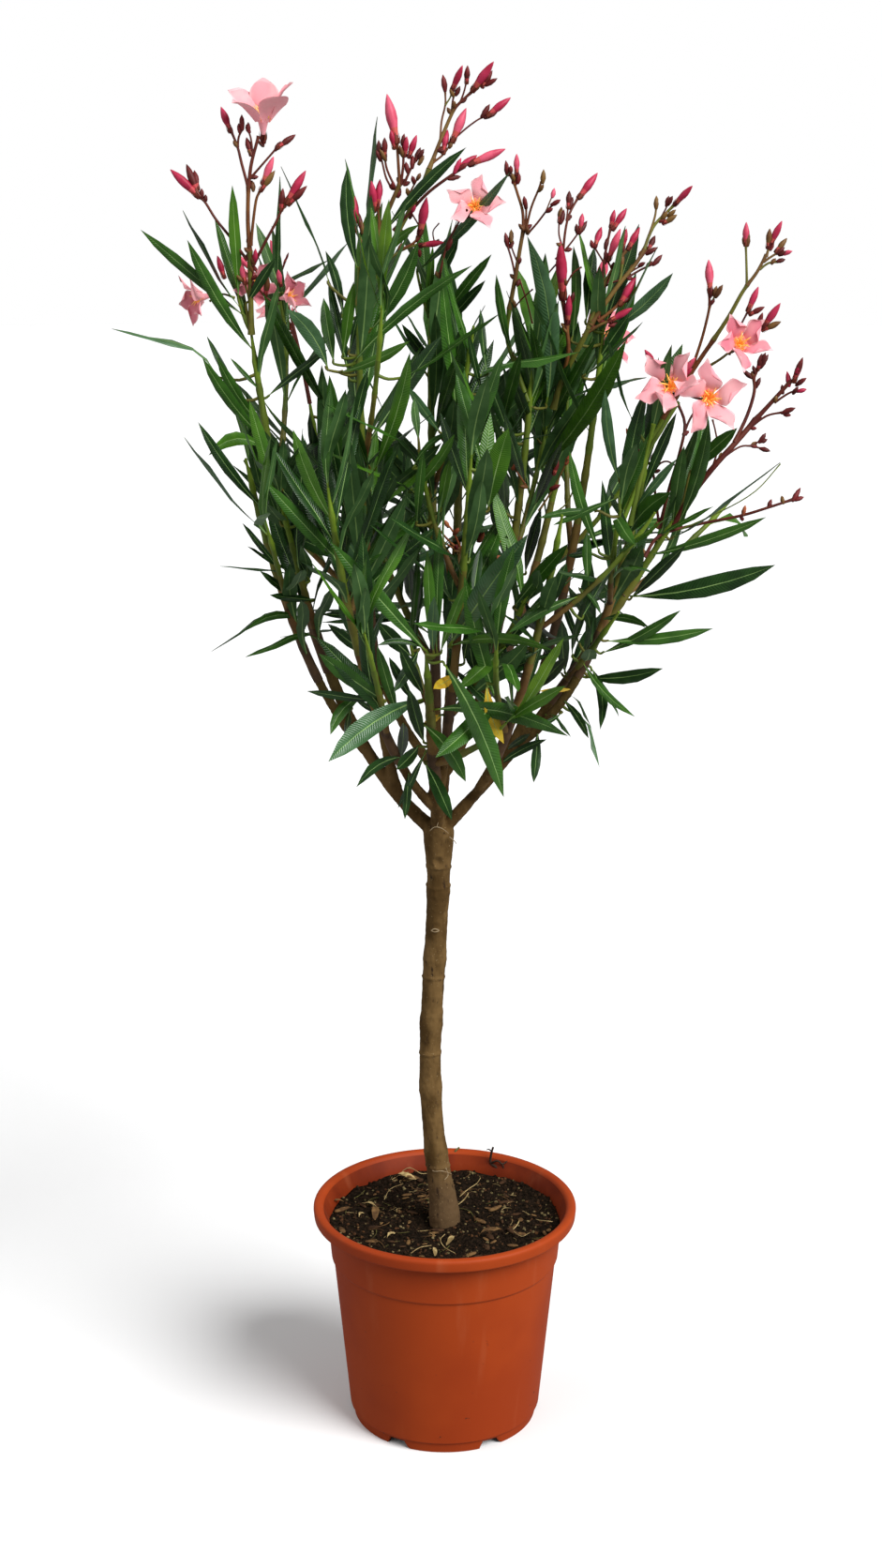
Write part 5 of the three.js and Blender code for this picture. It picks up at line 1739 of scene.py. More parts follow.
@contextmanager
def kept_forms(name: str, forms: Sequence[Shape], smooth: bool = True) -> Iterator[bpy.types.Collection]:
    """Keeps forms as the objects of a collection while Geometry Nodes copy them.

    Args:
        name: what the forms are.
        forms: the forms.
        smooth: whether their faces are shaded smooth.

    Yields:
        The collection.
    """
    store = bpy.data.collections.new(f"{name}_forms")
    bpy.context.scene.collection.children.link(store)
    objects = [form.to_object(f"{name}_form_{i:02d}", smooth=smooth) for i, form in enumerate(forms)]
    for made in objects:
        bpy.context.scene.collection.objects.unlink(made)
        store.objects.link(made)
    yield store
    for made in objects:
        bpy.data.objects.remove(made)
    bpy.data.collections.remove(store)


@dataclass
class Spray:
    """Copies of a few forms, set on points by Geometry Nodes and joined to one piece.

    A form's layer 0 takes the tint of its copy, and each higher layer has a finish of its own.
    """

    name: str
    forms: Sequence[Shape]
    tints: Sequence[Material]
    fixed: Sequence[Material] = ()

    def tree(self) -> Tree:
        """Builds the tree that copies the forms on points and gives each face its finish.

        Returns:
            The tree.
        """
        finishes = {f"Tint {i}": ("NodeSocketMaterial", None) for i in range(len(self.tints))}
        finishes |= {f"Layer {i + 1}": ("NodeSocketMaterial", None) for i in range(len(self.fixed))}
        inputs = {"Places": ("NodeSocketGeometry", None), "Forms": ("NodeSocketCollection", None)}
        inputs |= {"Size": ("NodeSocketFloat", 1.0), **finishes}
        tree = Tree(f"{self.name}_spray", "GeometryNodeTree", inputs, {"Piece": "NodeSocketGeometry"})
        given = tree.start.outputs
        forms = tree.node(
            "GeometryNodeCollectionInfo",
            {"Collection": given["Forms"], "Separate Children": True, "Reset Children": True},
        )
        turn = tree.node("FunctionNodeEulerToRotation", {"Euler": tree.named("turn", "FLOAT_VECTOR")})
        size = tree.node(
            "ShaderNodeVectorMath",
            {0: tree.named("size", "FLOAT_VECTOR"), "Scale": given["Size"]},
            operation="SCALE",
        )
        copies = tree.node(
            "GeometryNodeInstanceOnPoints",
            {
                "Points": given["Places"],
                "Instance": forms.outputs[0],
                "Pick Instance": True,
                "Instance Index": tree.named("form", "INT"),
                "Rotation": turn.outputs[0],
                "Scale": size.outputs[0],
            },
        )
        piece = tree.node("GeometryNodeRealizeInstances", {"Geometry": copies.outputs[0]}).outputs[0]
        piece = tree.node("GeometryNodeSetShadeSmooth", {"Geometry": piece}).outputs[0]
        return tree.finished(piece, finishes)

    def grow(self, stands: Sequence[Stand]) -> Object:
        """Grows the piece.

        Args:
            stands: where the copies stand.

        Returns:
            The piece as one plain mesh.
        """
        piece = self.points(stands)
        values = {f"Tint {i}": finish for i, finish in enumerate(self.tints)}
        values |= {f"Layer {i + 1}": finish for i, finish in enumerate(self.fixed)}
        with kept_forms(self.name, self.forms) as store:
            return self.tree().run(piece, {"Forms": store, "Size": 1.0} | values)

    def points(self, stands: Sequence[Stand]) -> Object:
        """Returns an object with one point for each copy, which holds its turn, size, form and tint.

        Args:
            stands: the copies.

        Returns:
            The object.
        """
        mesh = bpy.data.meshes.new(self.name)
        mesh.from_pydata([tuple(stand.foot) for stand in stands], [], [])
        turns = [Matrix(np.array(s.ways).T.tolist()).to_euler() for s in stands]
        mesh.attributes.new("turn", "FLOAT_VECTOR", "POINT").data.foreach_set("vector", np.ravel(turns))
        sizes = np.ravel([stand.size for stand in stands])
        mesh.attributes.new("size", "FLOAT_VECTOR", "POINT").data.foreach_set("vector", sizes)
        forms = [int(stand.form) for stand in stands]
        mesh.attributes.new("form", "INT", "POINT").data.foreach_set("value", forms)
        tints = [int(stand.tint) for stand in stands]
        mesh.attributes.new("tint", "INT", "POINT").data.foreach_set("value", tints)
        return add_object(self.name, mesh)


@dataclass
class StemWork:
    """Stems along paths, made round by Geometry Nodes and joined to one piece."""

    name: str
    tints: Sequence[Material]
    sides: int = 8

    def tree(self) -> Tree:
        """Builds the tree that draws a round section along each path.

        Returns:
            The tree.
        """
        finishes = {f"Tint {i}": ("NodeSocketMaterial", None) for i in range(len(self.tints))}
        inputs = {"Paths": ("NodeSocketGeometry", None), "Sides": ("NodeSocketInt", 8), **finishes}
        tree = Tree(f"{self.name}_stems", "GeometryNodeTree", inputs, {"Piece": "NodeSocketGeometry"})
        given = tree.start.outputs
        curve = tree.node("GeometryNodeMeshToCurve", {"Mesh": given["Paths"]})
        section = tree.node("GeometryNodeCurvePrimitiveCircle", {"Resolution": given["Sides"], "Radius": 1.0})
        skin = tree.node(
            "GeometryNodeCurveToMesh",
            {
                "Curve": curve.outputs[0],
                "Profile Curve": section.outputs[0],
                "Scale": tree.named("thick", "FLOAT"),
                "Fill Caps": True,
            },
        )
        piece = tree.node("GeometryNodeRealizeInstances", {"Geometry": skin.outputs[0]}).outputs[0]
        piece = tree.node("GeometryNodeSetShadeSmooth", {"Geometry": piece}).outputs[0]
        return tree.finished(piece, finishes)

    def grow(self, paths: Sequence[Path]) -> Object:
        """Returns the piece that all the paths give, as one plain mesh.

        Args:
            paths: the stems' paths.

        Returns:
            The piece.
        """
        vertices, edges = [], []
        for path in paths:
            start = len(vertices)
            vertices += [tuple(point) for point in path.points]
            edges += [(start + i, start + i + 1) for i in range(len(path.points) - 1)]
        mesh = bpy.data.meshes.new(self.name)
        mesh.from_pydata(vertices, edges, [])
        radii = [r for path in paths for r in path.radii]
        mesh.attributes.new("thick", "FLOAT", "POINT").data.foreach_set("value", radii)
        tints = [int(t) for path in paths for t in path.tints]
        mesh.attributes.new("tint", "INT", "POINT").data.foreach_set("value", tints)
        values = {"Sides": self.sides} | {f"Tint {i}": finish for i, finish in enumerate(self.tints)}
        return self.tree().run(add_object(self.name, mesh), values)


class Effects:
    """The shader groups that several finishes share, each built once."""

    made: dict[str, NodeTree] = {}

    @classmethod
    def mottle(cls) -> NodeTree:
        """Returns the group that gives a mask of soft cloudy patches.

        Returns:
            The group.
        """
        if "mottle" not in cls.made:
            inputs = {
                "Coordinates": ("NodeSocketVector", None),
                "Scale": ("NodeSocketFloat", 50.0),
                "Detail": ("NodeSocketFloat", 4.0),
                "Least": ("NodeSocketFloat", 0.35),
                "Most": ("NodeSocketFloat", 0.65),
            }
            tree = Tree("mottle", "ShaderNodeTree", inputs, {"Mask": "NodeSocketFloat"})
            given = tree.start.outputs
            cloud = tree.node(
                "ShaderNodeTexNoise",
                {"Vector": given["Coordinates"], "Scale": given["Scale"], "Detail": given["Detail"]},
            )
            mask = tree.node(
                "ShaderNodeMapRange",
                {"Value": cloud.outputs[0], "From Min": given["Least"], "From Max": given["Most"]},
                interpolation_type="SMOOTHSTEP",
            )
            tree.group.links.new(mask.outputs[0], tree.end.inputs[0])
            cls.made["mottle"] = tree.group
        return cls.made["mottle"]

    @classmethod
    def relief(cls) -> NodeTree:
        """Returns the group that gives the normal of a rough surface.

        Returns:
            The group.
        """
        if "relief" not in cls.made:
            inputs = {
                "Coordinates": ("NodeSocketVector", None),
                "Scale": ("NodeSocketFloat", 400.0),
                "Depth": ("NodeSocketFloat", 0.0002),
                "Strength": ("NodeSocketFloat", 0.5),
            }
            tree = Tree("relief", "ShaderNodeTree", inputs, {"Normal": "NodeSocketVector"})
            given = tree.start.outputs
            grain = tree.node(
                "ShaderNodeTexNoise", {"Vector": given["Coordinates"], "Scale": given["Scale"], "Detail": 3.0}
            )
            raised = tree.node(
                "ShaderNodeBump",
                {"Strength": given["Strength"], "Distance": given["Depth"], "Height": grain.outputs[0]},
            )
            tree.group.links.new(raised.outputs[0], tree.end.inputs[0])
            cls.made["relief"] = tree.group
        return cls.made["relief"]


BUILT_FINISHES: dict[str, Material] = {}


@dataclass(frozen=True)
class Finish:
    """A surface of one colour that clouds over into a second, with a fine relief and, for some, a painted
    glow that stands in for light.
    """

    name: str
    colour: Colour
    shade: Colour
    roughness: float = 0.5
    specular: float = 0.4
    clouds: float = 60.0
    detail: float = 3.0
    least: float = 0.38
    most: float = 0.62
    relief: float = 0.0001
    relief_scale: float = 500.0
    relief_strength: float = 0.4
    stretch: tuple[float, float, float] = (1.0, 1.0, 1.0)
    # Emission strength: painted light on a part that is no lamp.
    painted_glow: float = 0.0

    def material(self) -> Material:
        """Returns the finish as a material, built once.

        Returns:
            The material.
        """
        if self.name in BUILT_FINISHES:
            return BUILT_FINISHES[self.name]
        material = BUILT_FINISHES[self.name] = bpy.data.materials.new(self.name)
        material.use_nodes = True
        tree = material.node_tree
        surface = tree.nodes["Principled BSDF"]
        surface.inputs["Roughness"].default_value = self.roughness
        surface.inputs["Specular IOR Level"].default_value = self.specular
        # The painted glow shines in the finish's own colour.
        surface.inputs["Emission Color"].default_value = (*self.colour, 1.0)
        surface.inputs["Emission Strength"].default_value = self.painted_glow
        place = add_node(tree, "ShaderNodeTexCoord").outputs["Object"]
        mapped = add_node(tree, "ShaderNodeMapping", {"Vector": place, "Scale": self.stretch}).outputs[0]
        tree.links.new(self.paint(tree, mapped, place), surface.inputs["Base Color"])
        tree.links.new(self.raised(tree, mapped), surface.inputs["Normal"])
        return material

    def mask(
        self, tree: NodeTree, place: Socket, scale: float, detail: float, least: float, most: float
    ) -> Socket:
        """Adds a mask of cloudy patches and returns its output.

        Args:
            tree: the node tree.
            place: the pattern's coordinates.
            scale: how many patches lie on a metre.
            detail: how fine they are.
            least: the noise at which the mask begins.
            most: that at which it is full.

        Returns:
            The mask.
        """
        group = add_node(tree, "ShaderNodeGroup", node_tree=Effects.mottle())
        for title, value in zip(("Scale", "Detail", "Least", "Most"), (scale, detail, least, most)):
            group.inputs[title].default_value = value
        tree.links.new(place, group.inputs["Coordinates"])
        return group.outputs[0]

    def mix(self, tree: NodeTree, mask: Socket, first: object, second: object) -> Socket:
        """Adds a mix of two colours, each an output or a plain colour, and returns its output.

        Args:
            tree: the node tree.
            mask: the mask.
            first: the colour where the mask is 0.
            second: that where it is 1.

        Returns:
            The mixed colour.
        """
        node = add_node(tree, "ShaderNodeMix", {0: mask}, data_type="RGBA")
        for number, colour in ((6, first), (7, second)):
            if isinstance(colour, Socket):
                tree.links.new(colour, node.inputs[number])
            else:
                node.inputs[number].default_value = (*colour, 1.0)
        return node.outputs[2]

    def paint(self, tree: NodeTree, mapped: Socket, place: Socket) -> Socket:
        """Adds the nodes of the colour and returns their output.

        Args:
            tree: the material's tree.
            mapped: the stretched coordinates.
            place: the plain coordinates.

        Returns:
            The colour's output.
        """
        mask = self.mask(tree, mapped, self.clouds, self.detail, self.least, self.most)
        return self.mix(tree, mask, self.colour, self.shade)

    def raised(self, tree: NodeTree, mapped: Socket) -> Socket:
        """Adds the nodes of the relief and returns their output.

        Args:
            tree: the node tree.
            mapped: the stretched coordinates.

        Returns:
            The normal.
        """
        group = add_node(tree, "ShaderNodeGroup", node_tree=Effects.relief())
        group.inputs["Scale"].default_value = self.relief_scale
        group.inputs["Depth"].default_value = self.relief
        group.inputs["Strength"].default_value = self.relief_strength
        tree.links.new(mapped, group.inputs["Coordinates"])
        return group.outputs[0]


@dataclass(frozen=True)
class BladeFinish(Finish):
    """A leaf's upper side, with fine side veins that slant from the midrib to the edge."""

    veins: float = 46.0
    slant: float = 5.0
    vein_depth: float = 0.00025

    def raised(self, tree: NodeTree, mapped: Socket) -> Socket:
        """Adds the nodes of the veins and returns their output.

        Args:
            tree: the node tree.
            mapped: the stretched coordinates.

        Returns:
            The normal.
        """
        uv = add_node(tree, "ShaderNodeUVMap", uv_map="blade").outputs[0]
        parts = add_node(tree, "ShaderNodeSeparateXYZ", {0: uv}).outputs
        lean = add_math(tree, "MULTIPLY", add_math(tree, "ABSOLUTE", parts[1]), self.slant)
        phase = add_math(tree, "SUBTRACT", add_math(tree, "MULTIPLY", parts[0], self.veins), lean)
        wave = add_math(tree, "SINE", add_math(tree, "MULTIPLY", phase, 2 * math.pi))
        links = {"Strength": self.relief_strength, "Distance": self.vein_depth, "Height": wave}
        links["Normal"] = super().raised(tree, mapped)
        return add_node(tree, "ShaderNodeBump", links).outputs[0]


@dataclass(frozen=True)
class BarkFinish(Finish):
    """Bark that is red-brown at its foot, grey-brown above and olive on the young boughs, with pale pores."""

    foot: Colour = (0.105, 0.062, 0.028)
    olive: Colour = (0.10, 0.070, 0.018)
    pores: Colour = (0.23, 0.155, 0.075)
    crack: Colour = (0.03, 0.016, 0.008)
    foot_heights: tuple[float, float] = (0.21, 0.26)
    olive_heights: tuple[float, float] = (0.60, 0.74)

    def paint(self, tree: NodeTree, mapped: Socket, place: Socket) -> Socket:
        """Adds the nodes of the colour and returns their output.

        Args:
            tree: the node tree.
            mapped: the stretched coordinates.
            place: the plain coordinates.

        Returns:
            The colour.
        """
        colour = super().paint(tree, mapped, place)
        height = add_node(tree, "ShaderNodeSeparateXYZ", {0: place}).outputs[2]
        for (low, high), tone, is_above in (
            (self.foot_heights, self.foot, False),
            (self.olive_heights, self.olive, True),
        ):
            share = add_node(
                tree,
                "ShaderNodeMapRange",
                {"Value": height, "From Min": low, "From Max": high},
                interpolation_type="SMOOTHSTEP",
            ).outputs[0]
            mixed = (colour, tone) if is_above else (tone, colour)
            colour = self.mix(tree, share, *mixed)
        crack = self.mask(tree, mapped, 210.0, 5.0, 0.60, 0.74)
        colour = self.mix(tree, crack, colour, self.crack)
        pores = self.mask(tree, place, 620.0, 1.0, 0.69, 0.76)
        return self.mix(tree, pores, colour, self.pores)


@dataclass(frozen=True)
class PlasticFinish(Finish):
    """Moulded plastic with dusty drips, scuffs and specks of soil near its foot."""

    dust: Colour = (0.52, 0.17, 0.075)
    dirt: Colour = (0.045, 0.018, 0.01)
    dustiness: float = 0.22
    dirty_below: float = 0.15

    def paint(self, tree: NodeTree, mapped: Socket, place: Socket) -> Socket:
        """Adds the nodes of the colour and returns their output.

        Args:
            tree: the node tree.
            mapped: the stretched coordinates.
            place: the plain coordinates.

        Returns:
            The colour.
        """
        colour = super().paint(tree, mapped, place)
        height = add_node(tree, "ShaderNodeSeparateXYZ", {0: place}).outputs[2]
        drips = add_node(tree, "ShaderNodeMapping", {"Vector": place, "Scale": (1.0, 1.0, 0.12)}).outputs[0]
        drip = self.mask(tree, drips, 55.0, 5.0, 0.56, 0.84)
        faint = add_math(tree, "MULTIPLY", drip, self.dustiness)
        colour = self.mix(tree, faint, colour, self.dust)
        specks = self.mask(tree, place, 150.0, 2.0, 0.715, 0.75)
        low = add_node(
            tree, "ShaderNodeMapRange", {"Value": height, "From Min": self.dirty_below, "From Max": 0.0}
        ).outputs[0]
        dirty = add_math(tree, "MULTIPLY", specks, low)
        return self.mix(tree, dirty, colour, self.dirt)


@dataclass(frozen=True)
class FloorFinish(Finish):
    """A pale floor that throws back only part of the light that it shows."""

    thrown_back: Colour = (0.30, 0.30, 0.30)

    def paint(self, tree: NodeTree, mapped: Socket, place: Socket) -> Socket:
        """Adds the nodes of the colour and returns their output."""
        seen = add_node(tree, "ShaderNodeLightPath").outputs["Is Camera Ray"]
        return self.mix(tree, seen, self.thrown_back, super().paint(tree, mapped, place))


def built(finishes: Iterable[Finish]) -> list[Material]:
    """Returns finishes as materials."""
    return [finish.material() for finish in finishes]

LEAF_TINTS: tuple[BladeFinish, ...] = (
    BladeFinish("leaf_young", (0.125, 0.250, 0.014), (0.088, 0.190, 0.012), 0.38, 0.28),
    BladeFinish("leaf_fresh", (0.064, 0.175, 0.011), (0.044, 0.134, 0.009), 0.34, 0.30),
    BladeFinish("leaf_mid", (0.036, 0.118, 0.010), (0.024, 0.084, 0.007), 0.32, 0.34),
    BladeFinish("leaf_deep", (0.016, 0.060, 0.008), (0.009, 0.037, 0.005), 0.32, 0.34),
    # A paler blue-green: partly the tone of old leaves, partly painted sheen of the sky's reflection.
    BladeFinish("leaf_blue_sheen", (0.060, 0.150, 0.055), (0.036, 0.105, 0.032), 0.30, 0.60),
    BladeFinish("leaf_yellow", (0.66, 0.46, 0.030), (0.56, 0.33, 0.020), 0.45, 0.3),
)
RIB = Finish("leaf_rib", (0.29, 0.45, 0.15), (0.20, 0.34, 0.10), 0.42, 0.25)
UNDERSIDE = Finish("leaf_underside", (0.070, 0.160, 0.045), (0.048, 0.120, 0.032), 0.55, 0.22)
LEAF_STALK = Finish("leaf_stalk", (0.22, 0.34, 0.035), (0.15, 0.26, 0.025), 0.45, 0.25)
STEM_TINTS: tuple[Finish, ...] = (
    Finish("stem_brown", (0.11, 0.060, 0.028), (0.065, 0.036, 0.018), 0.7, 0.25, relief=0.0004),
    Finish("stem_olive_brown", (0.19, 0.115, 0.028), (0.13, 0.062, 0.018), 0.6, 0.25),
    Finish("stem_olive", (0.16, 0.16, 0.022), (0.12, 0.11, 0.018), 0.5, 0.3),
    Finish("stem_green", (0.130, 0.180, 0.018), (0.095, 0.140, 0.015), 0.45, 0.3),
    Finish("stem_bright", (0.170, 0.260, 0.020), (0.130, 0.205, 0.016), 0.42, 0.3),
    Finish("stalk_maroon", (0.085, 0.014, 0.010), (0.125, 0.026, 0.014), 0.5, 0.25),
    Finish("stalk_russet", (0.20, 0.075, 0.022), (0.13, 0.040, 0.014), 0.5, 0.25),
    Finish("stalk_rust", (0.34, 0.105, 0.030), (0.24, 0.055, 0.018), 0.55, 0.25),
)
BARK = BarkFinish(
    "bark_skin", (0.150, 0.087, 0.030), (0.078, 0.042, 0.012), 0.85, 0.12,
    clouds=70.0,
    detail=6.0,
    relief=0.0009,
    relief_scale=260.0,
    relief_strength=0.75,
    stretch=(1.0, 1.0, 0.45),
)
BUD_TINTS: tuple[Finish, ...] = (
    Finish("bud_crimson", (0.50, 0.030, 0.085), (0.36, 0.014, 0.045), 0.42, 0.25),
    Finish("bud_pink", (0.72, 0.110, 0.180), (0.56, 0.055, 0.110), 0.42, 0.25),
    Finish("bud_dark", (0.17, 0.018, 0.018), (0.085, 0.012, 0.010), 0.5, 0.25),
    Finish("bud_tawny", (0.19, 0.100, 0.026), (0.12, 0.045, 0.015), 0.5, 0.25),
    Finish("bud_dry", (0.44, 0.140, 0.060), (0.30, 0.070, 0.030), 0.6, 0.2),
)
CALYX = Finish("calyx", (0.13, 0.016, 0.016), (0.17, 0.036, 0.018), 0.5, 0.25)
BUD_FOOT = Finish("bud_foot", (0.58, 0.110, 0.080), (0.52, 0.060, 0.070), 0.5, 0.25)
PETAL_TINTS: tuple[Finish, ...] = (
    Finish("petal_light", (0.88, 0.42, 0.44), (0.84, 0.34, 0.38), 0.6, 0.2, 60.0, relief_strength=0.1),
    Finish("petal_rose", (0.80, 0.27, 0.31), (0.72, 0.19, 0.25), 0.6, 0.2, 60.0, relief_strength=0.1),
)
# The petals' paler edge: a painted highlight along their rims and tips.
PETAL_EDGE_HIGHLIGHT = Finish("petal_edge_highlight", (0.90, 0.53, 0.55), (0.86, 0.44, 0.47), 0.6, 0.2, relief_strength=0.1)
# The petals' backs: their painted glow stands in for light shining through the thin petal.
PETAL_BACK = Finish(
    "petal_back", (0.88, 0.40, 0.43), (0.84, 0.31, 0.36), 0.6, 0.2, 60.0, relief_strength=0.1, painted_glow=0.22
)
# The throat and the fringe: their painted glow brightens the shaded inside of the tube.
THROAT = Finish("flower_throat", (0.95, 0.30, 0.075), (0.95, 0.40, 0.200), 0.55, 0.2, 300.0, painted_glow=0.25)
FRINGE = Finish("flower_fringe", (0.96, 0.46, 0.060), (0.96, 0.62, 0.20), 0.55, 0.2, 500.0, painted_glow=0.15)
POT_FINISH = PlasticFinish(
    "pot_moulded", (0.36, 0.047, 0.005), (0.31, 0.037, 0.004), 0.60, 0.18, 9.0,
    relief=0.00012,
    relief_scale=900.0,
    relief_strength=0.3,
)
# The inner wall: the same plastic, darker as painted shade inside the pot; its specks are real soil dirt.
POT_INSIDE_SHADED = PlasticFinish(
    "pot_inside_shaded", (0.21, 0.026, 0.004), (0.16, 0.018, 0.003), 0.6, 0.15, 30.0, dirty_below=0.35
)
# The hollow foot: near black, painted shade under the pot and in its notches.
POT_HOLLOW_SHADE = Finish("pot_hollow_shade", (0.020, 0.006, 0.003), (0.010, 0.004, 0.002), 0.8, 0.05)
SOIL_FINISH = Finish(
    "soil", (0.020, 0.012, 0.007), (0.006, 0.004, 0.002), 0.95, 0.05, 320.0,
    relief=0.004,
    relief_scale=420.0,
    relief_strength=1.0,
)
CRUMB_TINTS: tuple[Finish, ...] = (
    Finish("crumb_black", (0.008, 0.005, 0.003), (0.016, 0.009, 0.005), 0.95, 0.05, 300.0),
    Finish("crumb_brown", (0.036, 0.020, 0.010), (0.020, 0.011, 0.006), 0.95, 0.05, 300.0),
    Finish("crumb_rust", (0.080, 0.036, 0.014), (0.042, 0.019, 0.009), 0.9, 0.1, 300.0),
    Finish("crumb_tan", (0.20, 0.150, 0.070), (0.06, 0.050, 0.018), 0.9, 0.1, 500.0),
)
LITTER_TINTS: tuple[Finish, ...] = (
    Finish("litter_bark", (0.060, 0.030, 0.014), (0.028, 0.014, 0.007), 0.9, 0.1, 220.0, relief=0.0005),
    Finish("litter_tan", (0.17, 0.095, 0.036), (0.08, 0.042, 0.018), 0.85, 0.1, 180.0, relief=0.0004),
    Finish("litter_straw", (0.46, 0.34, 0.150), (0.22, 0.15, 0.060), 0.75, 0.15, 180.0),
    Finish("litter_olive", (0.13, 0.125, 0.030), (0.07, 0.060, 0.018), 0.75, 0.15, 180.0),
)
THREAD_TINTS: tuple[Finish, ...] = (
    Finish("dead_twig", (0.030, 0.018, 0.012), (0.055, 0.030, 0.020), 0.85, 0.1, 300.0, relief=0.0004),
    Finish("dry_straw", (0.46, 0.34, 0.150), (0.27, 0.18, 0.075), 0.75, 0.15, 180.0),
    Finish("bark_fibre", (0.40, 0.31, 0.190), (0.27, 0.19, 0.110), 0.8, 0.15, 250.0),
    Finish("dry_stump", (0.24, 0.21, 0.080), (0.11, 0.080, 0.035), 0.8, 0.15, 200.0),
)
FLOOR_FINISH = FloorFinish("floor", (0.92, 0.92, 0.92), (0.91, 0.91, 0.91), 0.9, 0.1, 2.0, relief=0.0)


@dataclass(frozen=True)
class LeafForm:
    """One curved leaf blade of length 1 and width 1: how it arches, bends aside, twists, folds and waves."""

    arch: float
    aside: float
    twist: float
    fold: float
    wave: float
    slenderness: float = 5.6
    stalk: float = 0.06
    stalk_width: float = 0.10
    rib_width: float = 0.066
    thickness: float = 0.0045
    base_taper: float = 1.05
    tip_taper: float = 0.88
    low_rib: float = 1.3
    stations: tuple[float, ...] = (0.0, 0.065, 0.16, 0.32, 0.50, 0.68, 0.85, 1.0)

    def width_at(self, share: float) -> float:
        """Returns the blade's whole width at a share of its length, at most 1.

        Args:
            share: the share of the blade's length.

        Returns:
            The width.
        """
        if share <= self.stalk:
            return self.stalk_width
        t = (share - self.stalk) / (1 - self.stalk)
        widest = self.base_taper / (self.base_taper + self.tip_taper)
        most = widest**self.base_taper * (1 - widest) ** self.tip_taper
        return max(self.stalk_width * (1 - t), t**self.base_taper * (1 - t) ** self.tip_taper / most)

    def shape(self) -> Shape:
        """Returns the blade: layer 0 is its upper side, 1 its midrib, 2 its underside and 3 its stalk.

        Returns:
            The blade, one unit long.
        """
        unit_width = 1 / self.slenderness
        shape, vertices, uvs = Shape(), [], []
        for s in self.stations:
            half, rib = self.width_at(s) / 2, self.rib_width / 2 * (1.15 - s)
            rib = min(rib, half * 0.7)
            middle = (half + rib) / 2
            swell = 4 * s * (1 - s)
            turn = math.radians(self.twist) * (s - 0.25)
            low = rib * self.low_rib
            across = [(y, False) for y in (-half, -middle, -rib, rib, middle, half)]
            across += [(-low, True), (low, True)]
            for y, is_low in across:
                wide = y * unit_width
                rise = abs(wide) * math.tan(math.radians(self.fold)) * (1 - 0.5 * s)
                rise -= 0.9 * abs(wide) * (abs(y) / 0.5) ** 2 * 0.4
                rise += self.wave * abs(y) * math.sin(s * 17 + (2.1 if y > 0 else 0)) * unit_width
                rise -= self.thickness if is_low else 0
                side = wide * math.cos(turn) - rise * math.sin(turn)
                lift = wide * math.sin(turn) + rise * math.cos(turn)
                lift += self.arch * (swell + 0.35 * math.sin(2 * math.pi * s))
                side += self.aside * swell
                vertices.append((s, side / unit_width, lift))
                uvs.append((s, y))
        faces, layers = [], []
        for i in range(len(self.stations) - 1):
            a, b = 8 * i, 8 * (i + 1)
            for j, layer in ((0, 0), (1, 0), (2, 1), (3, 0), (4, 0)):
                faces.append((a + j, b + j, b + j + 1, a + j + 1))
                layers.append(layer if i else 3)
            for j, k, layer in ((0, 6, 2), (6, 7, 1), (7, 5, 2)):
                faces.append((a + j, a + k, b + k, b + j))
                layers.append(layer if i else 3)
        last = 8 * (len(self.stations) - 1)
        ring = (0, 1, 2, 3, 4, 5, 7, 6)
        faces += [ring, tuple(last + j for j in ring[::-1])]
        layers += [3, 0]
        shape.add(vertices, [face[::-1] for face in faces], layers, uvs)
        return shape


LEAF_FORMS: tuple[LeafForm, ...] = (
    LeafForm(0.020, 0.012, 8, 20, 0.05),
    LeafForm(0.045, -0.020, -12, 14, 0.08),
    LeafForm(-0.020, 0.030, 18, 24, 0.04),
    LeafForm(0.085, 0.015, -10, 16, 0.10),
    LeafForm(0.120, -0.030, 22, 10, 0.12),
    LeafForm(0.060, 0.050, -30, 18, 0.10),
    LeafForm(0.020, 0.120, 10, 16, 0.05),
    LeafForm(0.020, -0.120, -10, 16, 0.05),
    LeafForm(0.015, 0.240, 10, 12, 0.04),
    LeafForm(0.015, -0.240, -10, 12, 0.04),
    LeafForm(0.200, 0.000, 8, 16, 0.05),
    LeafForm(0.018, 0.060, 8, 14, 0.05),
    LeafForm(0.018, -0.060, -8, 14, 0.05),
    LeafForm(0.016, 0.180, 10, 14, 0.05),
    LeafForm(0.016, -0.180, -10, 14, 0.05),
)
BOWED_FORMS = (0, 6, 7, 8, 9, 11, 12, 13, 14)
ARCHED_FORMS = (0, 3, 4, 10)


@dataclass
class Leaves:
    """The leaves of the crown, in two pieces."""

    foliage: Foliage = field(default_factory=Foliage)

    def build(self, boughs: list[Bough]) -> list[Path]:
        """Builds the leaves of the masses in the west and in the east and returns their fine twigs' paths.

        Args:
            boughs: the boughs with their shoots.

        Returns:
            The fine twigs' paths.
        """
        masses = self.foliage.grow(boughs, [SeenLeaf(*row) for row in SEEN_LEAVES])
        tints, fixed = built(LEAF_TINTS), built((RIB, UNDERSIDE, LEAF_STALK))
        forms = [form.shape() for form in LEAF_FORMS]
        for side, is_west in (("west", True), ("east", False)):
            own = [b for b in boughs if (way_at(b.plan.heading)[0] * b.plan.spread < 0) == is_west]
            stands = [stand for bough in own for stand in masses[bough.index]]
            piece = Spray(f"leaves_{side}", forms, tints, fixed).grow(stands)
            set_piece(piece, Slot.FOLIAGE, [f"foliage_{bough.plan.name}" for bough in own])
        log.info("%d leaves and %d fine twigs", sum(map(len, masses)), len(self.foliage.twigs))
        return self.foliage.twigs


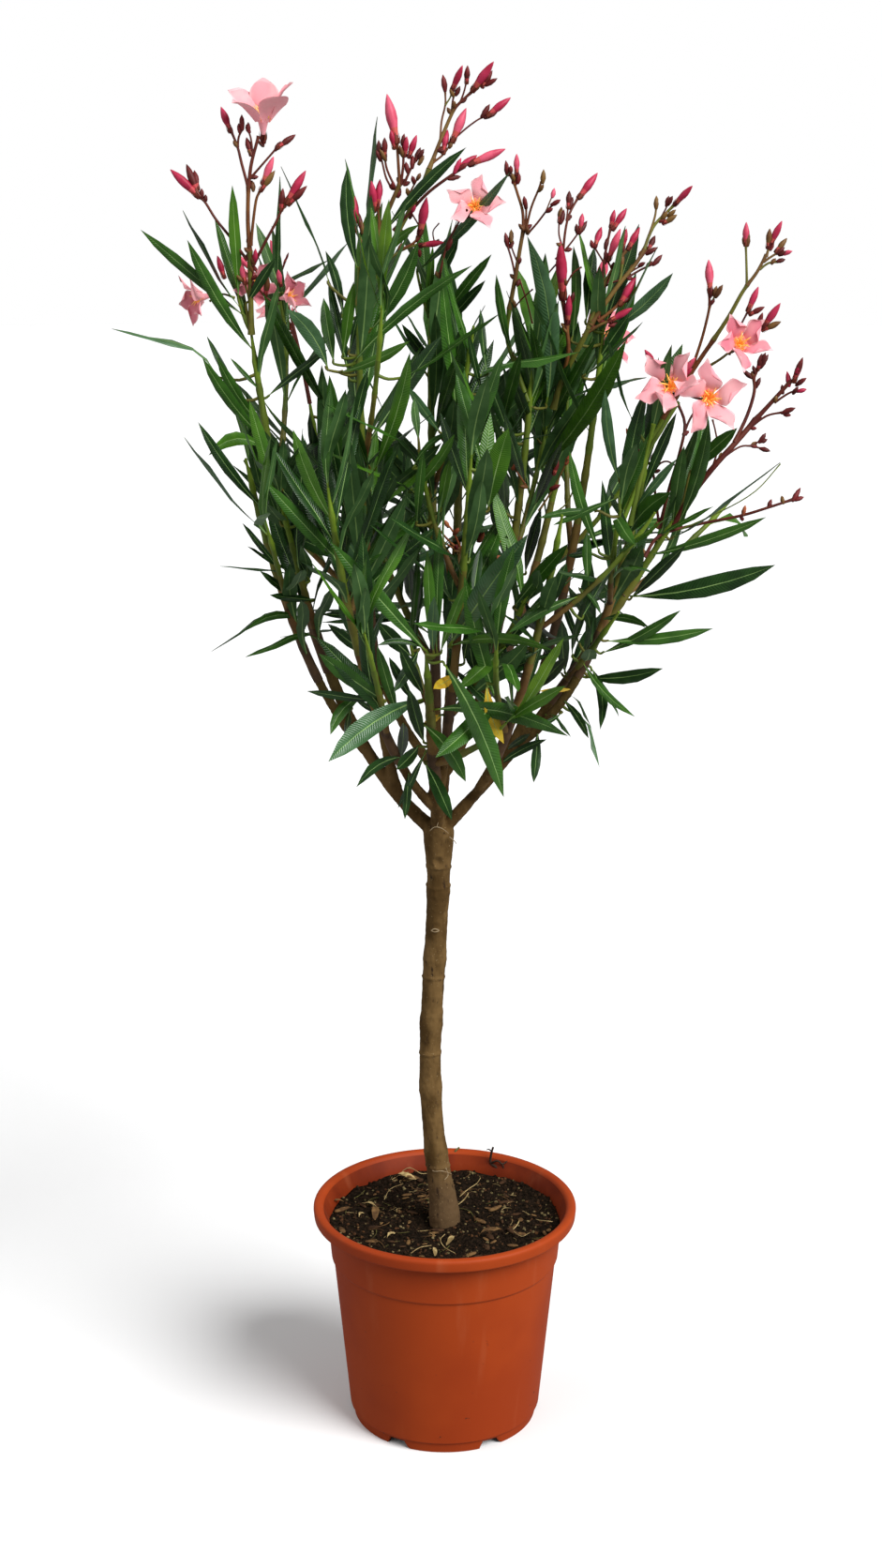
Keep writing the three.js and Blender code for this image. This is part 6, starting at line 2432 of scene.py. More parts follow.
@dataclass
class Stems:
    """The stems of all shoots and the stalks of all flowers."""

    step: float = 0.006
    rooted: float = 0.003
    stout: float = 1.05
    point_length: float = 0.024
    point_least: float = 0.45
    node_swell: float = 0.0005
    node_length: float = 0.0025
    node_pitch: float = 0.024
    steps: int = 4
    tint_span: float = 4.6
    side_youth: float = 0.6
    axis_points: int = 14
    axis_stout: float = 1.25
    stalk_stout: float = 1.15
    stalk_taper: tuple[float, float] = (1.25, 0.35)

    def shoot_path(self, shoot: Shoot, young: float) -> Path:
        """Returns a shoot's path, brown at its foot and bright green at its tip.

        Args:
            shoot: the shoot.
            young: how young its foot is, in steps of tint.

        Returns:
            The path.
        """
        count = max(8, round(shoot.line.length / self.step))
        shares = np.linspace(0, 1, count + 1)
        points, radii, tints = [], [], []
        for share in shares:
            points.append(shoot.line.point_at(share))
            down = (1 - share) * shoot.line.length
            from_node = (down + self.node_pitch / 2) % self.node_pitch - self.node_pitch / 2
            narrowing = self.point_least + (1 - self.point_least) * min(1.0, down / self.point_length)
            stem = shoot.radius(share) * self.stout * narrowing
            radii.append(stem + self.node_swell * narrowing * bump(from_node, self.node_length))
            tints.append(min(4, int(young + share * self.tint_span)))
        points[0] = points[0] - shoot.line.way(0) * self.rooted
        return Path(points, radii, tints)

    def bloom_paths(self, bloom: Bloom, cyme: Cyme, tint: int) -> list[Path]:
        """Returns the paths of a flower stalk's axis and branches.

        Args:
            bloom: the flower stalk.
            cyme: the sizes of the stalks.
            tint: the number of its finish.

        Returns:
            The paths.
        """
        ends = kept_ends(bloom)
        if not ends:
            return []
        shares = np.linspace(0, 1, self.axis_points)
        fat, thin = cyme.radius * self.axis_stout, cyme.tip_radius
        radii = [fat + (thin - fat) * share for share in shares]
        paths = [Path([bloom.line.point(s) for s in shares], radii, [tint] * len(shares))]
        shares = np.linspace(0, 1, self.steps + 1)
        wide, loss = self.stalk_taper
        radii = [thin * self.stalk_stout * (wide - loss * t) for t in shares]
        for end in ends:
            points = [end.foot + end.way * end.stalk * t for t in shares]
            paths.append(Path(points, radii, [tint] * len(shares)))
        return paths

    def build(self, boughs: list[Bough], limbs: Limbs, twigs: list[Path]) -> None:
        """Builds all stems and stalks, with more small twigs, as one piece.

        Args:
            boughs: the boughs with their shoots.
            limbs: the limbs' sizes.
            twigs: the paths of more twigs.
        """
        paths = list(twigs)
        for bough in boughs:
            for number, shoot in enumerate(bough.shoots):
                paths.append(self.shoot_path(shoot, self.side_youth if number else 0.0))
                if shoot.bloom and bough.plan.name not in HAND_SET_BLOOMS:
                    paths += self.bloom_paths(shoot.bloom, limbs.cyme, 5 + number % 2)
        piece = StemWork("stems", built(STEM_TINTS)).grow(paths)
        set_piece(piece, Slot.FOLIAGE)


@dataclass(frozen=True)
class BudForm:
    """A pointed, twisted bud of length 1: its half widths along it, and its calyx of narrow lobes."""

    fat: float = 1.0
    twist: float = 60.0
    calyx_end: float = 0.24
    lobes: int = 5
    sides: int = 8
    profile: tuple[tuple[float, float], ...] = (
        (0.0, 0.038),
        (0.05, 0.066),
        (0.18, 0.066),
        (0.33, 0.082),
        (0.50, 0.108),
        (0.64, 0.104),
        (0.79, 0.076),
        (0.91, 0.040),
        (0.99, 0.008),
    )
    groove: float = 0.9
    lobe: tuple[tuple[float, float, float], ...] = ((0.02, 0.062, 0.034), (0.12, 0.074, 0.028))
    lobe_tip: tuple[float, float] = (0.076, 0.003)
    lobe_thick: float = 0.016

    def shape(self) -> Shape:
        """Returns the bud along +X: layer 0 its petals, 1 its calyx and 2 the petals' foot.

        Returns:
            The bud, one unit long.
        """
        rings = []
        for share, radius in self.profile:
            ring = []
            for j in range(self.sides):
                turn = 2 * math.pi * j / self.sides + math.radians(self.twist) * share
                r = radius * self.fat * (1.0 if j % 2 else self.groove)
                ring.append(np.array([share, r * math.cos(turn), r * math.sin(turn)]))
            rings.append(ring)
        shape = Shape()
        shape.add_rings(rings, [1, 1, 2, 0, 0, 0, 0, 0] if self.lobes else 0)
        steps = (*self.lobe, (self.calyx_end, *self.lobe_tip))
        for j in range(self.lobes):
            shape.add_lobe(steps, 2 * math.pi * j / self.lobes, self.lobe_thick, 1)
        return shape


SMALL_PROFILE = ((0.0, 0.050), (0.10, 0.075), (0.40, 0.108), (0.72, 0.085), (0.98, 0.010))
BUD_FORMS: tuple[BudForm, ...] = (
    BudForm(),
    BudForm(0.95, 90.0, 0.32),
    BudForm(1.0, 70.0, lobes=0, sides=6, profile=SMALL_PROFILE),
)


class FlowerLayer(IntEnum):
    """The layers of a flower, in the order of their finishes."""

    PETAL = 0
    EDGE = 1
    BACK = 2
    THROAT = 3
    FRINGE = 4
    CALYX = 5


@dataclass(frozen=True)
class PetalForm:
    """A flower of five pointed petals like a pinwheel: how far they open, curl and draw to one side."""

    opening: float
    curl: float
    lop: float
    skew: float = 0.55
    length: float = 0.0295
    width: float = 0.0205
    tube: float = 0.019
    mouth: float = 0.0046
    shoulder: float = 0.70
    corner: float = 0.35
    blade_twist: float = 0.22
    ruffle: float = 0.0006
    cut: float = 0.46
    rows: int = 10
    columns: tuple[float, ...] = (-1.0, -0.88, -0.42, 0.0, 0.42, 0.88, 1.0)
    petals: int = 5
    petal_thick: float = 0.0006
    petal_pitch: float = 72
    petal_waver: tuple[float, float] = (7, 2.4)
    foot_place: tuple[float, float] = (0.78, 0.8)
    foot_opening: float = 0.3
    wall: tuple[tuple[float, float], ...] = ((0.0, 0.0014), (0.3, 0.0016), (0.58, 0.0028), (0.82, 0.0040))
    wall_sides: int = 10
    inside: float = 0.86
    inside_step: float = 0.0002
    sepal: tuple[tuple[float, float, float], ...] = (
        (-0.001, 0.0012, 0.0014),
        (0.003, 0.0026, 0.0012),
        (0.0078, 0.0030, 0.0001),
    )
    sepal_turn: float = 0.3
    fringe: int = 15
    fringe_place: tuple[float, float] = (0.84, 0.78)
    fringe_length: float = 0.0052
    fringe_spread: tuple[float, float] = (0.0030, 0.0008)
    fringe_bow: float = 0.0005
    fringe_radii: tuple[float, ...] = (0.0007, 0.0006, 0.0002)
    stamens: int = 5
    stamen_turn: float = 0.5
    stamen_place: tuple[float, float] = (0.5, 0.0014)
    stamen: tuple[tuple[float, float, float], ...] = (
        (0.008, 0.0008, 0.0),
        (0.0135, 0.0024, 0.002),
        (0.0165, 0.0052, 0.0040),
    )
    stamen_radii: tuple[float, ...] = (0.0006, 0.0009, 0.0007, 0.0002)

    def half_width(self, t: float) -> float:
        """Returns a petal's half width at a share of its length, widest at its shoulder.

        Args:
            t: the share of the petal's length.

        Returns:
            The half width.
        """
        if t < self.shoulder:
            return self.width / 2 * (0.26 + 0.74 * (t / self.shoulder) ** 0.9)
        return self.width / 2 * (1 - 0.58 * ((t - self.shoulder) / (1 - self.shoulder)) ** 2)

    def shortening(self, v: float) -> float:
        """Returns what is missing of a petal's length at a place across it: it ends in one pointed corner."""
        side, share = (1 + self.corner, 1.0) if v < self.corner else (1 - self.corner, 0.5)
        return self.cut * share * (abs(v - self.corner) / side) ** 1.3

    def petal(self, turn: float, opening: float) -> np.ndarray:
        """Returns one petal's middle points as rows from its foot by columns across.

        Args:
            turn: its turn about the flower's axis, in degrees.
            opening: how far it opens from the axis, in degrees.

        Returns:
            The grid of points.
        """
        axis = np.array([1.0, 0.0, 0.0])
        out = turned_about(np.array([0.0, 1.0, 0.0]), axis, turn)
        side = np.cross(axis, out)
        grid = np.zeros((self.rows, len(self.columns), 3))
        down, away = self.foot_place
        position = axis * self.tube * down + out * self.mouth * away
        angle = opening * self.foot_opening
        for i in range(self.rows):
            t = i / (self.rows - 1)
            way = axis * math.cos(math.radians(angle)) + out * math.sin(math.radians(angle))
            normal = axis * math.sin(math.radians(angle)) - out * math.cos(math.radians(angle))
            half = self.half_width(t)
            draw = side * self.skew * self.width * t**2.2 * 0.5
            for j, v in enumerate(self.columns):
                cup = -normal * half * ((0.44 - 0.60 * t) * v * v + self.blade_twist * v * t)
                ruffle = normal * self.ruffle * math.sin(6 * t + 2.5 * v + turn) * t
                cut = way * self.length * self.shortening(v) * t**1.5
                grid[i, j] = position + side * half * v + draw + cup + ruffle - cut
            angle = opening * (self.foot_opening + 0.75 * min(1.0, (t + 0.1) * 2.2))
            angle += self.curl * max(0.0, t - 0.45) * 2
            position = position + way * self.length / (self.rows - 1)
        return grid

    def shape(self) -> Shape:
        """Returns the flower along +X.

        Returns:
            The flower, in metres.
        """
        shape = Shape()
        waver, step = self.petal_waver
        for j in range(self.petals):
            opening = self.opening * (1 + self.lop * math.cos(2 * math.pi * j / self.petals))
            self.add_petal(shape, self.petal(self.petal_pitch * j + waver * math.sin(j * step), opening))
        self.add_tube(shape)
        self.add_fringe(shape)
        for j in range(self.petals):
            turn = 2 * math.pi * j / self.petals + self.sepal_turn
            shape.add_lobe(self.sepal, turn, self.petal_thick, FlowerLayer.CALYX)
        return shape

    def add_tube(self, shape: Shape) -> None:
        """Adds the tube, narrow at its foot and open at its mouth, with its inside lit by the throat's
        painted glow.

        Args:
            shape: the flower in the making.
        """
        rings = []
        turns = [2 * math.pi * k / self.wall_sides for k in range(self.wall_sides)]
        for share, radius in (*self.wall, (1.0, self.mouth)):
            along = self.tube * share
            rings.append([np.array([along, radius * math.cos(a), radius * math.sin(a)]) for a in turns])
        narrower = (1, self.inside, self.inside)
        inner = [[p * narrower - (self.inside_step, 0, 0) for p in ring] for ring in rings[:1:-1]]
        layers = [FlowerLayer.CALYX] + [FlowerLayer.BACK] * 3 + [FlowerLayer.THROAT] * 3
        shape.add_rings([*rings, *inner], layers)

    def add_fringe(self, shape: Shape) -> None:
        """Adds the short fringe round the mouth and the feathery ends of the stamens in it.

        Args:
            shape: the flower in the making.
        """
        for j in range(self.fringe):
            out, _ = round_ways(2 * math.pi * j / self.fringe)
            down, away = self.fringe_place
            foot = np.array([self.tube * down, 0, 0]) + out * self.mouth * away
            wide, narrow = self.fringe_spread
            tip = foot + np.array([self.fringe_length, 0, 0]) + out * (wide if j % 3 else narrow)
            middle = (foot + tip) / 2 + out * self.fringe_bow
            shape.add_tube([foot, middle, tip], self.fringe_radii, 4, FlowerLayer.FRINGE)
        for j in range(self.stamens):
            out, side = round_ways(2 * math.pi * j / self.stamens + self.stamen_turn)
            down, away = self.stamen_place
            foot = np.array([self.tube * down, 0, 0]) + out * away
            points = [foot + (x, 0, 0) + out * y + side * z for x, y, z in self.stamen]
            shape.add_tube([foot, *points], self.stamen_radii, 4, FlowerLayer.FRINGE)

    def add_petal(self, shape: Shape, grid: np.ndarray) -> None:
        """Adds one petal with a paler edge as a painted highlight, an orange foot above, and a deep back.

        Args:
            shape: the flower in the making.
            grid: the petal's points, row by row.
        """
        first = len(shape.faces)
        shape.add_lens(grid, self.petal_thick, FlowerLayer.PETAL, FlowerLayer.BACK)
        strips = len(self.columns) - 1
        for i in range(self.rows - 1):
            for j in range(strips):
                number = first + 2 * (i * strips + j)
                if i == 0:
                    shape.layers[number] = FlowerLayer.THROAT
                elif i == 1:
                    shape.layers[number] = FlowerLayer.BACK
                # The edge rows and columns take the painted highlight.
                elif i >= self.rows - 2 or j in (0, strips - 1):
                    shape.layers[number] = FlowerLayer.EDGE


FLOWER_FORMS: tuple[PetalForm, ...] = (
    PetalForm(80, 4, 0.10, 0.50),
    PetalForm(66, 14, 0.20, 0.42),
    PetalForm(84, -8, -0.12, 0.60, width=0.0200),
    PetalForm(50, 26, 0.36, 0.12, length=0.034, width=0.0225, shoulder=0.58, cut=0.16, blade_twist=0.10),
)


@dataclass
class Blossom:
    """The open flowers and the buds, with small side buds near the ends of the stalks."""

    bud: float = 0.031
    side_buds: int = 3
    facing: float = 0.8
    waver: float = 0.018
    waver_pitch: float = 14.0
    tip_waver: float = 0.008
    slim: float = 0.0031
    thick: float = 0.15
    long_bud: float = 0.024
    short_bud: float = 0.0145
    bract: float = 0.0065
    cluster_place: tuple[float, float] = (0.62, 0.36)
    cluster_turn: float = 2.4
    turn_spread: float = 1.2
    cluster_lean: tuple[float, float] = (26, 22)
    cluster_stalk: tuple[float, float] = (0.004, 0.010)
    cluster_size: tuple[float, float] = (0.24, 0.42)
    cluster_fat: tuple[float, float] = (0.9, 0.3)
    cluster_radii: tuple[float, ...] = (0.0009, 0.0007, 0.0008)
    end_fat: tuple[float, float] = (0.95, 0.25)
    seated: float = 0.0005
    bract_lean: float = 40
    end_taper: float = 0.82
    dark_below: float = 0.014
    form_width: float = 0.216
    stalk_swell: float = 0.35
    swell_length: float = 0.8
    stalk_sag: float = 0.002
    stalk_rise: float = 0.003
    stalk_end: float = 0.001
    stalk_radius: float = 0.0011

    def frame_of(self, way: Point, spin: float) -> tuple[Point, Point, Point]:
        """Returns three square ways, the first along `way`, turned about it by a spin in radians.

        Args:
            way: the first way.
            spin: the turn about it.

        Returns:
            The three ways.
        """
        side = unit(np.cross(way, UP if abs(way[2]) < 0.95 else TO_VIEWER))
        side = turned_about(side, way, math.degrees(spin))
        return way, side, np.cross(way, side)

    def cluster(self, end: BloomEnd, roll: Dice) -> tuple[list[Stand], list[Path]]:
        """Grows the small side buds near the end of a stalk.

        Args:
            end: the end of the stalk.
            roll: its row of random numbers.

        Returns:
            The buds and the paths of their stalks.
        """
        buds, paths = [], []
        for k in range(self.side_buds + roll.pick(3)):
            foot = end.foot + end.way * end.stalk * roll.grown(*self.cluster_place)
            out = self.frame_of(end.way, self.cluster_turn * k + roll.jitter(self.turn_spread))[1]
            way = leaning(end.way, out, roll.grown(*self.cluster_lean))
            stalk = roll.grown(*self.cluster_stalk)
            length = self.bud * roll.grown(*self.cluster_size)
            tip = foot + way * stalk
            fat = length * roll.grown(*self.cluster_fat)
            form = roll.pick(2)
            tint = 2 if length < self.dark_below else roll.pick(3)
            seat = tip - way * self.seated
            buds.append(Stand(seat, self.frame_of(way, k), (length, fat, fat), form, tint))
            paths.append(Path([foot, foot + way * stalk * 0.5, tip], self.cluster_radii, [5, 5, 5]))
        return buds, paths

    def spot(self, x: float, z: float, depth: float) -> Point:
        """Returns the point where the eye sees x, z, at a depth that wavers from place to place."""
        wave = noise.noise(Vector((x * self.waver_pitch / 1000, z * self.waver_pitch / 1000, depth * 100)))
        return seen_at(x, z, depth + self.waver * wave)

    def set_bud(self, foot: Point, tip: Point, tint: int, roll: Dice) -> Stand:
        """Returns the stand of a bud from its foot to its tip, slimmer the longer it is.

        Args:
            foot: the bud's foot.
            tip: its tip.
            tint: the number of its finish.
            roll: a row of random numbers.

        Returns:
            The stand.
        """
        tip = tip + TO_VIEWER * roll.jitter(self.tip_waver)
        length = float(np.linalg.norm(tip - foot))
        form = 0 if length > self.long_bud else 1 if length > self.short_bud else 2
        fat = (self.slim + self.thick * length) / self.form_width
        return Stand(foot, self.frame_of(unit(tip - foot), 6 * roll()), (length, fat, fat), form, tint)

    def by_hand(self) -> tuple[list[Stand], list[Path]]:
        """Returns the buds and the paths of all listed flower stalks.

        Returns:
            The buds and the paths.
        """
        buds, paths = [], []
        for number, sprig in enumerate(SPRIGS):
            roll = Dice(number, SPRIG_ROW)
            pairs = zip(sprig.course[::2], sprig.course[1::2])
            points = smoothed([self.spot(x, z, sprig.depth) for x, z in pairs])
            taper = np.linspace(1.0, self.end_taper, len(points))
            ends = [bump(i, self.swell_length) for i in range(len(points))]
            swell = [1 + self.stalk_swell * a + self.stalk_swell * b for a, b in zip(ends, ends[::-1])]
            radii = [sprig.radius * t * s for t, s in zip(taper, swell)]
            paths.append(Path(points, radii, [sprig.tint] * len(points)))
            for a, b, c, d, tint in zip(*(sprig.buds[k::5] for k in range(5))):
                foot, tip = self.spot(a, b, sprig.depth), self.spot(c, d, sprig.depth)
                buds.append(self.set_bud(foot, tip, tint, roll))
            if sprig.tint >= 5:
                lean = self.bract_lean * (1 if number % 2 else -1)
                out = turned_about(unit(points[1] - points[0]), TO_VIEWER, lean)
                buds.append(self.set_bud(points[0], points[0] + out * self.bract, 2 + number % 2, roll))
        return buds, paths

    def set_flowers(self, points: Sequence[Point]) -> tuple[list[Stand], list[Path]]:
        """Sets the listed open flowers, each joined to the nearest stalk.

        Args:
            points: points along the stalks.

        Returns:
            The flowers and the paths that join them.
        """
        flowers, paths = [], []
        for flower in FLOWERS:
            facing = unit(np.array(flower.facing))
            form = FLOWER_FORMS[flower.form]
            foot = seen_at(flower.x, flower.z, flower.depth / 1000) - facing * form.tube * flower.size
            near = min(points, key=lambda point: float(np.linalg.norm(point - foot)))
            middle = (near + foot) / 2 - UP * self.stalk_sag
            row = smoothed([near, middle, foot - facing * self.stalk_rise, foot + facing * self.stalk_end], 3)
            paths.append(Path(row, [self.stalk_radius] * len(row), [5] * len(row)))
            ways = self.frame_of(facing, flower.x * 0.7)
            flowers.append(Stand(foot, ways, (flower.size,) * 3, flower.form, flower.tint))
        return flowers, paths

    def build(self, boughs: list[Bough]) -> list[Path]:
        """Builds the flowers and the buds and returns the paths of the small stalks.

        Args:
            boughs: the boughs with their shoots.

        Returns:
            The paths.
        """
        buds, paths = self.by_hand()
        flowers, joining = self.set_flowers([point for path in paths for point in path.points])
        paths += joining
        for bough in boughs:
            if bough.plan.name in HAND_SET_BLOOMS:
                continue
            for number, shoot in enumerate(bough.shoots):
                for place, end in enumerate(kept_ends(shoot.bloom) if shoot.bloom else ()):
                    roll = Dice(bough.index, number, place, BUD_ROW)
                    more, stalks = self.cluster(end, roll)
                    buds += more
                    paths += stalks
                    if end.is_open:
                        facing = unit(end.way + TO_VIEWER * self.facing)
                        ways = self.frame_of(facing, end.spin)
                        tint, form = roll.pick(2), roll.pick(len(FLOWER_FORMS))
                        flowers.append(Stand(end.tip, ways, (1.0, 1.0, 1.0), form, tint))
                    else:
                        length = self.bud * end.size
                        fat = length * roll.grown(*self.end_fat)
                        ways = self.frame_of(end.way, end.spin)
                        buds.append(Stand(end.tip, ways, (length, fat, fat), roll.pick(2), roll.pick(2)))
        forms = [form.shape() for form in BUD_FORMS]
        spray = Spray("buds", forms, built(BUD_TINTS), built((CALYX, BUD_FOOT)))
        set_piece(spray.grow(buds), Slot.FOLIAGE)
        forms = [form.shape() for form in FLOWER_FORMS]
        fixed = built((PETAL_EDGE_HIGHLIGHT, PETAL_BACK, THROAT, FRINGE, CALYX))
        set_piece(Spray("flowers", forms, built(PETAL_TINTS), fixed).grow(flowers), Slot.FOLIAGE)
        log.info("%d buds and %d flowers", len(buds), len(flowers))
        return paths


@dataclass
class Wood:
    """The trunk and the boughs as one skin with the bark's relief."""

    limbs: Limbs
    voxel: float = 0.0013
    sides: int = 20
    foot_below: float = 0.006
    rings: tuple[float, ...] = (0.244, 0.353, 0.426, 0.511, 0.529)
    ring_depth: float = 0.0009
    ring_width: float = 0.0013
    ring_wobble: float = 0.0015
    coarse_pitch: tuple[float, float] = (55, 22)
    fine_pitch: float = 260
    streak_pitch: tuple[float, float] = (420, 90)
    knots: tuple[tuple[float, float, float, float], ...] = (
        (-90.0, 0.536, 0.0042, -0.0022),
        (-98.0, 0.473, 0.0050, 0.0009),
        (-30.0, 0.392, 0.0035, 0.0010),
    )
    coarse: float = 0.0006
    fine: float = 0.00035
    streak_share: float = 0.8
    wobble_pitch: tuple[float, float] = (90, 50)
    knot_squash: float = 0.7
    knot_core: float = 0.6
    knot_lip: tuple[float, float] = (0.0006, 0.0012)
    softening: tuple[float, int] = (0.5, 5)
    trunk_points: int = 60
    dome_height: float = 0.007
    dome_turns: tuple[int, ...] = (25, 50, 75)
    bough_points: int = 16
    bough_sides: int = 12
    bough_over: float = 0.01

    def rough(self, boughs: list[Bough]) -> Shape:
        """Returns the bare limbs as closed tubes that run into one another.

        Args:
            boughs: the boughs with their shoots.

        Returns:
            The limbs.
        """
        shape, trunk = Shape(), self.limbs.trunk
        shares = np.linspace(0, 1, self.trunk_points)
        points = [trunk.point(t) for t in shares]
        radii = [self.limbs.trunk_radius(t) for t in shares]
        points.insert(0, points[0] - UP * self.foot_below)
        radii.insert(0, radii[0])
        dome = radii[-1]
        for turn in self.dome_turns:
            points.append(trunk.point(1) + UP * self.dome_height * math.sin(math.radians(turn)))
            radii.append(dome * math.cos(math.radians(turn)))
        shape.add_tube(points, radii, self.sides)
        for bough in boughs:
            entry = bough.plan.entry
            shares = np.linspace(0, entry + self.bough_over, self.bough_points)
            points = [bough.line.point_at(s) for s in shares]
            radii = [self.limbs.leader_radius(bough.plan, s) for s in shares]
            shape.add_tube(points, radii, self.bough_sides)
        return shape

    def lift(self, point: Vector) -> float:
        """Returns how far the bark stands out at a point of the skin.

        Args:
            point: the point.

        Returns:
            The height of the relief there.
        """
        (x, y, z), trunk = point, self.limbs.trunk
        wide, tall = self.coarse_pitch
        height = self.coarse * noise.noise(Vector((x * wide, y * wide, z * tall)))
        height += self.fine * noise.noise(point * self.fine_pitch)
        wide, tall = self.streak_pitch
        height += self.fine * self.streak_share * abs(noise.noise(Vector((x * wide, y * wide, z * tall))))
        if z < trunk.head_height:
            wide, tall = self.wobble_pitch
            for ring in self.rings:
                wobble = self.ring_wobble * noise.noise(Vector((x * wide, y * wide, ring * tall)))
                height += self.ring_depth * bump(z - ring - wobble, self.ring_width)
            middle = trunk.point((z - trunk.foot_height) / (trunk.head_height - trunk.foot_height))
            heading = math.degrees(math.atan2(y - middle[1], x - middle[0]))
            lip, lip_width = self.knot_lip
            for turn, knot, size, depth in self.knots:
                aside = math.radians((heading - turn + 180) % 360 - 180) * self.limbs.radius
                away = math.hypot(aside, (z - knot) * self.knot_squash)
                height += depth * bump(away, size * self.knot_core) + lip * bump(away - size, lip_width)
        return height

    def build(self, boughs: list[Bough]) -> None:
        """Builds the skin, in the place of the trunk and all boughs.

        Args:
            boughs: the boughs with their shoots.
        """
        made = self.rough(boughs).to_object("trunk_and_boughs")
        remesh = made.modifiers.new("join", "REMESH")
        remesh.mode, remesh.voxel_size = "VOXEL", self.voxel
        smooth = made.modifiers.new("soften", "SMOOTH")
        smooth.factor, smooth.iterations = self.softening
        apply_modifiers(made)
        mesh = made.data
        moved = [v.co + v.normal * self.lift(v.co) for v in mesh.vertices]
        mesh.vertices.foreach_set("co", np.ravel([tuple(co) for co in moved]))
        mesh.update()
        mesh.polygons.foreach_set("use_smooth", [True] * len(mesh.polygons))
        mesh.materials.clear()
        mesh.materials.append(BARK.material())
        set_piece(made, Slot.BARK, ["trunk", *(f"bough_{bough.plan.name}" for bough in boughs)])


@dataclass
class Pot:
    """The turned pot: rolled rim, collar over the body, and a foot ring cut by notches."""

    rim_radius: float = 0.120
    rim_top: float = 0.208
    rim_height: float = 0.012
    rim_width: float = 0.008
    collar_top_radius: float = 0.107
    collar_foot_radius: float = 0.1035
    collar_foot: float = 0.156
    body_top_radius: float = 0.1015
    body_foot_radius: float = 0.0875
    foot_radius: float = 0.084
    foot_top: float = 0.009
    wall: float = 0.0022
    floor: float = 0.006
    ring_wall: float = 0.003
    notches: int = 6
    notch_height: float = 0.0068
    notch_turn: float = 7.0
    notch_slope: float = 3.0
    foot_edge: float = 0.002
    foot_inside: float = 0.05
    segments: int = 180

    def rounded(self, corners: Sequence[tuple[float, float, float]], steps: int = 5) -> Outline:
        """Rounds the corners of a profile.

        Args:
            corners: radius, height and rounding of each corner.
            steps: how many steps each arc has.

        Returns:
            The points of the profile.
        """
        points = []
        for i, (r, z, rounding) in enumerate(corners):
            here = np.array([r, z])
            if rounding == 0 or i in (0, len(corners) - 1):
                points.append((r, z))
                continue
            back = np.array(corners[i - 1][:2]) - here
            ahead = np.array(corners[i + 1][:2]) - here
            cut = min(rounding, np.linalg.norm(back) * 0.48, np.linalg.norm(ahead) * 0.48)
            start, end = here + unit(back) * cut, here + unit(ahead) * cut
            for t in np.linspace(0, 1, steps + 1):
                points.append(tuple((1 - t) ** 2 * start + 2 * t * (1 - t) * here + t * t * end))
        return points

    def profile(self) -> Outline:
        """Returns the profile from the underside's middle round the rim to the inner floor's middle.

        Returns:
            Points of radius and height.
        """
        lip = self.rim_top - self.rim_height
        step = 0.002
        corners = [
            (0.0, self.floor, 0),
            (self.foot_radius - self.ring_wall, self.floor, 0.001),
            (self.foot_radius - self.ring_wall, 0.0, 0.0006),
            (self.foot_radius, 0.0, 0.0006),
            (self.foot_radius + 0.0012, self.foot_top, 0.0008),
            (self.body_foot_radius, self.foot_top + 0.0016, 0.0008),
            (self.body_top_radius, self.collar_foot, 0.0006),
            (self.collar_foot_radius, self.collar_foot + step, 0.0012),
            (self.collar_top_radius, lip + 0.001, 0.0012),
            (self.rim_radius - 0.0012, lip - 0.0004, 0.0022),
            (self.rim_radius, self.rim_top - 0.0005, 0.0040),
            (self.rim_radius - self.rim_width, self.rim_top, 0.0040),
            (self.collar_top_radius - self.wall + 0.001, lip - 0.002, 0.004),
            (self.body_top_radius - self.wall, self.collar_foot, 0.002),
            (self.body_foot_radius - self.wall, self.floor + 0.002, 0.003),
            (0.0, self.floor + 0.002, 0),
        ]
        return self.rounded(corners)

    def zones(self, profile: Outline) -> list[int]:
        """Returns the layer of each step of the profile: 0 outside, 1 inside, with painted shade, and 2 in
        the hollow foot, near black with painted shade.

        Args:
            profile: the profile.

        Returns:
            The layers.
        """
        top = max(range(len(profile)), key=lambda i: profile[i][1])
        mouth, ring = self.rim_radius - self.rim_width - 0.001, self.foot_radius - self.ring_wall / 2
        zones = []
        for i in range(1, len(profile) - 2):
            widest = max(profile[i][0], profile[i + 1][0])
            zones.append(1 if i > top and widest < mouth else 2 if i < top and widest < ring else 0)
        return zones

    def build(self) -> None:
        """Builds the pot in the place of its CAD node."""
        shape = Shape()
        profile = self.profile()
        shape.add_lathe(profile, self.segments, self.zones(profile))
        half = self.notch_turn
        for i, (x, y, z) in enumerate(shape.vertices):
            if z > self.foot_edge or math.hypot(x, y) < self.foot_inside:
                continue
            turn = math.degrees(math.atan2(y, x)) % (360 / self.notches)
            away = min(turn, 360 / self.notches - turn) * (1 if turn < 180 / self.notches else -1)
            slope = (half - away) / self.notch_slope if away > 0 else half + away
            shape.vertices[i] = (x, y, z + self.notch_height * min(1.0, max(0.0, slope)))
        # The inner wall and the hollow foot take finishes of painted shade.
        piece = shape.to_object("pot_shell", built((POT_FINISH, POT_INSIDE_SHADED, POT_HOLLOW_SHADE)))
        set_piece(piece, Slot.POT, ["pot"])


@dataclass(frozen=True)
class LitterSort:
    """One sort of litter: its least size, how much larger it grows and how seldom, and its tints."""

    least: float
    more: float
    power: int
    first_tint: int
    tints: int
    slim: float = 1.0
    lift: float = 0.0


